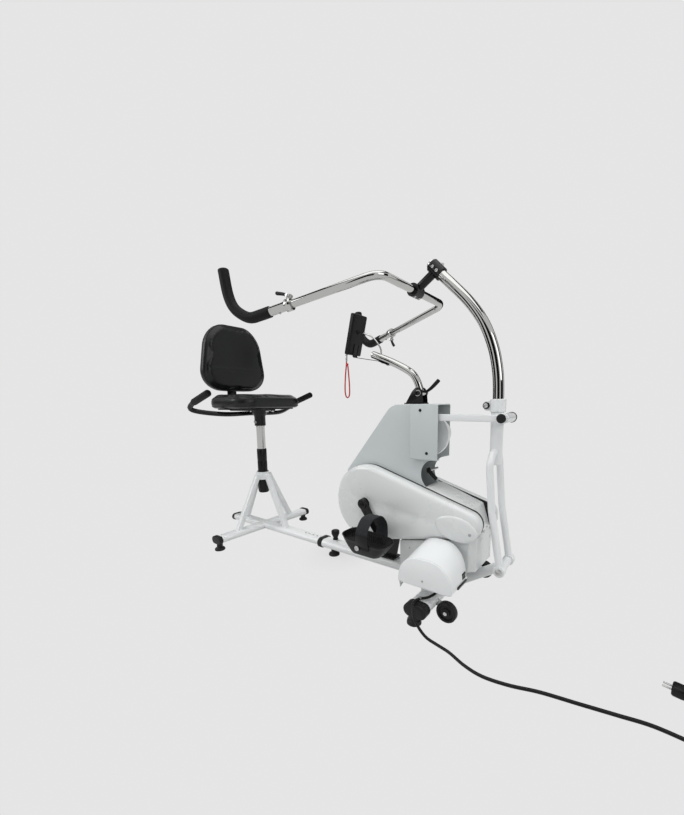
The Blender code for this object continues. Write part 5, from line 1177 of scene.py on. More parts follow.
@dataclass
class Studio:
    """The floor, the lamps and the camera at the photograph's viewing angle."""

    eye: tuple[float, float, float] = (1.00745, -1.1127, 0.6642)
    yaw: float = math.radians(36.013)
    pitch: float = math.radians(-8.508)
    roll: float = math.radians(-0.593)
    lens: float = 15.688
    shift: tuple[float, float] = (-0.0359, 0.0600)
    pale: float = 0.785
    matt: float = 0.53

    def camera(self) -> None:
        """Sets the camera."""
        data = bpy.data.cameras.new("camera")
        camera = linked("camera", data)
        flat = math.cos(self.pitch)
        forward = Vector((-math.sin(self.yaw) * flat, math.cos(self.yaw) * flat, math.sin(self.pitch)))
        right = forward.cross(Z).normalized()
        up = right.cross(forward)
        c, s = math.cos(self.roll), math.sin(self.roll)
        across, above = right * c + up * s, up * c - right * s
        camera.matrix_world = Matrix.Translation(self.eye) @ Matrix(
            (across, above, -forward)
        ).transposed().to_4x4()
        data.sensor_fit = "VERTICAL"
        data.sensor_height = 36.0
        data.sensor_width = 36.0 * IMAGE_W / IMAGE_H
        data.lens = self.lens
        data.shift_x, data.shift_y = self.shift
        data.clip_start, data.clip_end = 0.05, 60.0
        bpy.context.scene.camera = camera

    def _seen(self, nodes: NodeTree) -> bpy.types.NodeSocket:
        """One where a ray comes straight from the camera or off metal or glass."""
        path = nodes.add("ShaderNodeLightPath").outputs
        seen = nodes.math("MAXIMUM", path["Is Camera Ray"], path["Is Transmission Ray"])
        return nodes.math("MAXIMUM", seen, path["Is Glossy Ray"])

    def floor(self) -> None:
        """A wide plain floor that keeps the bike's shadow."""
        bm = bmesh.new()
        bmesh.ops.create_grid(bm, x_segments=2, y_segments=2, size=30.0)
        floor = object_from(bm, "floor")
        for polygon in floor.data.polygons:
            if polygon.normal.z < 0:
                polygon.flip()
        made, nodes = new_material("pale_floor")
        matt = nodes.add("ShaderNodeBsdfDiffuse", Color=(self.matt, self.matt, self.matt, 1))
        plain = nodes.add("ShaderNodeEmission", Color=(self.pale, self.pale, self.pale, 1), Strength=1.0)
        place = nodes.add("ShaderNodeTexCoord").outputs["Object"]
        away = nodes.add("ShaderNodeVectorMath", set_operation="LENGTH", at_0=place).outputs["Value"]
        mask = nodes.math("MULTIPLY", nodes.spread(away, 0.85, 1.7), self._seen(nodes))
        mix = nodes.add("ShaderNodeMixShader", Fac=mask, at_1=matt.outputs[0], at_2=plain.outputs[0])
        nodes.add("ShaderNodeOutputMaterial", Surface=mix.outputs[0])
        floor.data.materials.append(made)
        floor.location.z = -0.0006

    def world(self) -> None:
        """A soft surround: pale above, darker low down, so that chrome shows bands."""
        world = bpy.data.worlds.new("studio")
        bpy.context.scene.world = world
        world.use_nodes = True
        world.node_tree.nodes.clear()
        nodes = NodeTree(world.node_tree)
        place = nodes.add("ShaderNodeTexCoord").outputs["Generated"]
        apart = nodes.add("ShaderNodeSeparateXYZ", Vector=place).outputs
        height = nodes.math("MULTIPLY", nodes.math("ADD", apart["Z"], 1.0), 0.5)
        ramp = nodes.add("ShaderNodeValToRGB", Fac=height)
        stops = [(0.0, 0.50), (0.47, 0.30), (0.52, 0.45), (0.60, 0.80), (0.74, 0.95), (1.0, 0.95)]
        for number, (at, value) in enumerate(stops):
            stop = ramp.color_ramp.elements[number] if number < 2 else ramp.color_ramp.elements.new(at)
            stop.position, stop.color = at, (value, value, value * 1.01, 1)
        light = nodes.add("ShaderNodeBackground", Color=ramp.outputs[0], Strength=0.62)
        plain = nodes.add("ShaderNodeBackground", Color=(self.pale, self.pale, self.pale, 1), Strength=1.0)
        mix = nodes.add(
            "ShaderNodeMixShader", Fac=self._seen(nodes), at_1=light.outputs[0], at_2=plain.outputs[0]
        )
        nodes.add("ShaderNodeOutputWorld", Surface=mix.outputs[0])

    def lamps(self) -> None:
        """Three soft lamps: a large one above, one from the camera's left and one from its right."""
        plan = (
            ("top", (0.3, -0.4, 3.4), (0.0, 0.0, 0.4), 3.0, 50.0),
            ("left", (-2.6, -2.8, 2.3), (0.0, 0.0, 0.5), 1.8, 39.0),
            ("right", (3.2, -0.6, 1.9), (0.2, 0.0, 0.5), 1.6, 18.0),
        )
        for name, spot, target, size, power in plan:
            data = bpy.data.lights.new(name, "AREA")
            data.shape, data.size, data.energy = "SQUARE", size, power
            lamp = linked(name, data)
            lamp.location = spot
            lamp.rotation_euler = (Vector(target) - Vector(spot)).to_track_quat("-Z", "Y").to_euler()

    def flags(self) -> None:
        """Dark panels that only the chrome and the gloss see, as bands along the tubes."""
        made, nodes = new_material("dark_flag")
        dark = nodes.add("ShaderNodeEmission", Color=(0.012, 0.012, 0.013, 1), Strength=1.0)
        nodes.add("ShaderNodeOutputMaterial", Surface=dark.outputs[0])
        plan = (
            ("flag_left", (-3.9, -3.4, 1.9), (4.4, 3.4)),
            ("flag_rear", (-4.6, 1.4, 1.9), (3.6, 3.4)),
            ("flag_far", (0.2, 4.3, 1.9), (5.0, 3.4)),
            ("flag_right", (4.5, 0.2, 1.9), (4.6, 3.4)),
            ("flag_behind", (1.9, -4.5, 1.9), (4.4, 3.4)),
            ("flag_above", (0.0, 0.0, 4.3), (6.0, 6.0)),
        )
        for name, spot, (wide, tall) in plan:
            panel = prism(name, oblong(wide, tall), Plane.XY, 0.0, 0.01)
            panel.data.materials.append(made)
            panel.location = spot
            panel.rotation_euler = (
                Vector((0.0, 0.0, 0.6)) - Vector(spot)
            ).to_track_quat("-Z", "Y").to_euler()
            panel.visible_camera = panel.visible_diffuse = panel.visible_shadow = False

    def build(self) -> None:
        """Sets the view transform and makes the whole studio."""
        bpy.context.scene.view_settings.view_transform = "Standard"
        self.flags()
        self.camera()
        self.floor()
        self.world()
        self.lamps()


# ---- the mains cord ----


@dataclass
class MainsCord:
    """The cord from the motor's gland over the floor to a neat coil and its plug."""

    radius: float = 0.00425
    length: float = 2.51
    gland: tuple[float, float, float] = (1.056, -0.178, 0.1080)
    coil: tuple[float, float, float] = (1.720, -0.205, 0.047)
    turns: int = 5
    tail: float = 0.060
    plug_half: float = 0.0160
    clip: tuple[float, float, float] = (1.0170, -0.2175, 0.0758)
    route: list[tuple[float, float, float]] = field(
        default_factory=lambda: [
            (1.056, -0.178, 0.1077), (1.056, -0.178, 0.1020), (1.0545, -0.1795, 0.0920),
            (1.048, -0.186, 0.0840),
            (1.034, -0.200, 0.0765), (1.020, -0.214, 0.0758), (1.013, -0.232, 0.0765),
            (1.014, -0.252, 0.0772),
            (1.022, -0.271, 0.0690), (1.036, -0.283, 0.0500), (1.054, -0.288, 0.0300),
            (1.078, -0.290, 0.0130),
            (1.110, -0.290, 0.0052), (1.150, -0.299, 0.00445), (1.200, -0.321, 0.00445),
            (1.250, -0.331, 0.00445),
            (1.310, -0.322, 0.00445), (1.373, -0.302, 0.00445), (1.450, -0.287, 0.00445),
            (1.520, -0.273, 0.00445),
            (1.580, -0.262, 0.00445),
        ]
    )

    def __post_init__(self) -> None:
        """Works out the coil's pitch, its outer reach and the cord's height on the floor."""
        self.step = 2 * self.radius + 0.0008
        self.outer = self.coil[2] - self.step * self.turns / 4 + self.step * self.turns / 2
        self.floor = self.radius + 0.0002

    def _coil_line(self) -> list[Vector]:
        """Half the turns spiral in on the floor, and the rest spiral out on top of them."""
        x, y, _ = self.coil
        step, outer, low = self.step, self.outer, self.floor
        half, per_turn = self.turns / 2, 18
        rise = 2 * self.radius + 0.0010
        points = [Vector((x - 2 * self.radius, y - outer, low))]
        for number in range(round((self.turns + 0.5) * per_turn) + 1):
            turn = number / per_turn
            inward, outward = min(turn, half + 0.25), max(0.0, turn - half - 0.25)
            climb = min(max(turn - half, 0.0) / 0.5, 1.0)
            reach = outer - step * inward + step * outward
            angle = -math.pi / 2 + 2 * math.pi * turn
            points.append(
                Vector((x + reach * math.cos(angle), y + reach * math.sin(angle), low + rise * climb))
            )
        last = (points[-1] - points[-2]).normalized()
        for _ in range(3):
            points.append(points[-1] + last * self.tail / 3)
        return points

    def build(self, kit: Kit) -> None:
        """Makes the cord, its strain relief, the gland, the clip and the plug.

        Args:
            kit: the shared materials and finisher.
        """
        x, y, _ = self.coil
        edge, floor = y - self.outer, self.floor
        route = [Vector(point) for point in self.route]
        route += [Vector((1.650, edge - 0.001, floor)), Vector((x - 2 * self.radius - 0.0003, edge, floor))]
        free = smooth(route, 0.011)
        coil = smooth(self._coil_line(), 0.0065)
        line = free + coil
        plug = self._plug(kit, coil)
        sleeve = self._gland(kit)
        tube = swept("mains_cord", line, self.radius, 14)
        kit.piece(tube, "base", CORD_SHEATH, "cord", "cord_coil", sharp=False)
        path = [point + SHIFT for point in line]
        tuple(path[0])
        [tuple(point) for point in path]
        self._clip(kit)

    def _gland(self, kit: Kit) -> bpy.types.Object:
        """The gland under the motor plate, with ribs round its sleeve."""
        x, y, low = self.gland
        top = 0.1167
        profile = [(0, top), (0.0100, top), (0.0100, top - 0.0035), (0.0088, top - 0.0045)]
        profile += [(0.0082, low + 0.0005), (0.0076, low), (0, low)]
        body = turned("cord_sleeve", profile, (x, y, 0), Z, 32)
        ring = circle(Vector((x, y, top - 0.002)), 0.0096, 48)
        rib = block("rib", (-0.0004, -0.0006, -0.0004), (0.0004, 0.0006, 0.0004), 0.0001, 1)
        ribs = kit.row("ribs", ring, rib, 0.0025, BLACK_PLASTIC, closed=True)
        return kit.piece(
            merged([kit.dress(body, BLACK_PLASTIC), ribs], "cord_sleeve"), "base", None, "cord_gland"
        )

    def _plug(self, kit: Kit, coil: Sequence[Vector]) -> bpy.types.Object:
        """A plain moulded plug with two round pins, lying on the floor."""
        along = (coil[-1] - coil[-2]).normalized()
        start = coil[-1] + along * 0.0003
        half = start.z - 0.0004
        across = along.cross(Z)
        rings = []
        shape = [
            (0, 0.45, 0.60), (0.004, 0.52, 0.62), (0.010, 0.60, 0.66), (0.018, 0.92, 0.92), (0.026, 1.0, 1.0)
        ]
        shape += [(0.040, 1.0, 1.0), (0.0425, 0.95, 0.93), (0.044, 0.86, 0.80)]
        for at, w, h in shape:
            ring = []
            for step in range(24):
                angle = step * math.pi / 12
                u = boxy(math.cos(angle), 0.6) * self.plug_half * w
                v = boxy(math.sin(angle), 0.6) * half * h
                ring.append(start + along * at + across * u + Z * v)
            rings.append(ring)
        parts = [kit.dress(loft("plug", rings), BLACK_PLASTIC)]
        for side in (-1, 1):
            root = start + along * 0.043 + across * side * 0.0065
            parts.append(kit.dress(rod("pin", root, root + along * 0.018, 0.0024, 0.0006, 20), ZINC))
        made = merged(parts, "mains_plug")
        return kit.piece(made, "base", None, "cord_plug")

    def _clip(self, kit: Kit) -> None:
        """The zinc P-clip that holds the cord under the stabiliser's tube."""
        centre, radius = Vector(self.clip), 0.0052
        turns = [math.radians(degrees) for degrees in range(-60, 241, 20)]
        loop = [centre + (X * math.cos(turn) + Z * math.sin(turn)) * radius for turn in turns]
        tail = [loop[-1] + Vector((-0.004, 0, -0.001)), loop[-1] + Vector((-0.012, 0, -0.0022))]
        kit.piece(swept("cord_clip", loop + tail, oblong(0.0012, 0.0090), up=Y), "base", ZINC)


# ---- the seat stand and the floor frame ----


@dataclass
class SeatStand:
    """Crossed flat-oval tubes on the floor, four legs, a collar, the guide, the nut and the post."""

    beam_z: float = 0.050
    tube: tuple[float, float] = (0.060, 0.030)
    wall: float = 0.0025
    rear_x: float = -0.250
    front_x: float = 0.620
    half_y: float = 0.275
    leg_foot: float = 0.165
    leg_top_z: float = 0.312
    leg_side: float = 0.024
    collar: tuple[float, float, float] = (0.031, 0.290, 0.328)
    post: tuple[float, float, float] = (0.0205, 0.226, 0.590)
    sleeve: tuple[float, float] = (0.0235, 0.445)
    cone: tuple[float, float, float] = (0.030, 0.024, 0.222)
    holes: tuple[float, float, int, float] = (0.296, 0.025, 6, 0.005)

    def _frame(self, kit: Kit) -> None:
        """The welded white frame, with a bead round each joint and the row of holes."""
        width, height = self.tube
        centre, past = (0, self.beam_z), 0.01
        long_tube = prism("long", stadium(centre, width, height), Plane.YZ, self.rear_x, self.front_x)
        hollow = stadium(centre, width - 2 * self.wall, height - 2 * self.wall)
        first, pitch, count, radius = self.holes
        tools = [prism("bore", hollow, Plane.YZ, self.rear_x - past, self.front_x + past)]
        for number in range(count):
            tools.append(drill(radius, 0, 0.05, (first + pitch * number, 0, self.beam_z), Z, 24))
        parts = [soften(carve(long_tube, *tools), 0.0004, 2)]
        slim = stadium(centre, width - 0.0006, height - 0.0006)
        parts.append(prism("side", slim, Plane.XZ, -self.half_y, self.half_y))
        for quarter in range(4):
            around = Matrix.Rotation(math.radians(90 * quarter), 4, "Z")
            foot = around @ Vector((self.leg_foot, 0, self.beam_z))
            head = around @ Vector((self.collar[0] + 0.002, 0, self.leg_top_z))
            half = self.leg_side / 2
            square = rounded(oblong(self.leg_side, self.leg_side), 0.0035, 4)
            parts.append(swept("leg", [foot, foot.lerp(head, 0.5), head], square, up=around @ Y))
            parts.append(self._bead(foot, head, half))
        radius, low, high = self.collar
        profile = [(0, low), (radius - 0.001, low), (radius, low + 0.001)]
        profile += [(radius, high - 0.001), (radius - 0.001, high)]
        profile += [(self.post[0] + 0.0008, high), (self.post[0] + 0.0008, high - 0.002), (0, high - 0.002)]
        parts.append(turned("collar", profile, (0, 0, 0), Z, 48))
        kit.piece(merged(parts, "stand_weldment"), "stand", WHITE_STEEL, "stand_frame", angle=35)

    def _bead(self, foot: Vector, head: Vector, half: float) -> bpy.types.Object:
        """The weld bead where a leg meets its tube."""
        direction = (head - foot).normalized()
        start = foot + direction * ((self.tube[1] / 2) / direction.z)
        level = start.z
        away = Vector((direction.x, direction.y, 0)).normalized()
        across = Z.cross(away)
        reach = half / direction.z
        corners = [(reach, half), (-reach, half), (-reach, -half), (reach, -half)]
        ring = [start + away * u * 1.02 + across * v * 1.02 for u, v in rounded(corners, 0.005, 3)]
        ring = [Vector((p.x, p.y, level + 0.0004)) for p in ring]
        return swept("bead", ring + [ring[0]], 0.0018, 8)

    def _column(self, kit: Kit) -> None:
        """The guide, the lock nut and the chrome post."""
        post_r, low, high = self.post
        radius, top = self.sleeve
        bore, foot = post_r + 0.0005, self.collar[2] + 0.0003
        profile = [
            (bore, foot), (radius + 0.003, foot), (radius + 0.003, foot + 0.004), (radius, foot + 0.006)
        ]
        profile += [(radius, foot + 0.052), (radius - 0.0008, foot + 0.054), (radius - 0.0008, foot + 0.060)]
        profile += [(radius, foot + 0.062), (radius, top - 0.003), (radius - 0.002, top), (bore, top)]
        kit.piece(turned("post_guide", profile, (0, 0, 0)), "stand", BLACK_PLASTIC, "height_sleeve")
        wide, narrow, base = self.cone
        head = self.collar[1] - 0.0003
        profile = [(bore, head), (wide - 0.001, head), (wide, head - 0.001), (wide, head - 0.018)]
        profile += [(wide - 0.001, head - 0.020), (narrow + 0.0015, base + 0.006), (narrow, base + 0.002)]
        profile += [(narrow - 0.002, base), (bore, base)]
        body = kit.dress(turned("nut", profile, (0, 0, 0)), BLACK_PLASTIC)
        ring = circle(Vector((0, 0, head - 0.0095)), wide, 64)
        rib = block("rib", (-0.0008, -0.008, -0.0007), (0.0008, 0.008, 0.0007), 0.0004, 2)
        ribs = kit.row("ribs", ring, rib, 0.0078, BLACK_PLASTIC, closed=True)
        kit.piece(merged([body, ribs], "lock_nut"), "cone", BLACK_PLASTIC, "lock_cone")
        wall = 0.0025
        profile = [
            (post_r - wall, high), (post_r - 0.0006, high), (post_r, high - 0.0006), (post_r, low + 0.0006)
        ]
        profile += [(post_r - 0.0006, low), (post_r - wall, low)]
        kit.piece(turned("chrome_post", profile, (0, 0, 0), Z, 64), "post", CHROME, "seat_post")

    def _caps(self, kit: Kit) -> None:
        """Rubber cups on the tube ends; the side ones stand on round feet."""
        width, height = self.tube[0] + 0.0006, self.tube[1] + 0.0006
        outline = stadium((0, self.beam_z), width + 0.005, height + 0.005)
        for side in Side:
            out, inner = side.value * (self.half_y + 0.0028), side.value * (self.half_y - 0.016)
            foot_at = (0, side.value * (self.half_y - 0.015), 0)
            foot = rubber_foot(foot_at, 0.0225, 0.013, self.beam_z - height / 2 - 0.0015)
            parts = [rubber_cup("cup", outline, Plane.XZ, inner, out), foot]
            kit.piece(merged(parts, f"tube_end_{side.word}"), "stand", RUBBER, f"stand_end_{side.word}")
        cup = rubber_cup("tube_end_rear", outline, Plane.YZ, self.rear_x + 0.012, self.rear_x - 0.0028)
        kit.piece(cup, "stand", RUBBER, "stand_cap_rear")

    def build(self, kit: Kit) -> None:
        """Makes the stand's pieces."""
        self._frame(kit)
        self._column(kit)
        self._caps(kit)


def rubber_cup(
    name: str, outline: Outline, plane: Plane, inner: float, outer: float, edge: float = 0.0022
) -> bpy.types.Object:
    """A rubber end cap with well rounded edges.

    Args:
        name: the object's name.
        outline: the cap's outline.
        plane: the plane it is drawn in.
        inner: where the cap's mouth is along the tube.
        outer: where its closed end is.
        edge: how far its edges are rounded.

    Returns:
        The cap.
    """
    low, high = sorted((inner, outer))
    return prism(name, outline, plane, low, high, edge, 4)


def rubber_foot(at: Sequence[float], radius: float, neck: float, top: float) -> bpy.types.Object:
    """A round levelling foot with a stepped pad."""
    profile = [(0, 0), (radius - 0.0015, 0), (radius, 0.0015), (radius, 0.007), (radius - 0.0012, 0.0095)]
    profile += [(neck + 0.003, 0.0135), (neck, 0.0165), (neck, top), (0, top)]
    return turned("foot", profile, at, Z, 40)


@dataclass
class FloorFrame:
    """The sleeve beam, its knob, the stabiliser, the wheels, the strut and the motor's plate."""

    beam_z: float = 0.050
    sleeve: tuple[float, float] = (0.066, 0.036)
    bore: tuple[float, float] = (0.061, 0.031)
    mouth_x: float = 0.405
    end_x: float = 0.9817
    knob: tuple[float, float, float, float] = (0.484, 0.017, 0.0745, 0.118)
    foot: tuple[float, float] = (0.474, 0.024)
    stabiliser: tuple[float, float, float, float] = (1.017, 0.070, 0.035, 0.248)
    foot_y: float = 0.233
    wheel: tuple[float, float, float, float] = (1.086, 0.172, 0.0340, 0.0320)
    wheel_width: float = 0.022
    pivot: tuple[float, float] = (1.203, 0.150)
    plate_z: float = 0.120
    plate_x: tuple[float, float] = (0.950, 1.116)
    plate_y: tuple[float, float] = (-0.227, -0.0855)

    def _beam(self, kit: Kit) -> None:
        """The white sleeve with its black mouth ring and the knob's boss."""
        z, mouth = self.beam_z, self.mouth_x
        tube = prism("sleeve", stadium((0, z), *self.sleeve), Plane.YZ, mouth + 0.002, self.end_x)
        inside = prism("bore", stadium((0, z), *self.bore), Plane.YZ, mouth - 0.01, self.end_x + 0.01)
        tube = kit.dress(carve(tube, inside), WHITE_STEEL)
        x, _, low, _ = self.knob
        profile = [(0, z), (0.013, z), (0.013, low - 0.0012), (0.0122, low - 0.0004), (0.0055, low - 0.0004)]
        profile += [(0.0055, low - 0.006), (0, low - 0.006)]
        boss = kit.dress(turned("boss", profile, (x, 0, 0), Z, 36), WHITE_STEEL)
        outline = stadium((0, z), self.sleeve[0] + 0.008, self.sleeve[1] + 0.008)
        ring = prism("ring", outline, Plane.YZ, mouth, mouth + 0.022, 0.002, 3)
        inside = prism("bore", stadium((0, z), *self.bore), Plane.YZ, mouth - 0.01, mouth + 0.04)
        ring = kit.dress(carve(ring, inside), RUBBER)
        kit.join([tube, boss, ring], "sleeve_beam", "base", WHITE_STEEL, "main_beam")

    def _knob(self, kit: Kit) -> None:
        """The sprung pull knob, with grooves round its waist, and its steel pin."""
        x, radius, low, high = self.knob
        profile = [(0, high), (radius * 0.60, high), (radius - 0.003, high - 0.0012), (radius, high - 0.004)]
        profile += [(radius, high - 0.018), (radius - 0.0015, high - 0.022)]
        profile += [(0.0105, low + 0.010), (0.0100, low + 0.006)]
        profile += [(0.0118, low + 0.004), (0.0118, low), (0, low)]
        body = kit.dress(turned("grip", profile, (x, 0, 0), Z, 48), BLACK_PLASTIC)
        ring = circle(Vector((x, 0, high - 0.011)), radius, 60)
        rib = block("rib", (-0.0006, -0.0065, -0.0006), (0.0006, 0.0065, 0.0006), 0.0003, 2)
        ribs = kit.row("ribs", ring, rib, 0.0036, BLACK_PLASTIC, closed=True)
        pin = kit.dress(rod("pin", (x, 0, 0.0655), (x, 0, low + 0.001), 0.005, 0.0006), ZINC)
        kit.piece(merged([body, ribs, pin], "pull_knob"), "beam_knob", None, "beam_lock_knob")

    def _feet(self, kit: Kit) -> None:
        """The foot under the sleeve's mouth and the rubber cups on the stabiliser."""
        x, radius = self.foot
        top = self.beam_z - self.sleeve[1] / 2 - 0.0003
        made = rubber_foot((x, 0, 0), radius, 0.013, top)
        made.name = "mouth_foot"
        kit.piece(made, "base", RUBBER, "beam_foot")
        x, width, height, half_y = self.stabiliser
        for side in Side:
            out, inner = side.value * (half_y + 0.0053), side.value * (half_y - 0.030)
            outline = stadium((x, self.beam_z), width + 0.0056, height + 0.0056)
            cup = rubber_cup("cup", outline, Plane.XZ, inner, out, 0.003)
            foot_at = (x - 0.010, side.value * self.foot_y, 0)
            foot = rubber_foot(foot_at, 0.0225, 0.018, self.beam_z - height / 2 - 0.0015)
            whole = merged([cup, foot], f"stabiliser_end_{side.word}")
            kit.piece(whole, "base", RUBBER, f"stabiliser_cap_{side.word}")

    def _cross(self, kit: Kit) -> None:
        """The stabiliser, the strut to the pivot tube, the motor's plate and its welds."""
        x, width, height, half_y = self.stabiliser
        z = self.beam_z
        bar = prism("bar", stadium((x, z), width, height), Plane.XZ, -half_y, half_y)
        inside = prism(
            "bore", stadium((x, z), width - 0.005, height - 0.005), Plane.XZ, -half_y - 0.01, half_y + 0.01
        )
        parts = [carve(bar, inside)]
        pivot = Vector((self.pivot[0], 0, self.pivot[1]))
        start = Vector((x + width / 2 - 0.006, 0, z - 0.002))
        lower = start + (pivot - start).normalized() * 0.060
        strut = smooth([start, lower, pivot.lerp(lower, 0.35), pivot], 0.012)
        parts.append(swept("strut", strut, 0.016, 32))
        parts.append(turned("pivot_tube", tube_profile(0.0063, 0.0125, -0.040, 0.040, 0.0008), pivot, Y, 40))
        ring = circle(start + X * 0.002, 0.0155, 32, Y, Z)
        parts.append(swept("bead", ring + [ring[0].copy()], 0.0018, 8))
        low, high = self.plate_y
        rear, front = self.plate_x
        plate = rounded(
            [(rear, low), (front, low), (front, high), (rear, high)], (0.008, 0.008, 0.002, 0.002)
        )
        parts.append(prism("plate", plate, Plane.XY, self.plate_z - 0.003, self.plate_z, 0.0006, 2))
        top = self.plate_z - 0.002
        web = [(x - 0.030, z), (x + 0.026, z), (x + 0.018, top), (x - 0.022, top)]
        for web_y in (-0.158, -0.113):
            parts.append(prism("web", web, Plane.XZ, web_y, web_y + 0.004, 0.0006, 2))
        parts = [kit.dress(part, WHITE_STEEL) for part in parts] + self._brackets(kit)
        kit.join(parts, "front_weldment", "base", WHITE_STEEL, "front_frame")

    def _brackets(self, kit: Kit) -> list[bpy.types.Object]:
        """The wheels' cheeks and zinc axles, with nuts and washers."""
        x, width, _, _ = self.stabiliser
        wheel_x, wheel_y, wheel_z, _ = self.wheel
        reach = self.wheel_width / 2 + 0.0015
        parts = []
        outline = belt_outline((x + width / 2 - 0.010, self.beam_z, 0.013), (wheel_x, wheel_z, 0.0100), 10)
        for side in Side:
            inwards, middle = -side.value, side.value * wheel_y
            out = middle + inwards * (reach + 0.0025)
            low, high = sorted((middle + inwards * reach, out))
            parts.append(kit.dress(prism("cheek", outline, Plane.XZ, low, high, 0.0005, 2), WHITE_STEEL))
            nut = hex_bolt("nut", Vector((wheel_x, out, wheel_z)), Y * inwards, 0.0095, 0.0042)
            parts.append(kit.dress(nut, ZINC))
            axle_low = Vector((wheel_x, middle - reach - 0.003, wheel_z))
            parts.append(
                kit.dress(rod("axle", axle_low, axle_low + Y * (2 * reach + 0.006), 0.0058, 0.0004), ZINC)
            )
        return parts

    def _wheels(self, kit: Kit) -> None:
        """Black wheels with a rounded tread, a sunk web and a raised hub."""
        x, y, z, radius = self.wheel
        half, bore = self.wheel_width / 2, 0.0065
        side_view = [(bore, half), (0.0115, half), (0.0125, half - 0.001)]
        side_view += [(0.0130, half - 0.005), (0.0225, half - 0.0055)]
        side_view += [(0.0240, half - 0.001), (0.0250, half), (radius - 0.0035, half)]
        side_view += [(radius - 0.001, half - 0.0015), (radius, half - 0.004)]
        profile = side_view + [(r, -h) for r, h in reversed(side_view)]
        for side in Side:
            made = turned(f"transport_wheel_{side.word}", profile, (x, side.value * y, z), Y, 56)
            kit.piece(made, f"{side.word}_wheel", RUBBER, f"wheel_{side.word}", angle=50)

    def _bolt(self, kit: Kit) -> None:
        """The bolt that the fork rocks on, with a dished cap at each end."""
        leg_y, leg_r, clearance = 0.052, 0.0115, 0.0005
        reach = leg_y + leg_r + clearance
        middle = Vector((self.pivot[0], 0, self.pivot[1]))
        parts = [rod("bar", middle - Y * reach, middle + Y * reach, 0.006, 0.0005)]
        for side in (-1, 1):
            parts.append(socket_bolt("cap", middle + Y * side * reach, Y * side, 0.0100, 0.0042))
        kit.piece(merged(parts, "fork_bolt"), "base", ZINC, "rocker_pivot_bolt")

    def build(self, kit: Kit) -> None:
        """Makes the floor frame's pieces."""
        self._beam(kit)
        self._knob(kit)
        self._feet(kit)
        self._cross(kit)
        self._wheels(kit)
        self._bolt(kit)


# ---- the seat ----

CLOTH_FRAMES = 20


@dataclass(frozen=True)
class Padding:
    """One cushion: its cage's size, its corners, its crown and how it swells."""

    name: str
    length: float
    width: float
    thick: float
    corner: float
    taper: float
    origin: tuple[float, float, float]
    axes: tuple[Vector, Vector, Vector]
    push: float
    limit: float


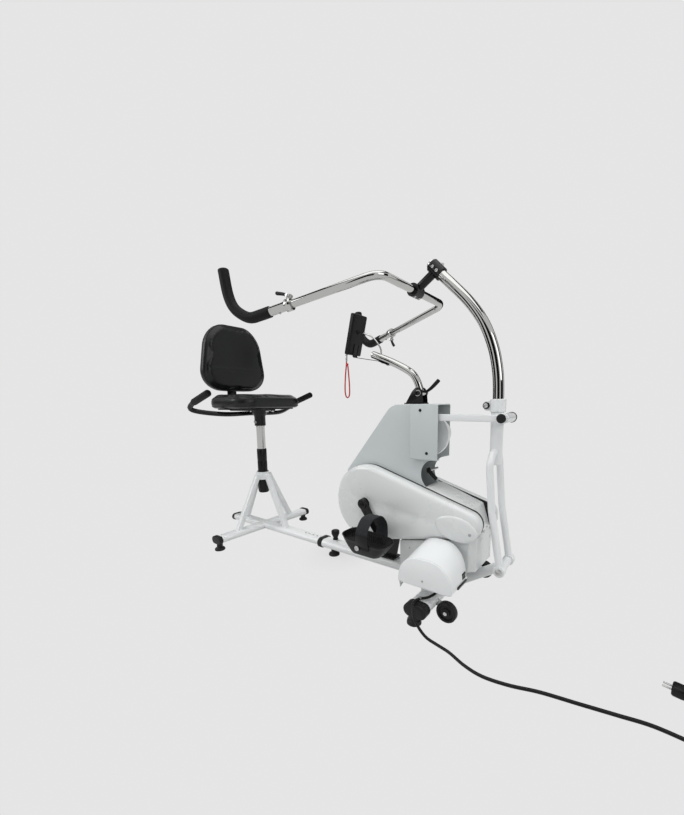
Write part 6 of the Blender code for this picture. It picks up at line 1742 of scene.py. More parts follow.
@dataclass
class Seat:
    """The turning bracket and pan, the two cushions with their piping, and the side handles."""

    post: tuple[float, float] = (0.0205, 0.590)
    pan_z: float = 0.640
    pan_t: float = 0.006
    seat_x: float = -0.020
    back_x: float = -0.160
    back_low: float = 0.730
    back_top: float = 1.062
    back_t: float = 0.050
    upright: tuple[float, float] = (0.050, 0.008)
    bar_x: float = -0.060
    grip_y: float = 0.295
    bar_r: float = 0.0110
    grip_r: float = 0.0150

    def _bracket(self, kit: Kit) -> None:
        """The black swivel bracket, the pan, the upright and the back board, with their bolts."""
        radius, top = self.post
        pan, sleeve = self.pan_z, radius + 0.006
        bore, foot, seat = radius + 0.0004, top - 0.030, top + 0.0003
        profile = [(0, pan + 0.001), (0.040, pan + 0.001), (0.040, pan - 0.004), (0.037, pan - 0.007)]
        profile += [(0.036, pan - 0.018), (0.033, pan - 0.022), (sleeve + 0.001, pan - 0.033)]
        profile += [(sleeve, pan - 0.036), (sleeve, foot + 0.001), (sleeve - 0.001, foot)]
        profile += [(bore, foot), (bore, seat), (0, seat)]
        parts = [turned("socket", profile, (0, 0, 0), Z, 48)]
        inset, board_t = 0.030, 0.010
        x0, x1 = self.seat_x - 0.150 + inset, self.seat_x + 0.150 - inset
        y1 = 0.190 - inset
        outline = rounded([(x0, -y1), (x1, -y1), (x1, y1), (x0, y1)], 0.055, 10)
        parts.append(prism("pan", outline, Plane.XY, pan, pan + self.pan_t, 0.0012, 2))
        back = self.back_x - self.back_t - 0.0003 - board_t
        thick = self.upright[1]
        foot, level, rear = self.bar_x + 2 * self.bar_r, pan - thick / 2, back - thick / 2
        line = [Vector((foot, 0, level)), Vector((rear, 0, level)), Vector((rear, 0, self.back_top - 0.120))]
        band = rounded(oblong(thick, self.upright[0]), 0.0015, 2)
        parts.append(swept("upright", bent(line, 0.018, 8), band, up=Y))
        low, high, edge = self.back_low + inset, self.back_top - inset, 0.170 - inset
        corners = [(-edge, low), (edge, low), (edge * 0.8, high), (-edge * 0.8, high)]
        parts.append(prism("board", rounded(corners, 0.060, 10), Plane.YZ, back, back + board_t, 0.003, 3))
        corners = ((0.080, -0.016), (0.080, 0.016), (-0.036, -0.026), (-0.036, 0.026))
        lugs = [Vector((x, y, pan - 0.006)) for x, y in corners]
        size = Vector((0.010, 0.010, 0))
        parts += [block("lug", lug - size, lug + size + Z * 0.007, 0.002, 2) for lug in lugs]
        parts = [kit.dress(part, BLACK_PAINT) for part in parts]
        rears = [Vector((back - thick - 0.0002, 0, self.back_low + rise)) for rise in (0.060, 0.150, 0.200)]
        bolts = [socket_bolt("bolt", at, -X, 0.0070, 0.0045) for at in rears]
        bolts += [hex_bolt("bolt", lug, -Z, 0.011, 0.005) for lug in lugs]
        bolts.append(hex_bolt("bolt", Vector((0, -sleeve, top - 0.010)), -Y, 0.010, 0.006))
        parts += [kit.dress(bolt, ZINC) for bolt in bolts]
        kit.join(parts, "swivel_bracket", "seat", BLACK_PAINT, "seat_frame", angle=40)

    def _rings(self, pad: Padding) -> list[tuple[float, float, float]]:
        """The cushion cage's levels: height, inset from the outline, corner radius."""
        t, c = pad.thick, pad.corner
        levels = [
            (0.0, 0.030, c - 0.020), (0.0012, 0.011, c - 0.008), (t * 0.06, 0.004, c - 0.003),
            (t * 0.30, 0.0, c)
        ]
        levels += [(t * 0.56, 0.0005, c), (t * 0.66, 0.0035, c - 0.002), (t * 0.80, 0.0085, c - 0.004)]
        levels += [(t * 0.92, 0.026, c - 0.015), (t * 0.985, 0.055, c - 0.032), (t, 0.090, c - 0.055)]
        return levels

    def _loop(self, pad: Padding, inset: float, radius: float, height: float, steps: int = 8) -> list[Vector]:
        """One level's loop of points on the cushion."""
        along, across, up = pad.axes
        corners = oblong(pad.length - 2 * inset, pad.width - 2 * inset)
        middle = Vector(pad.origin)
        points = []
        for u, v in rounded(corners, max(radius, 0.012), steps):
            v *= 1 - pad.taper * u / (pad.length / 2)
            points.append(middle + along * u + across * v + up * height)
        return points

    def _swell(self, obj: bpy.types.Object, pad: Padding) -> bpy.types.Object:
        """Blows the pad up with cloth, its movement held to a cap, then smooths it.

        Args:
            obj: the pad's closed cage.
            pad: the pad's sizes.

        Returns:
            The swollen pad, with no simulation left on it.
        """
        remesh = obj.modifiers.new("remesh", "REMESH")
        remesh.mode, remesh.voxel_size = "VOXEL", 0.006
        bake(obj)
        before = [vertex.co.copy() for vertex in obj.data.vertices]
        normals = [vertex.normal.copy() for vertex in obj.data.vertices]
        cloth = obj.modifiers.new("cloth", "CLOTH")
        cloth.settings.quality = 5
        cloth.settings.mass = 0.3
        cloth.settings.tension_stiffness = cloth.settings.compression_stiffness = 30
        cloth.settings.bending_stiffness = 0.6
        cloth.settings.use_pressure = True
        cloth.settings.uniform_pressure_force = pad.push
        cloth.settings.effector_weights.gravity = 0
        cloth.collision_settings.use_self_collision = False
        for frame_number in range(1, CLOTH_FRAMES + 1):
            bpy.context.scene.frame_set(frame_number)
        bake(obj)
        bpy.context.scene.frame_set(1)
        up, middle = pad.axes[2], Vector(pad.origin)
        lowest, highest = 0.0002, pad.thick * 1.02
        for vertex, old, outward in zip(obj.data.vertices, before, normals):
            out = max(0.0, min((vertex.co - old).dot(outward), pad.limit))
            new = old + outward * out
            height = (new - middle).dot(up)
            if height < lowest:
                new += up * (lowest - height)
            if height > highest:
                new -= up * (height - highest)
            vertex.co = new
        return subdivided(obj, 1)

    def _pad(self, kit: Kit, pad: Padding, node: str, shape: Callable[[float, float, float], float]) -> None:
        """A cushion, its two piping cords and its stitches.

        Args:
            kit: the shared materials and finisher.
            pad: the cushion's sizes.
            node: the CAD node that it replaces.
            shape: how far a point of the top is pressed in, from its place along, across and up.
        """
        rings = [self._loop(pad, inset + 0.001, corner, height) for height, inset, corner in self._rings(pad)]
        cushion = self._swell(subdivided(loft(pad.name, rings), 1), pad)
        along, across, up = pad.axes
        middle = Vector(pad.origin)
        for vertex in cushion.data.vertices:
            place_at = vertex.co - middle
            u, v, h = place_at.dot(along), place_at.dot(across), place_at.dot(up)
            vertex.co -= up * shape(u, v, h)
        corners = [vertex.co for vertex in cushion.data.vertices]
        skin = BVHTree.FromPolygons(corners, [list(face.vertices) for face in cushion.data.polygons])
        kit.piece(cushion, "seat", VINYL, node, sharp=False)
        trims = []
        for name, share, inset in (("upper", 0.715, 0.0015), ("lower", 0.13, 0.0018)):
            ring = self._loop(pad, inset, pad.corner - inset, pad.thick * share, 12)
            path = [skin.find_nearest(point)[0] for point in ring]
            trims.append(kit.dress(swept(name, path + [path[0]], 0.0019, 10), RUBBER))
        ring = self._loop(pad, -0.0004, pad.corner, pad.thick * 0.63, 12)
        path = [skin.find_nearest(point)[0] for point in ring]
        stitch = block("stitch", (-0.00035, -0.00035, -0.0019), (0.00035, 0.00035, 0.0019), 0.0002, 1)
        trims.append(kit.row("stitches", path, stitch, 0.0055, VINYL, closed=True))
        piping = merged(trims, f"{pad.name}_piping")
        kit.piece(piping, "seat", None, sharp=False)

    def _handles(self, kit: Kit) -> None:
        """One bar bent under the pan to both sides, with a foam grip and a hollow end on each."""
        low = self.pan_z - self.upright[1] - self.bar_r - 0.0003
        near = [Vector((0.056, -self.grip_y, 0.712)), Vector((-0.070, -self.grip_y, low + 0.052))]
        near += [Vector((-0.110, -self.grip_y + 0.020, low + 0.020)), Vector((self.bar_x, -0.160, low))]
        line = smooth(
            near + [Vector((self.bar_x, 0, low))] + [mirror_point(point) for point in reversed(near)], 0.010
        )
        parts = [kit.dress(swept("bar", line, self.bar_r, 28, 0.001), BLACK_PAINT)]
        for side in Side:
            start = Vector((near[1].x + 0.010, side.value * self.grip_y, near[1].z + 0.004))
            end = Vector((0.062, side.value * self.grip_y, 0.714))
            length, radius = (end - start).length, self.grip_r
            profile = [(0, 0.002), (self.bar_r - 0.001, 0.002), (self.bar_r + 0.0003, 0), (radius - 0.002, 0)]
            profile += [(radius - 0.0005, 0.0012), (radius, 0.004), (radius, length - 0.005)]
            profile += [(radius - 0.0006, length - 0.002), (radius - 0.002, length), (0.0072, length)]
            profile += [(0.0066, length - 0.0015), (0.0066, length - 0.0042), (0, length - 0.0044)]
            parts.append(kit.dress(turned("grip", profile, start, (end - start).normalized(), 40), FOAM))
        kit.piece(merged(parts, "padded_handles"), "seat", None, "side_handles")

    def build(self, kit: Kit) -> None:
        """Makes the seat's pieces."""
        self._bracket(kit)
        self._handles(kit)
        seat = Padding(
            "seat_pad", 0.300, 0.380, 0.066, 0.085, 0.0, (self.seat_x, 0, self.pan_z + self.pan_t + 0.0003),
            (X, Y, Z), 4.0, 0.005,
        )
        self._pad(kit, seat, "seat_cushion", seat_hollow)
        height = self.back_top - self.back_low
        back = Padding(
            "back_pad", height, 0.340, self.back_t, 0.110, 0.16,
            (self.back_x - self.back_t, 0, (self.back_low + self.back_top) / 2), (Z, Y, X), 4.0, 0.005,
        )
        self._pad(kit, back, "back_cushion", back_hollow)


def bump(distance: float, reach: float) -> float:
    """A smooth hill: one at zero distance, nothing past reach."""
    share = min(abs(distance) / reach, 1.0)
    return (1 - share * share) ** 2


def pressed(height: float, start: float, full: float) -> float:
    """The share of a hollow at a height: none up to start, and all of it once full above that."""
    return max(0.0, min((height - start) / full, 1.0))


def seat_hollow(u: float, v: float, h: float) -> float:
    """How far the seat's top is pressed in: two thigh hollows, a dip behind, and a small lip."""
    share = pressed(h, 0.042, 0.020)
    thighs = 0.0085 * (bump(v - 0.085, 0.095) + bump(v + 0.085, 0.095)) * bump(u - 0.015, 0.120)
    dip, lip = 0.0050 * bump(u + 0.035, 0.095) * bump(v, 0.150), 0.0060 * bump(u - 0.150, 0.060)
    return share * (thighs + dip + lip)


def back_hollow(u: float, v: float, h: float) -> float:
    """How far the back's front is pressed in: a shallow dish and one soft crease across it."""
    share = pressed(h, 0.030, 0.018)
    crease = 0.0012 * bump(u + 0.055 - 0.09 * v * v, 0.014)
    return share * (0.0060 * bump(u - 0.010, 0.150) * bump(v, 0.140) + crease)


# ---- the drive unit ----


@dataclass
class DriveUnit:
    """The covers, the shroud, the guard box, the nose, the motor's hood and what runs inside."""

    crank: tuple[float, float] = (0.727, 0.302)
    cover: tuple[float, float, float, float] = (0.140, 1.108, 0.288, 0.044)
    cover_y: tuple[float, float] = (0.0553, 0.105)
    shroud_y: float = 0.055
    shroud_top: float = 0.660
    shroud_front: float = 0.985
    notch: tuple[float, float, float] = (0.985, 0.424, 0.0555)
    box_x: tuple[float, float] = (0.899, 1.000)
    box_z: tuple[float, float] = (0.478, 0.6597)
    box_y: float = 0.078
    nose: tuple[float, float] = (0.0545, 1.135)
    skirt: tuple[float, float, float, float] = (0.085, 0.866, 0.089, 0.165)
    hood_x: tuple[float, float] = (0.946, 1.120)
    hood_y: tuple[float, float] = (-0.228, -0.108)
    hood_h: tuple[float, float] = (0.086, 0.114)
    hood_z: float = 0.1203
    disc: tuple[float, float, float, float] = (0.948, 0.559, 0.072, -0.030)
    rod_z: float = 0.617
    dome_levels: tuple[tuple[float, float], ...] = (
        (1.0, 0.0925), (1.0, 0.1046), (0.985, 0.1062), (0.94, 0.1080), (0.84, 0.1094), (0.62, 0.1106),
        (0.30, 0.1112),
    )

    def _teardrop(self, grow: float, steps: int = 30) -> list[tuple[float, float]]:
        """The cover's outline, grown or shrunk evenly."""
        big, x, z, small = self.cover
        return belt_outline((*self.crank, big + grow), (x, z, small + grow), steps)

    def _layers(self, name: str, levels: Iterable[tuple[float, float]]) -> bpy.types.Object:
        """A skin over near-side teardrops, given as (growth, distance from the middle)."""
        return loft(name, [[Vector((x, -y, z)) for x, z in self._teardrop(grow)] for grow, y in levels])

    def _covers(self, kit: Kit) -> None:
        """Both teardrop covers: a crowned face with a rolled rim, the screw cover, and a painted-shade band
        at the seam.
        """
        inner, outer = self.cover_y
        levels = [
            (0.0, inner + 0.0100), (0.0, 0.0860), (-0.0008, 0.0910), (-0.0028, 0.0955), (-0.0062, 0.0992)
        ]
        levels += [(-0.0110, 0.1018), (-0.0180, 0.1034), (-0.0260, 0.1042), (-0.0335, outer)]
        shell = kit.dress(self._layers("cover", levels), WHITE_COVER)
        hub = drill(0.020, 0, 0.20, (self.crank[0], -0.20, self.crank[1]), Y, 40)
        shell = soften(carve(shell, hub), 0.0012, 2, 60)
        rings = []
        for share, y in self.dome_levels:
            outline = ellipse((1.0790, 0.2740), 0.138 * share, 0.080 * share, -8)
            rings.append([Vector((x, -y, z)) for x, z in outline])
        dome = kit.dress(loft("screw_cover", rings), WHITE_COVER)
        at = Vector((1.126, -0.1084, 0.2665))
        screw = kit.dress(self._pan_screw(at, -Y, 0.0056), STEEL)
        # The black ring round the screw is painted shade: it stands for the dark recess round the screw head.
        profile = [(0.0052, -0.001), (0.0082, -0.001), (0.0080, 0.0012), (0.0054, 0.0010)]
        seam = kit.dress(turned("recess", profile, at + Y * 0.0006, -Y, 30), BLACK_PLASTIC)
        # The black band between the cover and the fin's wall is painted shade: it stands for the shadowed gap
        # there.
        levels = [
            (-0.0004, inner), (-0.0004, inner + 0.0094), (-0.004, inner + 0.0097), (-0.004, inner + 0.0110)
        ]
        gasket = kit.dress(self._layers("gasket", levels), RUBBER)
        near = merged([shell, dome, seam, screw, gasket], "side_cover_shell_near")
        far = mirrored(near, "side_cover_shell_far")
        for side, made in ((Side.NEAR, near), (Side.FAR, far)):
            kit.piece(made, "base", None, f"side_cover_{side.word}", angle=45)

    def _pan_screw(self, at: Vector, axis: Vector, radius: float) -> bpy.types.Object:
        """A low domed screw with a cross cut into it."""
        profile = [(0, -0.002), (radius, -0.002), (radius, 0.0006)]
        profile += [(radius * 0.86, radius * 0.36), (radius * 0.5, radius * 0.52)]
        profile += [(0, radius * 0.56)]
        head = turned("screw", profile, at, axis, 28)
        side, lift = frame_along(axis)
        tools = []
        for one, two in ((side, lift), (lift, side)):
            tool = block(
                "cut", (-radius * 0.55, -radius * 0.12, -0.001), (radius * 0.55, radius * 0.12, radius), 0.0
            )
            base = Matrix((one, two, one.cross(two))).transposed().to_4x4()
            tools.append(place(tool, Matrix.Translation(at + axis * radius * 0.28) @ base))
        return carve(head, *tools)

    def _shroud(self, kit: Kit) -> None:
        """The grey shroud with its round notch in front, and the tensioner seen inside."""
        top, front = self.shroud_top, self.shroud_front
        x, z, radius = self.notch
        corners = [
            (0.640, 0.230), (0.600, 0.345), (0.605, 0.407), (0.8113, top), (front, top), (front, 0.4795)
        ]
        outline = rounded(corners, (0.0, 0.012, 0.020, 0.062, 0.006, 0.0), 12)
        outline += arc((x, z), radius, 117, 242, 22)[1:] + [(0.957, 0.230)]
        shell = prism("shroud", outline, Plane.XZ, -self.shroud_y, self.shroud_y, 0.0035, 3)
        wall = 0.003
        corners = [(0.603, 0.345), (0.608, 0.4055), (0.8127, top - wall)]
        corners += [(1.06, top - wall), (1.06, 0.20), (0.602, 0.20)]
        inner = rounded(corners, (0.01, 0.018, 0.058, 0, 0, 0), 10)
        hollow = prism("hollow", inner, Plane.XZ, -self.shroud_y + wall, self.shroud_y - wall)
        slot = block("slot", (0.918, -0.07, 0.595), (1.05, -self.shroud_y + 0.004, 0.641), 0.0)
        hole = drill(0.0205, 0, 0.3, (self.crank[0], -0.15, self.crank[1]), Y, 40)
        parts = [kit.dress(carve(shell, hollow, slot, hole), GREY_SHROUD)]
        arm = [(0.936, -0.014, 0.440), (0.944, -0.012, 0.425), (0.956, -0.010, 0.412), (0.968, -0.010, 0.402)]
        line = smooth([Vector(point) for point in arm], 0.004)
        parts.append(kit.dress(swept("tensioner", line, oblong(0.012, 0.006), up=Y), BLACK_PAINT))
        parts.append(
            kit.dress(socket_bolt("bolt", Vector((0.941, -0.0165, 0.431)), -Y, 0.0075, 0.005), BLACK_PLASTIC)
        )
        parts.append(kit.dress(rod("spring", (0.955, -0.010, 0.413), (0.972, -0.004, 0.392), 0.0016), ZINC))
        parts.append(kit.dress(rod("bearer", (0.941, -0.016, 0.431), (0.941, 0.0515, 0.431), 0.004), ZINC))
        kit.join(parts, "fin_cover", "base", GREY_SHROUD, "fin_shroud", angle=30)

    def _guard(self, kit: Kit) -> None:
        """The folded guard box over the rod's slot, with its two black screws."""
        (x0, x1), (z0, z1), y = self.box_x, self.box_z, self.box_y
        inner = -self.shroud_y - 0.0003
        body = block("guard", (x0, -y, z0), (x1, inner, z1), 0.0022, 3)
        cut = block("cut", (x0 + 0.002, -y + 0.002, z0 + 0.002), (x1 + 0.05, 0, z1 - 0.002), 0.0)
        parts = [kit.dress(carve(body, cut), GREY_SHROUD)]
        lip = block("lip", (x0 - 0.0012, inner - 0.0016, z0 - 0.0012), (x0 + 0.001, inner, z1), 0.0004, 2)
        parts.append(kit.dress(lip, GREY_SHROUD))
        for x, z in ((0.937, 0.640), (0.962, 0.500)):
            parts.append(kit.dress(self._pan_screw(Vector((x, -y, z)), -Y, 0.0050), BLACK_PLASTIC))
        kit.join(parts, "rod_guard", "base", GREY_SHROUD, "guard_box")

    def _nose(self, kit: Kit) -> None:
        """The white front casing: a wide skirt with clipped corners and the narrow sloping nose."""
        half, front = self.nose
        wide, rear, low, top = self.skirt
        wall, proud, floor = 0.003, front + 0.0009, 0.134
        corners = [(0.905, 0.150), (front, 0.150), (front, 0.255), (1.112, 0.3285), (0.963, 0.3815)]
        corners += [(0.945, 0.3815), (0.905, 0.330)]
        outline = rounded(corners, (0, 0, 0.006, 0.006, 0.008, 0.004, 0.004), 5)
        nose = prism("nose", outline, Plane.XZ, -half, half, 0.0025, 3)
        inner = [
            (0.80, 0.10), (front - wall, 0.10), (front - wall, 0.2545), (1.1095, 0.3265), (0.9625, 0.3780)
        ]
        nose = carve(nose, prism("in", inner + [(0.80, 0.3780)], Plane.XZ, -half + wall, half - wall))
        outline = [(rear, low), (1.030, low), (1.120, floor), (proud, floor), (proud, 0.2430), (rear, 0.1840)]
        skirt = prism("skirt", outline, Plane.XZ, -wide, wide)
        tools = []
        for side in (-1, 1):
            tool = block("corner", (-0.03, -0.03, -0.5), (0.03, 0.03, 0.5), 0.0)
            turn = Matrix.Rotation(math.radians(45 + 12 * side), 4, "Z")
            tools.append(place(tool, Matrix.Translation((front + 0.014, side * (wide + 0.014), 0.1)) @ turn))
        inner = [(0.80, 0.05), (1.050, 0.05), (1.050, top - wall), (0.80, top - wall)]
        tools.append(prism("in", inner, Plane.XZ, -wide + 0.012, wide - 0.012))
        skirt = soften(carve(skirt, *tools), 0.0022, 3, 25)
        parts = [kit.dress(nose, WHITE_COVER), kit.dress(skirt, WHITE_COVER)]
        parts.append(kit.dress(hex_bolt("nut", Vector((front, -0.020, 0.256)), X, 0.010, 0.006), ZINC))
        for x, y, z, axis in ((0.905, -wide, 0.165, -Y), (1.020, -wide, 0.165, -Y), (front, 0.025, 0.256, X)):
            parts.append(kit.dress(self._pan_screw(Vector((x, y, z)), axis, 0.0036), ZINC))
        kit.join(parts, "front_casing", "base", WHITE_COVER, "base_casing")

    def _vault(
        self, y: float, shrink: float = 0.0, low: float | None = None, steps: int = 36
    ) -> list[Vector]:
        """The hood's arch at one place along it."""
        share = (y - self.hood_y[0]) / (self.hood_y[1] - self.hood_y[0])
        height = self.hood_h[0] + (self.hood_h[1] - self.hood_h[0]) * share - shrink
        width = self.hood_x[1] - self.hood_x[0] - 2 * shrink
        middle = (self.hood_x[0] + self.hood_x[1]) / 2
        base = self.hood_z if low is None else low
        height += self.hood_z - base
        ring = []
        for step in range(steps + 1):
            angle = math.pi * step / steps
            across = boxy(math.cos(angle), 0.75)
            ring.append(Vector((middle + across * width / 2, y, base + height * math.sin(angle) ** 0.88)))
        return ring

    def _hood(self, kit: Kit) -> None:
        """The motor's hood: a rolled sheet with a lip at its near end, a screw, a gusset and the switch."""
        near, far = self.hood_y
        rings = [self._vault(near, 0.0012), self._vault(near + 0.0008, 0.0002)]
        rings += [self._vault(near + 0.003 + (far - near - 0.004) * k / 4) for k in range(5)]
        rings.append(self._vault(far, 0.0006))
        hood = loft("hood", rings)
        inside = loft(
            "in", [self._vault(y, 0.0025, self.hood_z - 0.01) for y in (near + 0.0025, far - 0.0025)]
        )
        well = block("well", (1.1095, -0.1395, 0.1340), (1.13, -0.1165, 0.1500), 0.0)
        parts = [kit.dress(carve(hood, inside, well), WHITE_STEEL)]
        lip = swept("lip", self._vault(near + 0.0042, -0.0006), oblong(0.0018, 0.0014), up=Y)
        parts.append(kit.dress(lip, WHITE_STEEL))
        parts.append(kit.dress(self._pan_screw(Vector((1.030, near - 0.0002, 0.140)), -Y, 0.0034), ZINC))
        gusset = [(-0.224, self.hood_z - 0.0006), (-0.150, self.hood_z - 0.0006), (-0.217, 0.0930)]
        parts.append(kit.dress(prism("gusset", gusset, Plane.YZ, 0.9465, 0.9490, 0.0006, 2), WHITE_STEEL))
        trim = rounded([(-0.180, 0.1185), (-0.112, 0.1185), (-0.112, 0.1265), (-0.180, 0.1265)], 0.002, 3)
        parts.append(kit.dress(prism("trim", trim, Plane.YZ, 1.1190, 1.1235, 0.001, 2), BLACK_PLASTIC))
        kit.join(parts, "motor_cover", "base", WHITE_STEEL, "motor_hood")
        plate = block("frame", (1.1160, -0.1405, 0.1325), (1.1202, -0.1155, 0.1515), 0.0012, 2)
        cut = block("cut", (1.10, -0.1392, 0.1341), (1.13, -0.1168, 0.1499), 0.0)
        kit.piece(carve(plate, cut), "base", BLACK_PLASTIC)
        lever = block("rocker_switch", (1.1160, -0.1388, 0.1347), (1.1228, -0.1172, 0.1493), 0.0014, 3)
        dish = drill(0.020, 0, 0.04, (1.1400, -0.148, 0.1420), Y, 48)
        kit.piece(carve(lever, dish), "switch", BLACK_PLASTIC, "power_switch", angle=25)

    def _disc(self, kit: Kit) -> None:
        """The white disc with its rolled edge, its web holes, the shaft, the belt wheel and the pin."""
        x, z, radius, y = self.disc
        top, web = y + 0.006, y + 0.003
        profile = [
            (0, 0.0515), (0.008, 0.0515), (0.008, 0.046), (0.045, 0.046), (0.045, 0.034), (0.008, 0.034)
        ]
        profile += [(0.008, top), (0.020, top), (0.022, web), (radius - 0.010, web), (radius - 0.008, top)]
        profile += [(radius - 0.0015, top), (radius, y + 0.0045), (radius, y - 0.0045)]
        profile += [(radius - 0.0015, y - 0.006), (0, y - 0.006)]
        made = kit.dress(turned("plate", profile, (x, 0, z), Y, 72), WHITE_STEEL)
        pin = kit.dress(rod("pin", (x, y, self.rod_z), (x, -0.0475, self.rod_z), 0.008), ZINC)
        kit.join([made, pin], "rocking_disc", "disc", WHITE_STEEL, "rocker_disc", angle=40)

    def _bracket(self, kit: Kit) -> None:
        """The mast's black bracket: a foot, two cheeks and the pivot bolt with its ringed head."""
        low = self.shroud_top + 0.0003
        pivot = Vector((0.896, 0, 0.697))
        foot = [(0.840, -0.0185), (0.920, -0.0185), (0.920, 0.0185), (0.840, 0.0185)]
        parts = [prism("foot", rounded(foot, 0.004, 5), Plane.XY, low, low + 0.004, 0.0008, 2)]
        corners = [(0.846, low), (0.916, low), (0.912, 0.705), (0.903, 0.716), (0.886, 0.716), (0.872, 0.703)]
        cheek = rounded(corners, (0, 0, 0.006, 0.008, 0.008, 0.010), 6)
        for side in (-1, 1):
            inner, outer = sorted((side * 0.0155, side * 0.0185))
            parts.append(prism("cheek", cheek, Plane.XZ, inner, outer, 0.0007, 2))
        parts = [kit.dress(part, BLACK_PAINT) for part in parts]
        parts.append(kit.dress(rod("bolt", pivot - Y * 0.022, pivot + Y * 0.030, 0.005, 0.0006), ZINC))
        ring = [(0.0046, 0), (0.0110, 0), (0.0112, 0.0006), (0.0105, 0.0020), (0.0046, 0.0020)]
        parts.append(kit.dress(turned("washer", ring, pivot - Y * 0.0186, -Y, 40), ZINC))
        parts.append(kit.dress(socket_bolt("head", pivot - Y * 0.0206, -Y, 0.0082, 0.0062), BLACK_PAINT))
        kit.join(parts, "mast_yoke", "base", BLACK_PAINT, "mast_bracket")

    def build(self, kit: Kit) -> None:
        """Makes the drive unit's pieces and gives the hidden ones their finish."""
        self._covers(kit)
        self._shroud(kit)
        self._guard(kit)
        self._nose(kit)
        self._hood(kit)
        self._disc(kit)
        self._bracket(kit)
        kit.keep(BLACK_PAINT, "chassis", "motor")
        kit.keep(BELT, "drive_belt")
        kit.keep(STEEL, "crank_shaft")


# ---- the cranks and pedals ----


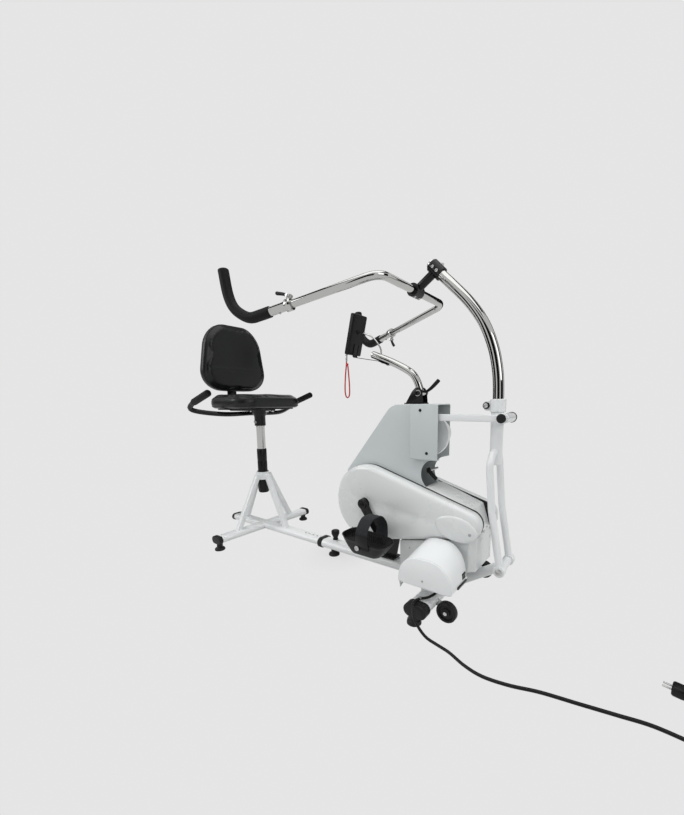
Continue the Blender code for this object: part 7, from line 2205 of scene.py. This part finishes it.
@dataclass
class Pedals:
    """Both crank arms with their axles, and the strapped pedals on them."""

    crank: tuple[float, float] = (0.727, 0.302)
    length: float = 0.130
    angle: float = math.radians(-56.6)
    arm_y: tuple[float, float] = (0.1085, 0.1215)
    wide: tuple[float, float] = (0.138, 0.242)
    ends: tuple[float, float] = (-0.088, 0.092)
    low: float = -0.036
    deck: float = 0.010
    rims: tuple[float, float, float] = (0.012, 0.020, 0.030)
    strap: tuple[float, float, float, float] = (0.004, 0.040, 0.008, 0.098)

    def tip(self, side: Side) -> Vector:
        """The pedal axle's place on one side, at y = 0."""
        way = -side.value
        x, z = self.crank
        return Vector(
            (x + way * self.length * math.cos(self.angle), 0, z + way * self.length * math.sin(self.angle))
        )

    def _arm(self, kit: Kit, side: Side) -> None:
        """A forged arm with a recess along it, its taper boss and bolt, and the pedal's axle."""
        tip = self.tip(side)
        x, z = self.crank
        y0, y1 = self.arm_y
        outline = belt_outline((x, z, 0.019), (tip.x, tip.z, 0.012), 20)
        arm = prism("arm", outline, Plane.XZ, -y1, -y0, 0.0030, 3)
        direction = (tip - Vector((x, 0, z))).normalized()
        a, b = Vector((x, 0, z)) + direction * 0.034, tip - direction * 0.024
        outline = belt_outline((a.x, a.z, 0.0062), (b.x, b.z, 0.0045), 12)
        groove = prism("groove", outline, Plane.XZ, -y1 - 0.01, -y1 + 0.0016)
        arm = carve(arm, groove)
        parts = [kit.dress(arm, BLACK_PAINT)]
        boss = [
            (0, 0.1080), (0.0185, 0.1080), (0.0185, y1 + 0.002), (0.0172, y1 + 0.0035), (0.0105, y1 + 0.0035)
        ]
        boss += [(0.0095, y1 + 0.0022), (0, y1 + 0.0022)]
        parts.append(kit.dress(turned("boss", boss, (x, 0, z), -Y, 40), BLACK_PAINT))
        parts.append(
            kit.dress(socket_bolt("bolt", Vector((x, -y1 - 0.0020, z)), -Y, 0.0078, 0.0046), BLACK_PLASTIC)
        )
        axle = [(0, y0 + 0.002), (0.0060, y0 + 0.002), (0.0060, y1), (0.0088, y1), (0.0088, y1 + 0.0060)]
        axle.append((0.0060, y1 + 0.0064))
        axle += [(0.0060, 0.2420), (0.0052, 0.2450), (0, 0.2450)]
        parts.append(kit.dress(turned("axle", axle, tip, -Y, 32), ZINC))
        made = merged(parts, f"crank_{side.word}")
        if side is Side.FAR:
            near, made = made, mirrored(made, f"crank_{side.word}_forged")
            drop(near)
        kit.piece(made, "cranks", None, f"crank_arm_{side.word}", angle=35)

    def _rim(self, x: float) -> float:
        """How high the pedal's edge stands at one place along it."""
        front, middle, heel = self.rims
        share = max(0.0, min(1.0, (x - 0.030) / 0.060))
        back = max(0.0, min(1.0, (-0.030 - x) / 0.045))
        smooth_front, smooth_back = share * share * (3 - 2 * share), back * back * (3 - 2 * back)
        return middle + (front - middle) * smooth_front + (heel - middle) * smooth_back

    def _plan(self, inset: float, grow: float = 0.0) -> list[tuple[float, float]]:
        """The pedal's plan: a round heel, straight sides and a softly rounded front."""
        x0, x1 = self.ends[0] + inset + grow, self.ends[1] - inset - grow
        y1 = (self.wide[1] - self.wide[0]) / 2 - inset
        heel, nose = max(0.040 - inset * 0.6, 0.010), max(0.034 - inset * 0.6, 0.008)
        return rounded([(x0, -y1), (x1, -y1), (x1, y1), (x0, y1)], (heel, nose, nose, heel), 12)

    def _pedal(self, kit: Kit, side: Side) -> None:
        """The moulded boat-shaped shell with its rolled rim, its ribbed deck and the strap's lugs."""
        tip = self.tip(side)
        middle = Vector((tip.x, side.value * sum(self.wide) / 2, tip.z))
        levels = [(0.028, 0.0, 0.012), (0.0235, 0.025, 0.010), (0.0210, 0.09, 0.008), (0.0130, 0.42, 0.003)]
        outer = ((0.0058, 0.74), (0.0016, 0.93), (0.0, 0.965), (0.0002, 0.985), (0.0012, 1.0), (0.0028, 1.0))
        levels += [(inset, share, 0.0) for inset, share in outer + ((0.0038, 0.985), (0.0046, 0.93))]
        rings = []
        for inset, share, grow in levels:
            ring = []
            for x, y in self._plan(inset, grow):
                top = self._rim(x)
                ring.append(middle + Vector((x, y, self.low + (top - self.low) * share)))
            rings.append(ring)
        for inset, height in (
            (0.0052, self.deck + 0.0030), (0.0070, self.deck + 0.0006), (0.0100, self.deck)
        ):
            rings.append([middle + Vector((x, y, height)) for x, y in self._plan(inset, inset * 0.3)])
        shell = loft("pedal", rings)
        parts = [kit.dress(carve(shell, drill(0.0095, -0.2, 0.2, tip, Y, 32)), PEDAL)]
        bush = [(0.0064, -0.051), (0.0094, -0.051), (0.0094, 0.050), (0.0064, 0.050)]
        parts.append(kit.dress(turned("bush", bush, middle, Y, 32), BLACK_PLASTIC))
        cap = socket_bolt("cap", tip + Y * side.value * 0.2452, Y * side.value, 0.0085, 0.0030)
        parts.append(kit.dress(cap, ZINC))
        x, z = tip.x, tip.z
        corners = [
            (x - 0.002, z - 0.004), (x + 0.046, z - 0.004), (x + 0.042, z + 0.016), (x + 0.002, z + 0.016)
        ]
        lug = rounded(corners, 0.004, 4)
        for across in (-1, 1):
            y = middle.y + across * (self.wide[1] - self.wide[0]) / 2
            inner, outer = sorted((y - across * 0.0030, y + across * 0.0006))
            parts.append(kit.dress(prism("lug", lug, Plane.XZ, inner, outer, 0.0005, 2), PEDAL))
        path = [middle + Vector((x, 0, self.deck - 0.0004)) for x in (-0.062, 0.0, 0.072)]
        rib = block("rib", (-0.0012, -0.036, -0.0002), (0.0012, 0.036, 0.0015), 0.0005, 2)
        parts.append(kit.row("ribs", path, rib, 0.0085, PEDAL))
        kit.join(parts, f"boat_pedal_{side.word}", f"{side.word}_pedal", PEDAL, f"pedal_{side.word}")

    def _strap(self, kit: Kit, side: Side) -> None:
        """The foot strap: a wide arch of webbing between two moulded side parts."""
        tip = self.tip(side)
        start, end, low, high = self.strap
        middle = Vector((tip.x + (start + end) / 2, side.value * sum(self.wide) / 2, tip.z))
        half = (self.wide[1] - self.wide[0]) / 2 + 0.0016
        profile = [(-half, low), (-half - 0.0056, low + 0.022), (-half - 0.0060, low + 0.044)]
        profile += [(-half + 0.006, low + 0.068), (-0.026, high - 0.003), (0.0, high)]
        profile += [(-x, z) for x, z in reversed(profile[:-1])]
        line = smooth([middle + Vector((0.0, y, z)) for y, z in profile], 0.004)
        wide = end - start + 0.010
        web = swept(f"foot_strap_{side.word}", line, rounded(oblong(0.0025, wide), 0.0006, 2), up=X)
        kit.piece(web, f"{side.word}_pedal", WEBBING, f"pedal_strap_{side.word}")
        plate = rounded(oblong(0.0032, wide + 0.006), 0.0010, 2)
        top = middle.z + low + 0.046
        for across in (-1, 1):
            beside = [
                point for point in line if (point.y - middle.y) * across > half - 0.006 and point.z < top
            ]
            part = sorted((point + Y * across * 0.0008 for point in beside), key=lambda point: point.z)
            made = swept(
                f"strap_side_{side.word}", part, plate, up=X, profile=lambda share: 1.0 - 0.16 * share
            )
            kit.piece(made, f"{side.word}_pedal", BLACK_PLASTIC)

    def build(self, kit: Kit) -> None:
        """Makes both sides."""
        for side in Side:
            self._arm(kit, side)
            self._pedal(kit, side)
            self._strap(kit, side)


# ---- the rocking arm ----


@dataclass
class RockingArm:
    """The white fork and its post, the push rod, the gooseneck, the stem, the bar and its grips."""

    post_x: float = 1.162
    pivot: tuple[float, float] = (1.203, 0.150)
    leg: tuple[float, float, float, float] = (0.052, 0.011, 1.172, 0.335)
    arch_z: float = 0.463
    post_z: tuple[float, float, float] = (0.472, 0.634, 0.673)
    post_r: tuple[float, float] = (0.019, 0.0235)
    neck_r: float = 0.0165
    rod_z: float = 0.617
    rod_y: tuple[float, float] = (0.0505, 0.0690)
    pin_x: float = 1.194
    bar: tuple[float, float, float] = (0.875, 0.216, 1.035)
    bar_r: float = 0.0127
    grip_r: float = 0.0148
    foam_r: float = 0.018
    mouth: float = 0.300
    inside: float = 0.355
    neck_top: tuple[float, float] = (0.941, 1.097)

    def arm_point(self, along: float, side: Side = Side.NEAR) -> Vector:
        """A point of one arm's axis, measured from the bend's corner."""
        x, y, z = self.bar
        point = Vector((x, -y, z)) + Vector((-0.944, -0.270, -0.188)).normalized() * along
        return Vector((point.x, point.y * -side.value, point.z))

    def _fork(self, kit: Kit) -> None:
        """The bent tube, its eyes with bushes and bolts, the post, the split clamp and the rod's pin."""
        y, radius, knee_x, knee_z = self.leg
        px, pz = self.pivot
        near = [Vector((px, -y, pz + 0.004)), Vector((knee_x, -y, knee_z))]
        over = circle(Vector((self.post_x - 0.001, 0, self.arch_z)), y, 36, -Y, Z)[:19]
        rising = bent(near + [over[0]], 0.16, 12)[:-1]
        line = rising + over + [mirror_point(point) for point in reversed(rising)]
        white = [swept("legs", line, radius, 28)]
        low, top, clamp_top = self.post_z
        outer, clamp_r = self.post_r
        bore = self.neck_r + 0.0005
        x, foot = self.post_x, top + 0.0002
        profile = [(bore, low), (outer - 0.0015, low), (outer, low + 0.0015), (outer, top - 0.0004)]
        profile += [(outer - 0.0006, top), (bore, top)]
        white.append(turned("post", profile, (x, 0, 0), Z, 48))
        profile = [
            (bore, foot), (clamp_r - 0.0012, foot), (clamp_r, foot + 0.0012), (clamp_r, clamp_top - 0.0014)
        ]
        profile += [(clamp_r - 0.0012, clamp_top), (bore, clamp_top)]
        ring = turned("clamp", profile, (x, 0, 0), Z, 48)
        white.append(carve(ring, block("slit", (x - 0.05, -0.001, top), (x, 0.001, clamp_top + 0.01), 0.0)))
        z0, z1 = top + 0.004, clamp_top - 0.004
        corners = [(x - 0.0400, z0), (x - 0.018, z0), (x - 0.018, z1), (x - 0.0400, z1)]
        ear = rounded(corners, (0.010, 0.002, 0.002, 0.010), 6)
        eye = tube_profile(0.0068, 0.0175, -0.0113, 0.0113, 0.0007)
        for side in (-1, 1):
            white.append(prism("ear", ear, Plane.XZ, *sorted((side * 0.0012, side * 0.012)), 0.0012, 2))
        profile = [
            (0.0070, -0.0496), (0.0142, -0.0496), (0.0150, -0.0488), (0.0150, 0.0335), (0.0070, 0.0335)
        ]
        white.append(turned("sleeve", profile, (self.pin_x, 0, self.rod_z), Y, 40))
        white += [turned("eye", eye, (px, side * y, pz), Y, 44) for side in (-1, 1)]
        parts = [kit.dress(part, WHITE_STEEL) for part in white]
        bolt = Vector((x - 0.031, 0, (top + clamp_top) / 2))
        parts.append(kit.dress(rod("bolt", bolt - Y * 0.018, bolt + Y * 0.016, 0.0045), ZINC))
        disc = [(0.0040, 0.0122), (0.0098, 0.0122), (0.0104, 0.0130), (0.0104, 0.0165), (0.0096, 0.0175)]
        parts.append(kit.dress(turned("ring", disc + [(0.0040, 0.0175)], bolt, -Y, 40), BLACK_PLASTIC))
        parts.append(kit.dress(socket_bolt("head", bolt - Y * 0.0170, -Y, 0.0072, 0.0042), ZINC))
        parts.append(kit.dress(hex_bolt("nut", bolt + Y * 0.0122, Y, 0.0100, 0.0050), ZINC))
        end = [(0, 0.0330), (0.0160, 0.0330), (0.0165, 0.0338), (0.0165, 0.0380), (0.0148, 0.0398)]
        end += [(0.0110, 0.0402), (0.0100, 0.0388), (0, 0.0388)]
        pin = Vector((self.pin_x, 0, self.rod_z))
        parts.append(kit.dress(turned("end_cap", end, pin, Y, 44), RUBBER))
        out = self.rod_y[1] + 0.0004
        parts.append(kit.dress(rod("pin", pin - Y * (out + 0.002), pin + Y * 0.030, 0.0056), ZINC))
        cap = [
            (0, out), (0.0128, out), (0.0134, out + 0.0010), (0.0134, out + 0.0044), (0.0118, out + 0.0062)
        ]
        cap += [(0.0070, out + 0.0066), (0, out + 0.0066)]
        parts.append(kit.dress(turned("cap", cap, pin, -Y, 44), RUBBER))
        kit.join(parts, "arm_fork", "rocker", WHITE_STEEL, "rocker_fork", angle=40)

    def _rod(self, kit: Kit) -> None:
        """The square push rod with its round nose, and the flat tongue behind the shroud's wall."""
        inner, outer = self.rod_y
        half, rear, x, z = 0.0105, 0.990, self.pin_x, self.rod_z
        outline = [
            (rear, z - half), (x, z - half)
        ] + arc((x, z), half, -80, 80, 12) + [(x, z + half), (rear, z + half)]
        bar = prism("bar", outline, Plane.XZ, -outer, -inner, 0.0022, 3)
        bore = drill(0.0062, -0.2, 0.2, (x, 0, z), Y, 24)
        tongue = prism(
            "tongue", stadium((0.979, self.rod_z), 0.083, 0.020, 12), Plane.XZ, -0.0512, -0.0482, 0.0004, 1
        )
        parts = [kit.dress(carve(bar, bore), WHITE_STEEL), kit.dress(tongue, ZINC)]
        kit.join(parts, "rocking_rod", "rod", WHITE_STEEL, "push_rod")

    def _neck(self, kit: Kit) -> Vector:
        """The curved chrome tube; returns the direction of its end."""
        x = self.post_x
        points = [
            (x, 0.545), (x, 0.620), (x, 0.690), (x - 0.005, 0.757), (x - 0.021, 0.828), (x - 0.052, 0.902)
        ]
        points += [(x - 0.098, 0.968), (1.010, 1.026), (0.978, 1.058), self.neck_top]
        route = [Vector((u, 0, v)) for u, v in points]
        tube = swept("chrome_gooseneck", smooth(route, 0.012), self.neck_r, 48, 0.0015)
        kit.piece(tube, "neck", CHROME, "gooseneck", sharp=False)
        return (route[-1] - route[-2]).normalized()

    def _stem(self, kit: Kit, along: Vector) -> None:
        """The black sleeve with its chrome end cap, the arm, the bar's split clamp and the bolts."""
        top = Vector((self.neck_top[0], 0, self.neck_top[1]))
        bar = Vector((self.bar[0], 0, self.bar[2]))
        low, high = top - along * 0.040, top + along * 0.010
        bore, narrow = self.neck_r + 0.0003, self.neck_r - 0.003
        profile = [
            (bore, 0), (0.0205, 0), (0.0215, 0.0010), (0.0215, 0.0490), (0.0205, 0.0500), (narrow, 0.0500)
        ]
        profile += [(narrow, 0.0408), (bore, 0.0404)]
        parts = [kit.dress(turned("sleeve", profile, low, along, 44), BLACK_PAINT)]
        profile = [(0, -0.002), (0.0168, -0.002), (0.0172, 0.0), (0.0172, 0.0046), (0.0160, 0.0072)]
        profile += [(0.0110, 0.0080), (0, 0.0082)]
        parts.append(kit.dress(turned("end_cap", profile, high - along * 0.0002, along, 44), CHROME))
        middle = (low + high) / 2
        direction = (bar - middle).normalized()
        arm = rod("arm", middle + direction * 0.014, bar - direction * 0.012, 0.0140, 0.001, 40)
        parts.append(kit.dress(arm, BLACK_PAINT))
        inner = self.bar_r + 0.0004
        profile = [(inner, -0.0240), (0.0204, -0.0240), (0.0215, -0.0230), (0.0215, 0.0230), (0.0204, 0.0240)]
        parts.append(kit.dress(turned("clamp", profile + [(inner, 0.0240)], bar, Y, 44), BLACK_PAINT))
        up = direction.cross(Y).normalized()
        for y in (-0.014, 0.014):
            for way in (-1, 1):
                at = bar + Y * y + up * way * 0.0172 + direction * 0.0085
                parts.append(
                    kit.dress(socket_bolt("bolt", at + up * way * 0.001, up * way, 0.0046, 0.0046), ZINC)
                )
        side = along.cross(Y).normalized()
        for place_at in (0.012, 0.032):
            at = low + along * place_at - Y * 0.0208
            parts.append(kit.dress(socket_bolt("bolt", at, -Y, 0.0050, 0.0046), ZINC))
        parts.append(
            kit.dress(hex_bolt("nut", low + along * 0.022 - side * 0.0208, -side, 0.0090, 0.0045), ZINC)
        )
        kit.join(parts, "stem_clamps", "neck", BLACK_PAINT, "bar_stem", angle=40)

    def _handlebar(self, kit: Kit) -> None:
        """The wide chrome bar with its dark telescope ends."""
        near = [self.arm_point(self.inside), self.arm_point(0)]
        line = bent(near + [mirror_point(point) for point in reversed(near)], 0.055, 14)
        kit.piece(swept("chrome_bar", line, self.bar_r, 44, 0.001), "bar", CHROME, "handlebar", sharp=False)

    def grip_line(self) -> list[Vector]:
        """The near grip tube's axis, from its mouth to its tip."""
        bend = [
            (0.437, -0.341, 0.951), (0.400, -0.352, 0.967), (0.371, -0.360, 0.994), (0.353, -0.365, 1.038)
        ]
        bend += [(0.342, -0.369, 1.112)]
        straight = [self.arm_point(self.mouth + 0.030 * step) for step in range(5)]
        return smooth(straight + [Vector(point) for point in bend], 0.008)

    def _grip(self, kit: Kit) -> None:
        """Both telescoping tubes with collars and snap buttons, and both foam sleeves."""
        line = self.grip_line()
        axis = (line[3] - line[0]).normalized()
        tube = swept("tube", line[:-1], self.grip_r, 40, 0.0008)
        inner = self.bar_r + 0.0006
        parts = [kit.dress(carve(tube, drill(inner, -0.01, 0.0562, line[0], axis, 40)), CHROME)]
        start = self.arm_point(self.mouth - 0.002)
        profile = [
            (inner, 0), (0.0184, 0), (0.0195, 0.0012), (0.0195, 0.0205), (0.0184, 0.0217), (0.0150, 0.0217)
        ]
        profile += [(0.0149, 0.0024), (inner, 0.0022)]
        parts.append(kit.dress(turned("collar", profile, start, axis, 44), CHROME))
        button = self.arm_point(self.mouth + 0.045)
        root, tip = button - Z * (self.grip_r - 0.002), button - Z * (self.grip_r + 0.0028)
        parts.append(kit.dress(rod("snap", root, tip, 0.0038, 0.0008), ZINC))
        near = merged(parts, "telescope_near")
        far = mirrored(near, "telescope_far")
        centre = start + axis * 0.0108
        for side, made, at, low in (
            (Side.NEAR, near, centre, 0.0150), (Side.FAR, far, mirror_point(centre), -0.0265)
        ):
            ear = block("ear", (-0.0085, -0.0055, low), (0.0085, 0.0055, low + 0.0115), 0.002, 2)
            parts = [made, kit.dress(moved(ear, at), CHROME)]
            name, body = f"telescope_tube_{side.word}", f"{side.word}_grip"
            kit.join(parts, name, body, CHROME, f"grip_tube_{side.word}", angle=45)
        first = next(index for index, point in enumerate(line) if (point - line[0]).dot(axis) >= 0.076)
        tip = line[-1] + (line[-1] - line[-2]).normalized() * 0.0035
        near = swept("grip_skin_near", line[first:] + [tip], self.foam_r, 40, 0.0045)
        far = mirrored(near, "grip_skin_far")
        for side, made in ((Side.NEAR, near), (Side.FAR, far)):
            kit.piece(made, f"{side.word}_grip", FOAM, f"foam_grip_{side.word}", sharp=False)

    def _lever(self, kit: Kit, side: Side) -> None:
        """One quick-release cam: a zinc hub with its pin and nut, and a black tapered handle."""
        up = Z * -side.value
        centre = self.arm_point(self.mouth + 0.009, side) + up * 0.0273
        hub = [
            (0, -0.0090), (0.0064, -0.0090), (0.0070, -0.0082), (0.0070, 0.0082), (0.0064, 0.0090),
            (0, 0.0090)
        ]
        parts = [kit.dress(turned("hub", hub, centre, Y, 36), ZINC)]
        for way in (-1, 1):
            parts.append(kit.dress(hex_bolt("nut", centre + Y * way * 0.0090, Y * way, 0.0080, 0.0030), ZINC))
        reach = Vector((-0.058, 0, 0.018)) if side is Side.NEAR else Vector((0.016, 0, -0.030))
        bend = centre + reach * 0.45 + up * 0.0018
        line = smooth([centre + reach * 0.10, bend, centre + reach], 0.003)
        blade = ellipse((0, 0), 0.0112, 0.0136, steps=28)
        handle = swept("handle", line, blade, ends=0.002, up=Y, profile=lambda share: 0.80 + 0.26 * share)
        parts.append(kit.dress(handle, BLACK_PLASTIC))
        name, body = f"cam_lever_{side.word}", f"{side.word}_lever"
        kit.join(parts, name, body, BLACK_PLASTIC, f"clamp_lever_{side.word}", angle=40)

    def build(self, kit: Kit) -> None:
        """Makes the arm's pieces."""
        self._fork(kit)
        self._rod(kit)
        self._stem(kit, self._neck(kit))
        self._handlebar(kit)
        self._grip(kit)
        for side in Side:
            self._lever(kit, side)


# ---- the console and its mast ----


@dataclass
class ConsoleMast:
    """The bent mast, the ratchet lever, the console, the hook wire and the red lanyard."""

    pivot: tuple[float, float] = (0.896, 0.697)
    mast_r: float = 0.013
    size: tuple[float, float, float] = (0.021, 0.080, 0.150)
    centre: tuple[float, float] = (0.6155, 0.922)
    tilt: float = math.radians(14)
    braid: float = 0.0052

    def __post_init__(self) -> None:
        """Works out the console's directions and the straight end of the mast."""
        self.up = Vector((math.sin(self.tilt), 0, math.cos(self.tilt)))
        self.back = Vector((math.cos(self.tilt), 0, -math.sin(self.tilt)))
        self.middle = Vector((self.centre[0], 0, self.centre[1]))
        self.low_back = self.middle + self.back * self.size[0] / 2 - self.up * self.size[2] / 2
        self.end = (Vector((0.782, 0, 0.809)), Vector((0.695, 0, 0.844)))
        self.joint = Vector((self.pivot[0], 0, self.pivot[1]))

    def _mast(self, kit: Kit) -> None:
        """The chrome tube with its open end and eye, and the black strip under it."""
        bend = [Vector((x, 0, z)) for x, z in ((0.893, 0.713), (0.877, 0.748), (0.852, 0.773))]
        line = smooth([self.joint, *bend, *self.end], 0.008)
        tube = swept("tube", line, self.mast_r, 44, 0.0008)
        slope = (line[-1] - line[-2]).normalized()
        bore = drill(0.0112, -0.018, 0.01, line[-1], slope, 36)
        gap = drill(0.0053, -0.03, 0.03, self.joint, Y, 32)
        parts = [kit.dress(carve(tube, bore, gap), CHROME)]
        eye = tube_profile(0.0053, 0.0150, -0.0152, 0.0152, 0.0008)
        parts.append(kit.dress(turned("eye", eye, self.joint, Y, 44), CHROME))
        parts.append(kit.dress(drill(0.0110, -0.0175, -0.0120, line[-1], slope, 36), BLACK_PLASTIC))
        one, two = self.end
        slope = (two - one).normalized()
        under = Vector((slope.z, 0, -slope.x)) * -1
        seat_line = self.low_back + self.back * 0.00155
        places = [one.lerp(two, 0.10) + under * self.mast_r, one.lerp(two, 0.58) + under * self.mast_r]
        places += [seat_line - self.up * 0.006, seat_line + self.up * 0.042]
        path = bent(places, 0.006, 6)
        strip = swept("strip", path, rounded(oblong(0.0023, 0.0276), 0.0006, 2), up=Y)
        parts.append(kit.dress(strip, BLACK_PAINT))
        for share in (0.18, 0.46):
            at = one.lerp(two, share) + under * (self.mast_r + 0.0010)
            parts.append(kit.dress(socket_bolt("screw", at, under, 0.0042, 0.0030), ZINC))
        kit.join(parts, "console_arm", "console_mast", CHROME, "mast", angle=40)

    def _ratchet(self, kit: Kit) -> None:
        """The ratchet lever: a zinc joint on the bolt's end and a swelling black handle."""
        pivot = self.joint
        profile = [(0.0054, 0.0190), (0.0092, 0.0190), (0.0100, 0.0198), (0.0100, 0.0390), (0.0092, 0.0400)]
        profile.append((0.0054, 0.0400))
        parts = [kit.dress(turned("joint", profile, pivot, Y, 40), ZINC)]
        start, end = pivot + Vector((0.007, 0.034, 0.006)), pivot + Vector((0.050, 0.042, 0.045))
        line = smooth([start, start.lerp(end, 0.4) + Vector((0.0012, 0, -0.0016)), end], 0.0025)
        shank = rod("shank", pivot + Vector((0.002, 0.034, 0.002)), start.lerp(end, 0.24), 0.0040)
        parts.append(kit.dress(shank, ZINC))
        swelling: Callable[[float], float] = lambda share: 0.70 + 0.34 * math.sin(min(share, 0.8) * 1.9)
        parts.append(kit.dress(swept("handle", line, 0.0066, 28, 0.003, profile=swelling), BLACK_PLASTIC))
        kit.join(parts, "ratchet_lever", "ratchet", BLACK_PLASTIC, "mast_lever", angle=40)

    def _local(self, obj: bpy.types.Object) -> bpy.types.Object:
        """Sets a piece made round the console's own middle into place."""
        turn = Matrix((self.back, Y, self.up)).transposed().to_4x4()
        return place(obj, Matrix.Translation(self.middle) @ turn)

    def _console(self, kit: Kit) -> None:
        """The case with its parting line, the screen, the button, the key stub and the back's mount."""
        t, w, h = (size / 2 for size in self.size)
        case = block("case", (-t, -w, -h), (t, w, h), 0.0055, 4)
        recess = block("recess", (-t - 0.01, -0.030, -0.010), (-t + 0.0015, 0.030, 0.060), 0.0)
        well = drill(0.0094, -t - 0.01, -t + 0.006, (0, 0, -0.048), X, 40)
        seam = rounded(oblong(2 * w + 0.02, 2 * h + 0.02), 0.002, 2)
        depth = 0.0007
        core = block("core", (-0.02, -w + depth, -h + depth), (0.02, w - depth, h - depth), 0.005, 3)
        groove = carve(prism("seam", seam, Plane.YZ, -0.0022, -0.0014), core)
        parts = [kit.dress(self._local(carve(case, recess, well, groove)), BLACK_PLASTIC)]
        glass = block("glass", (-t + 0.0006, -0.0296, -0.0096), (-t + 0.0014, 0.0296, 0.0596), 0.0002, 1)
        parts.append(kit.dress(self._local(glass), SCREEN))
        ball = [(0, -0.0006), (0.0098, -0.0006), (0.0098, 0.0016), (0.0074, 0.0036), (0.0062, 0.0062)]
        ball += [(0.0034, 0.0078), (0, 0.0078)]
        parts.append(
            kit.dress(self._local(turned("ball_joint", ball, (t, 0.0, 0.013), X, 36)), BLACK_PLASTIC)
        )
        key = [
            (0, -h - 0.006), (0.0036, -h - 0.006), (0.0040, -h - 0.0054), (0.0040, -h + 0.003),
            (0, -h + 0.003)
        ]
        parts.append(kit.dress(self._local(turned("key", key, (-t + 0.006, -0.030, 0), Z, 32)), STEEL))
        kit.join(parts, "display_case", "console_mast", BLACK_PLASTIC, "console")
        button = [
            (0, 0.004), (0.0090, 0.004), (0.0090, -0.0012), (0.0084, -0.0020), (0.0060, -0.0022), (0, -0.0017)
        ]
        button = turned("start_button", button, (-t, 0, -0.048), X, 40)
        kit.piece(self._local(button), "button", RED_PLASTIC, "console_button")

    def _wire(self, kit: Kit) -> None:
        """The bright bent wire from the mast's end to the console's back."""
        one, two = self.end
        slope = (two - one).normalized()
        above = slope.cross(Y)
        if above.z < 0:
            above = -above
        start = one.lerp(two, 0.62) + above * (self.mast_r + 0.001)
        end = self.low_back + self.up * 0.088 + self.back * 0.0005
        points = [
            start, start + Vector((-0.003, 0, 0.018)), Vector((0.714, 0, 0.886)), Vector((0.690, 0, 0.909))
        ]
        line = smooth(points + [end + self.back * 0.020, end], 0.004)
        wire = swept("hook_wire", line, 0.00275, 20, 0.0006)
        kit.piece(wire, "console_mast", CHROME, "console_cable", sharp=False)

    def _lanyard(self, kit: Kit) -> None:
        """The red loop that hangs from the key, with its bright clip."""
        stub = self.middle + self.back * (-self.size[0] / 2 + 0.006) - self.up * (self.size[2] / 2 + 0.006)
        head = Vector((stub.x, -0.030, stub.z - 0.0009))
        steps = [(0, 0, 0), (-0.001, 0, -0.030), (-0.004, -0.003, -0.070), (-0.006, -0.005, -0.120)]
        steps += [
            (-0.004, -0.004, -0.148), (0.002, 0, -0.157), (0.008, 0.004, -0.146), (0.008, 0.005, -0.110)
        ]
        steps += [(0.006, 0.004, -0.070), (0.0045, 0.002, -0.036)]
        line = smooth([head + Vector(step) for step in steps], 0.005)
        cord = swept("red_lanyard", line, ellipse((0, 0), self.braid, self.braid, steps=16), up=Y)
        kit.piece(cord, "console_mast", RED_CORD, "safety_lanyard", sharp=False)
        path = [tuple(point + SHIFT) for point in line]
        clip = [(0, 0.002), (0.0030, 0.002), (0.0034, 0), (0.0034, -0.016), (0.0026, -0.020), (0, -0.020)]
        knot = [(0, 0.004), (0.0036, 0.003), (0.0044, -0.001), (0.0036, -0.006), (0, -0.007)]
        parts = [kit.dress(turned("clip", clip, head, Z, 28), ZINC)]
        parts.append(kit.dress(turned("knot", knot, head + Vector((0.003, 0.001, -0.030)), Z, 24), RED_CORD))
        end = kit.join(parts, "lanyard_clip", "console_mast", ZINC, angle=40)
        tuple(path[0])
        line_length(line)

    def build(self, kit: Kit) -> None:
        """Makes the console's pieces."""
        self._mast(kit)
        self._ratchet(kit)
        self._console(kit)
        self._wire(kit)
        self._lanyard(kit)


def main() -> None:
    """Builds the studio, the cord and every sub-assembly, in order."""
    logging.basicConfig(level=logging.INFO, format="%(name)s: %(message)s")
    kit = Kit()
    Studio().build()
    MainsCord().build(kit)
    for part in (SeatStand, FloorFrame, Seat, DriveUnit, Pedals, RockingArm, ConsoleMast):
        part().build(kit)


if __name__ == "__main__":
    main()
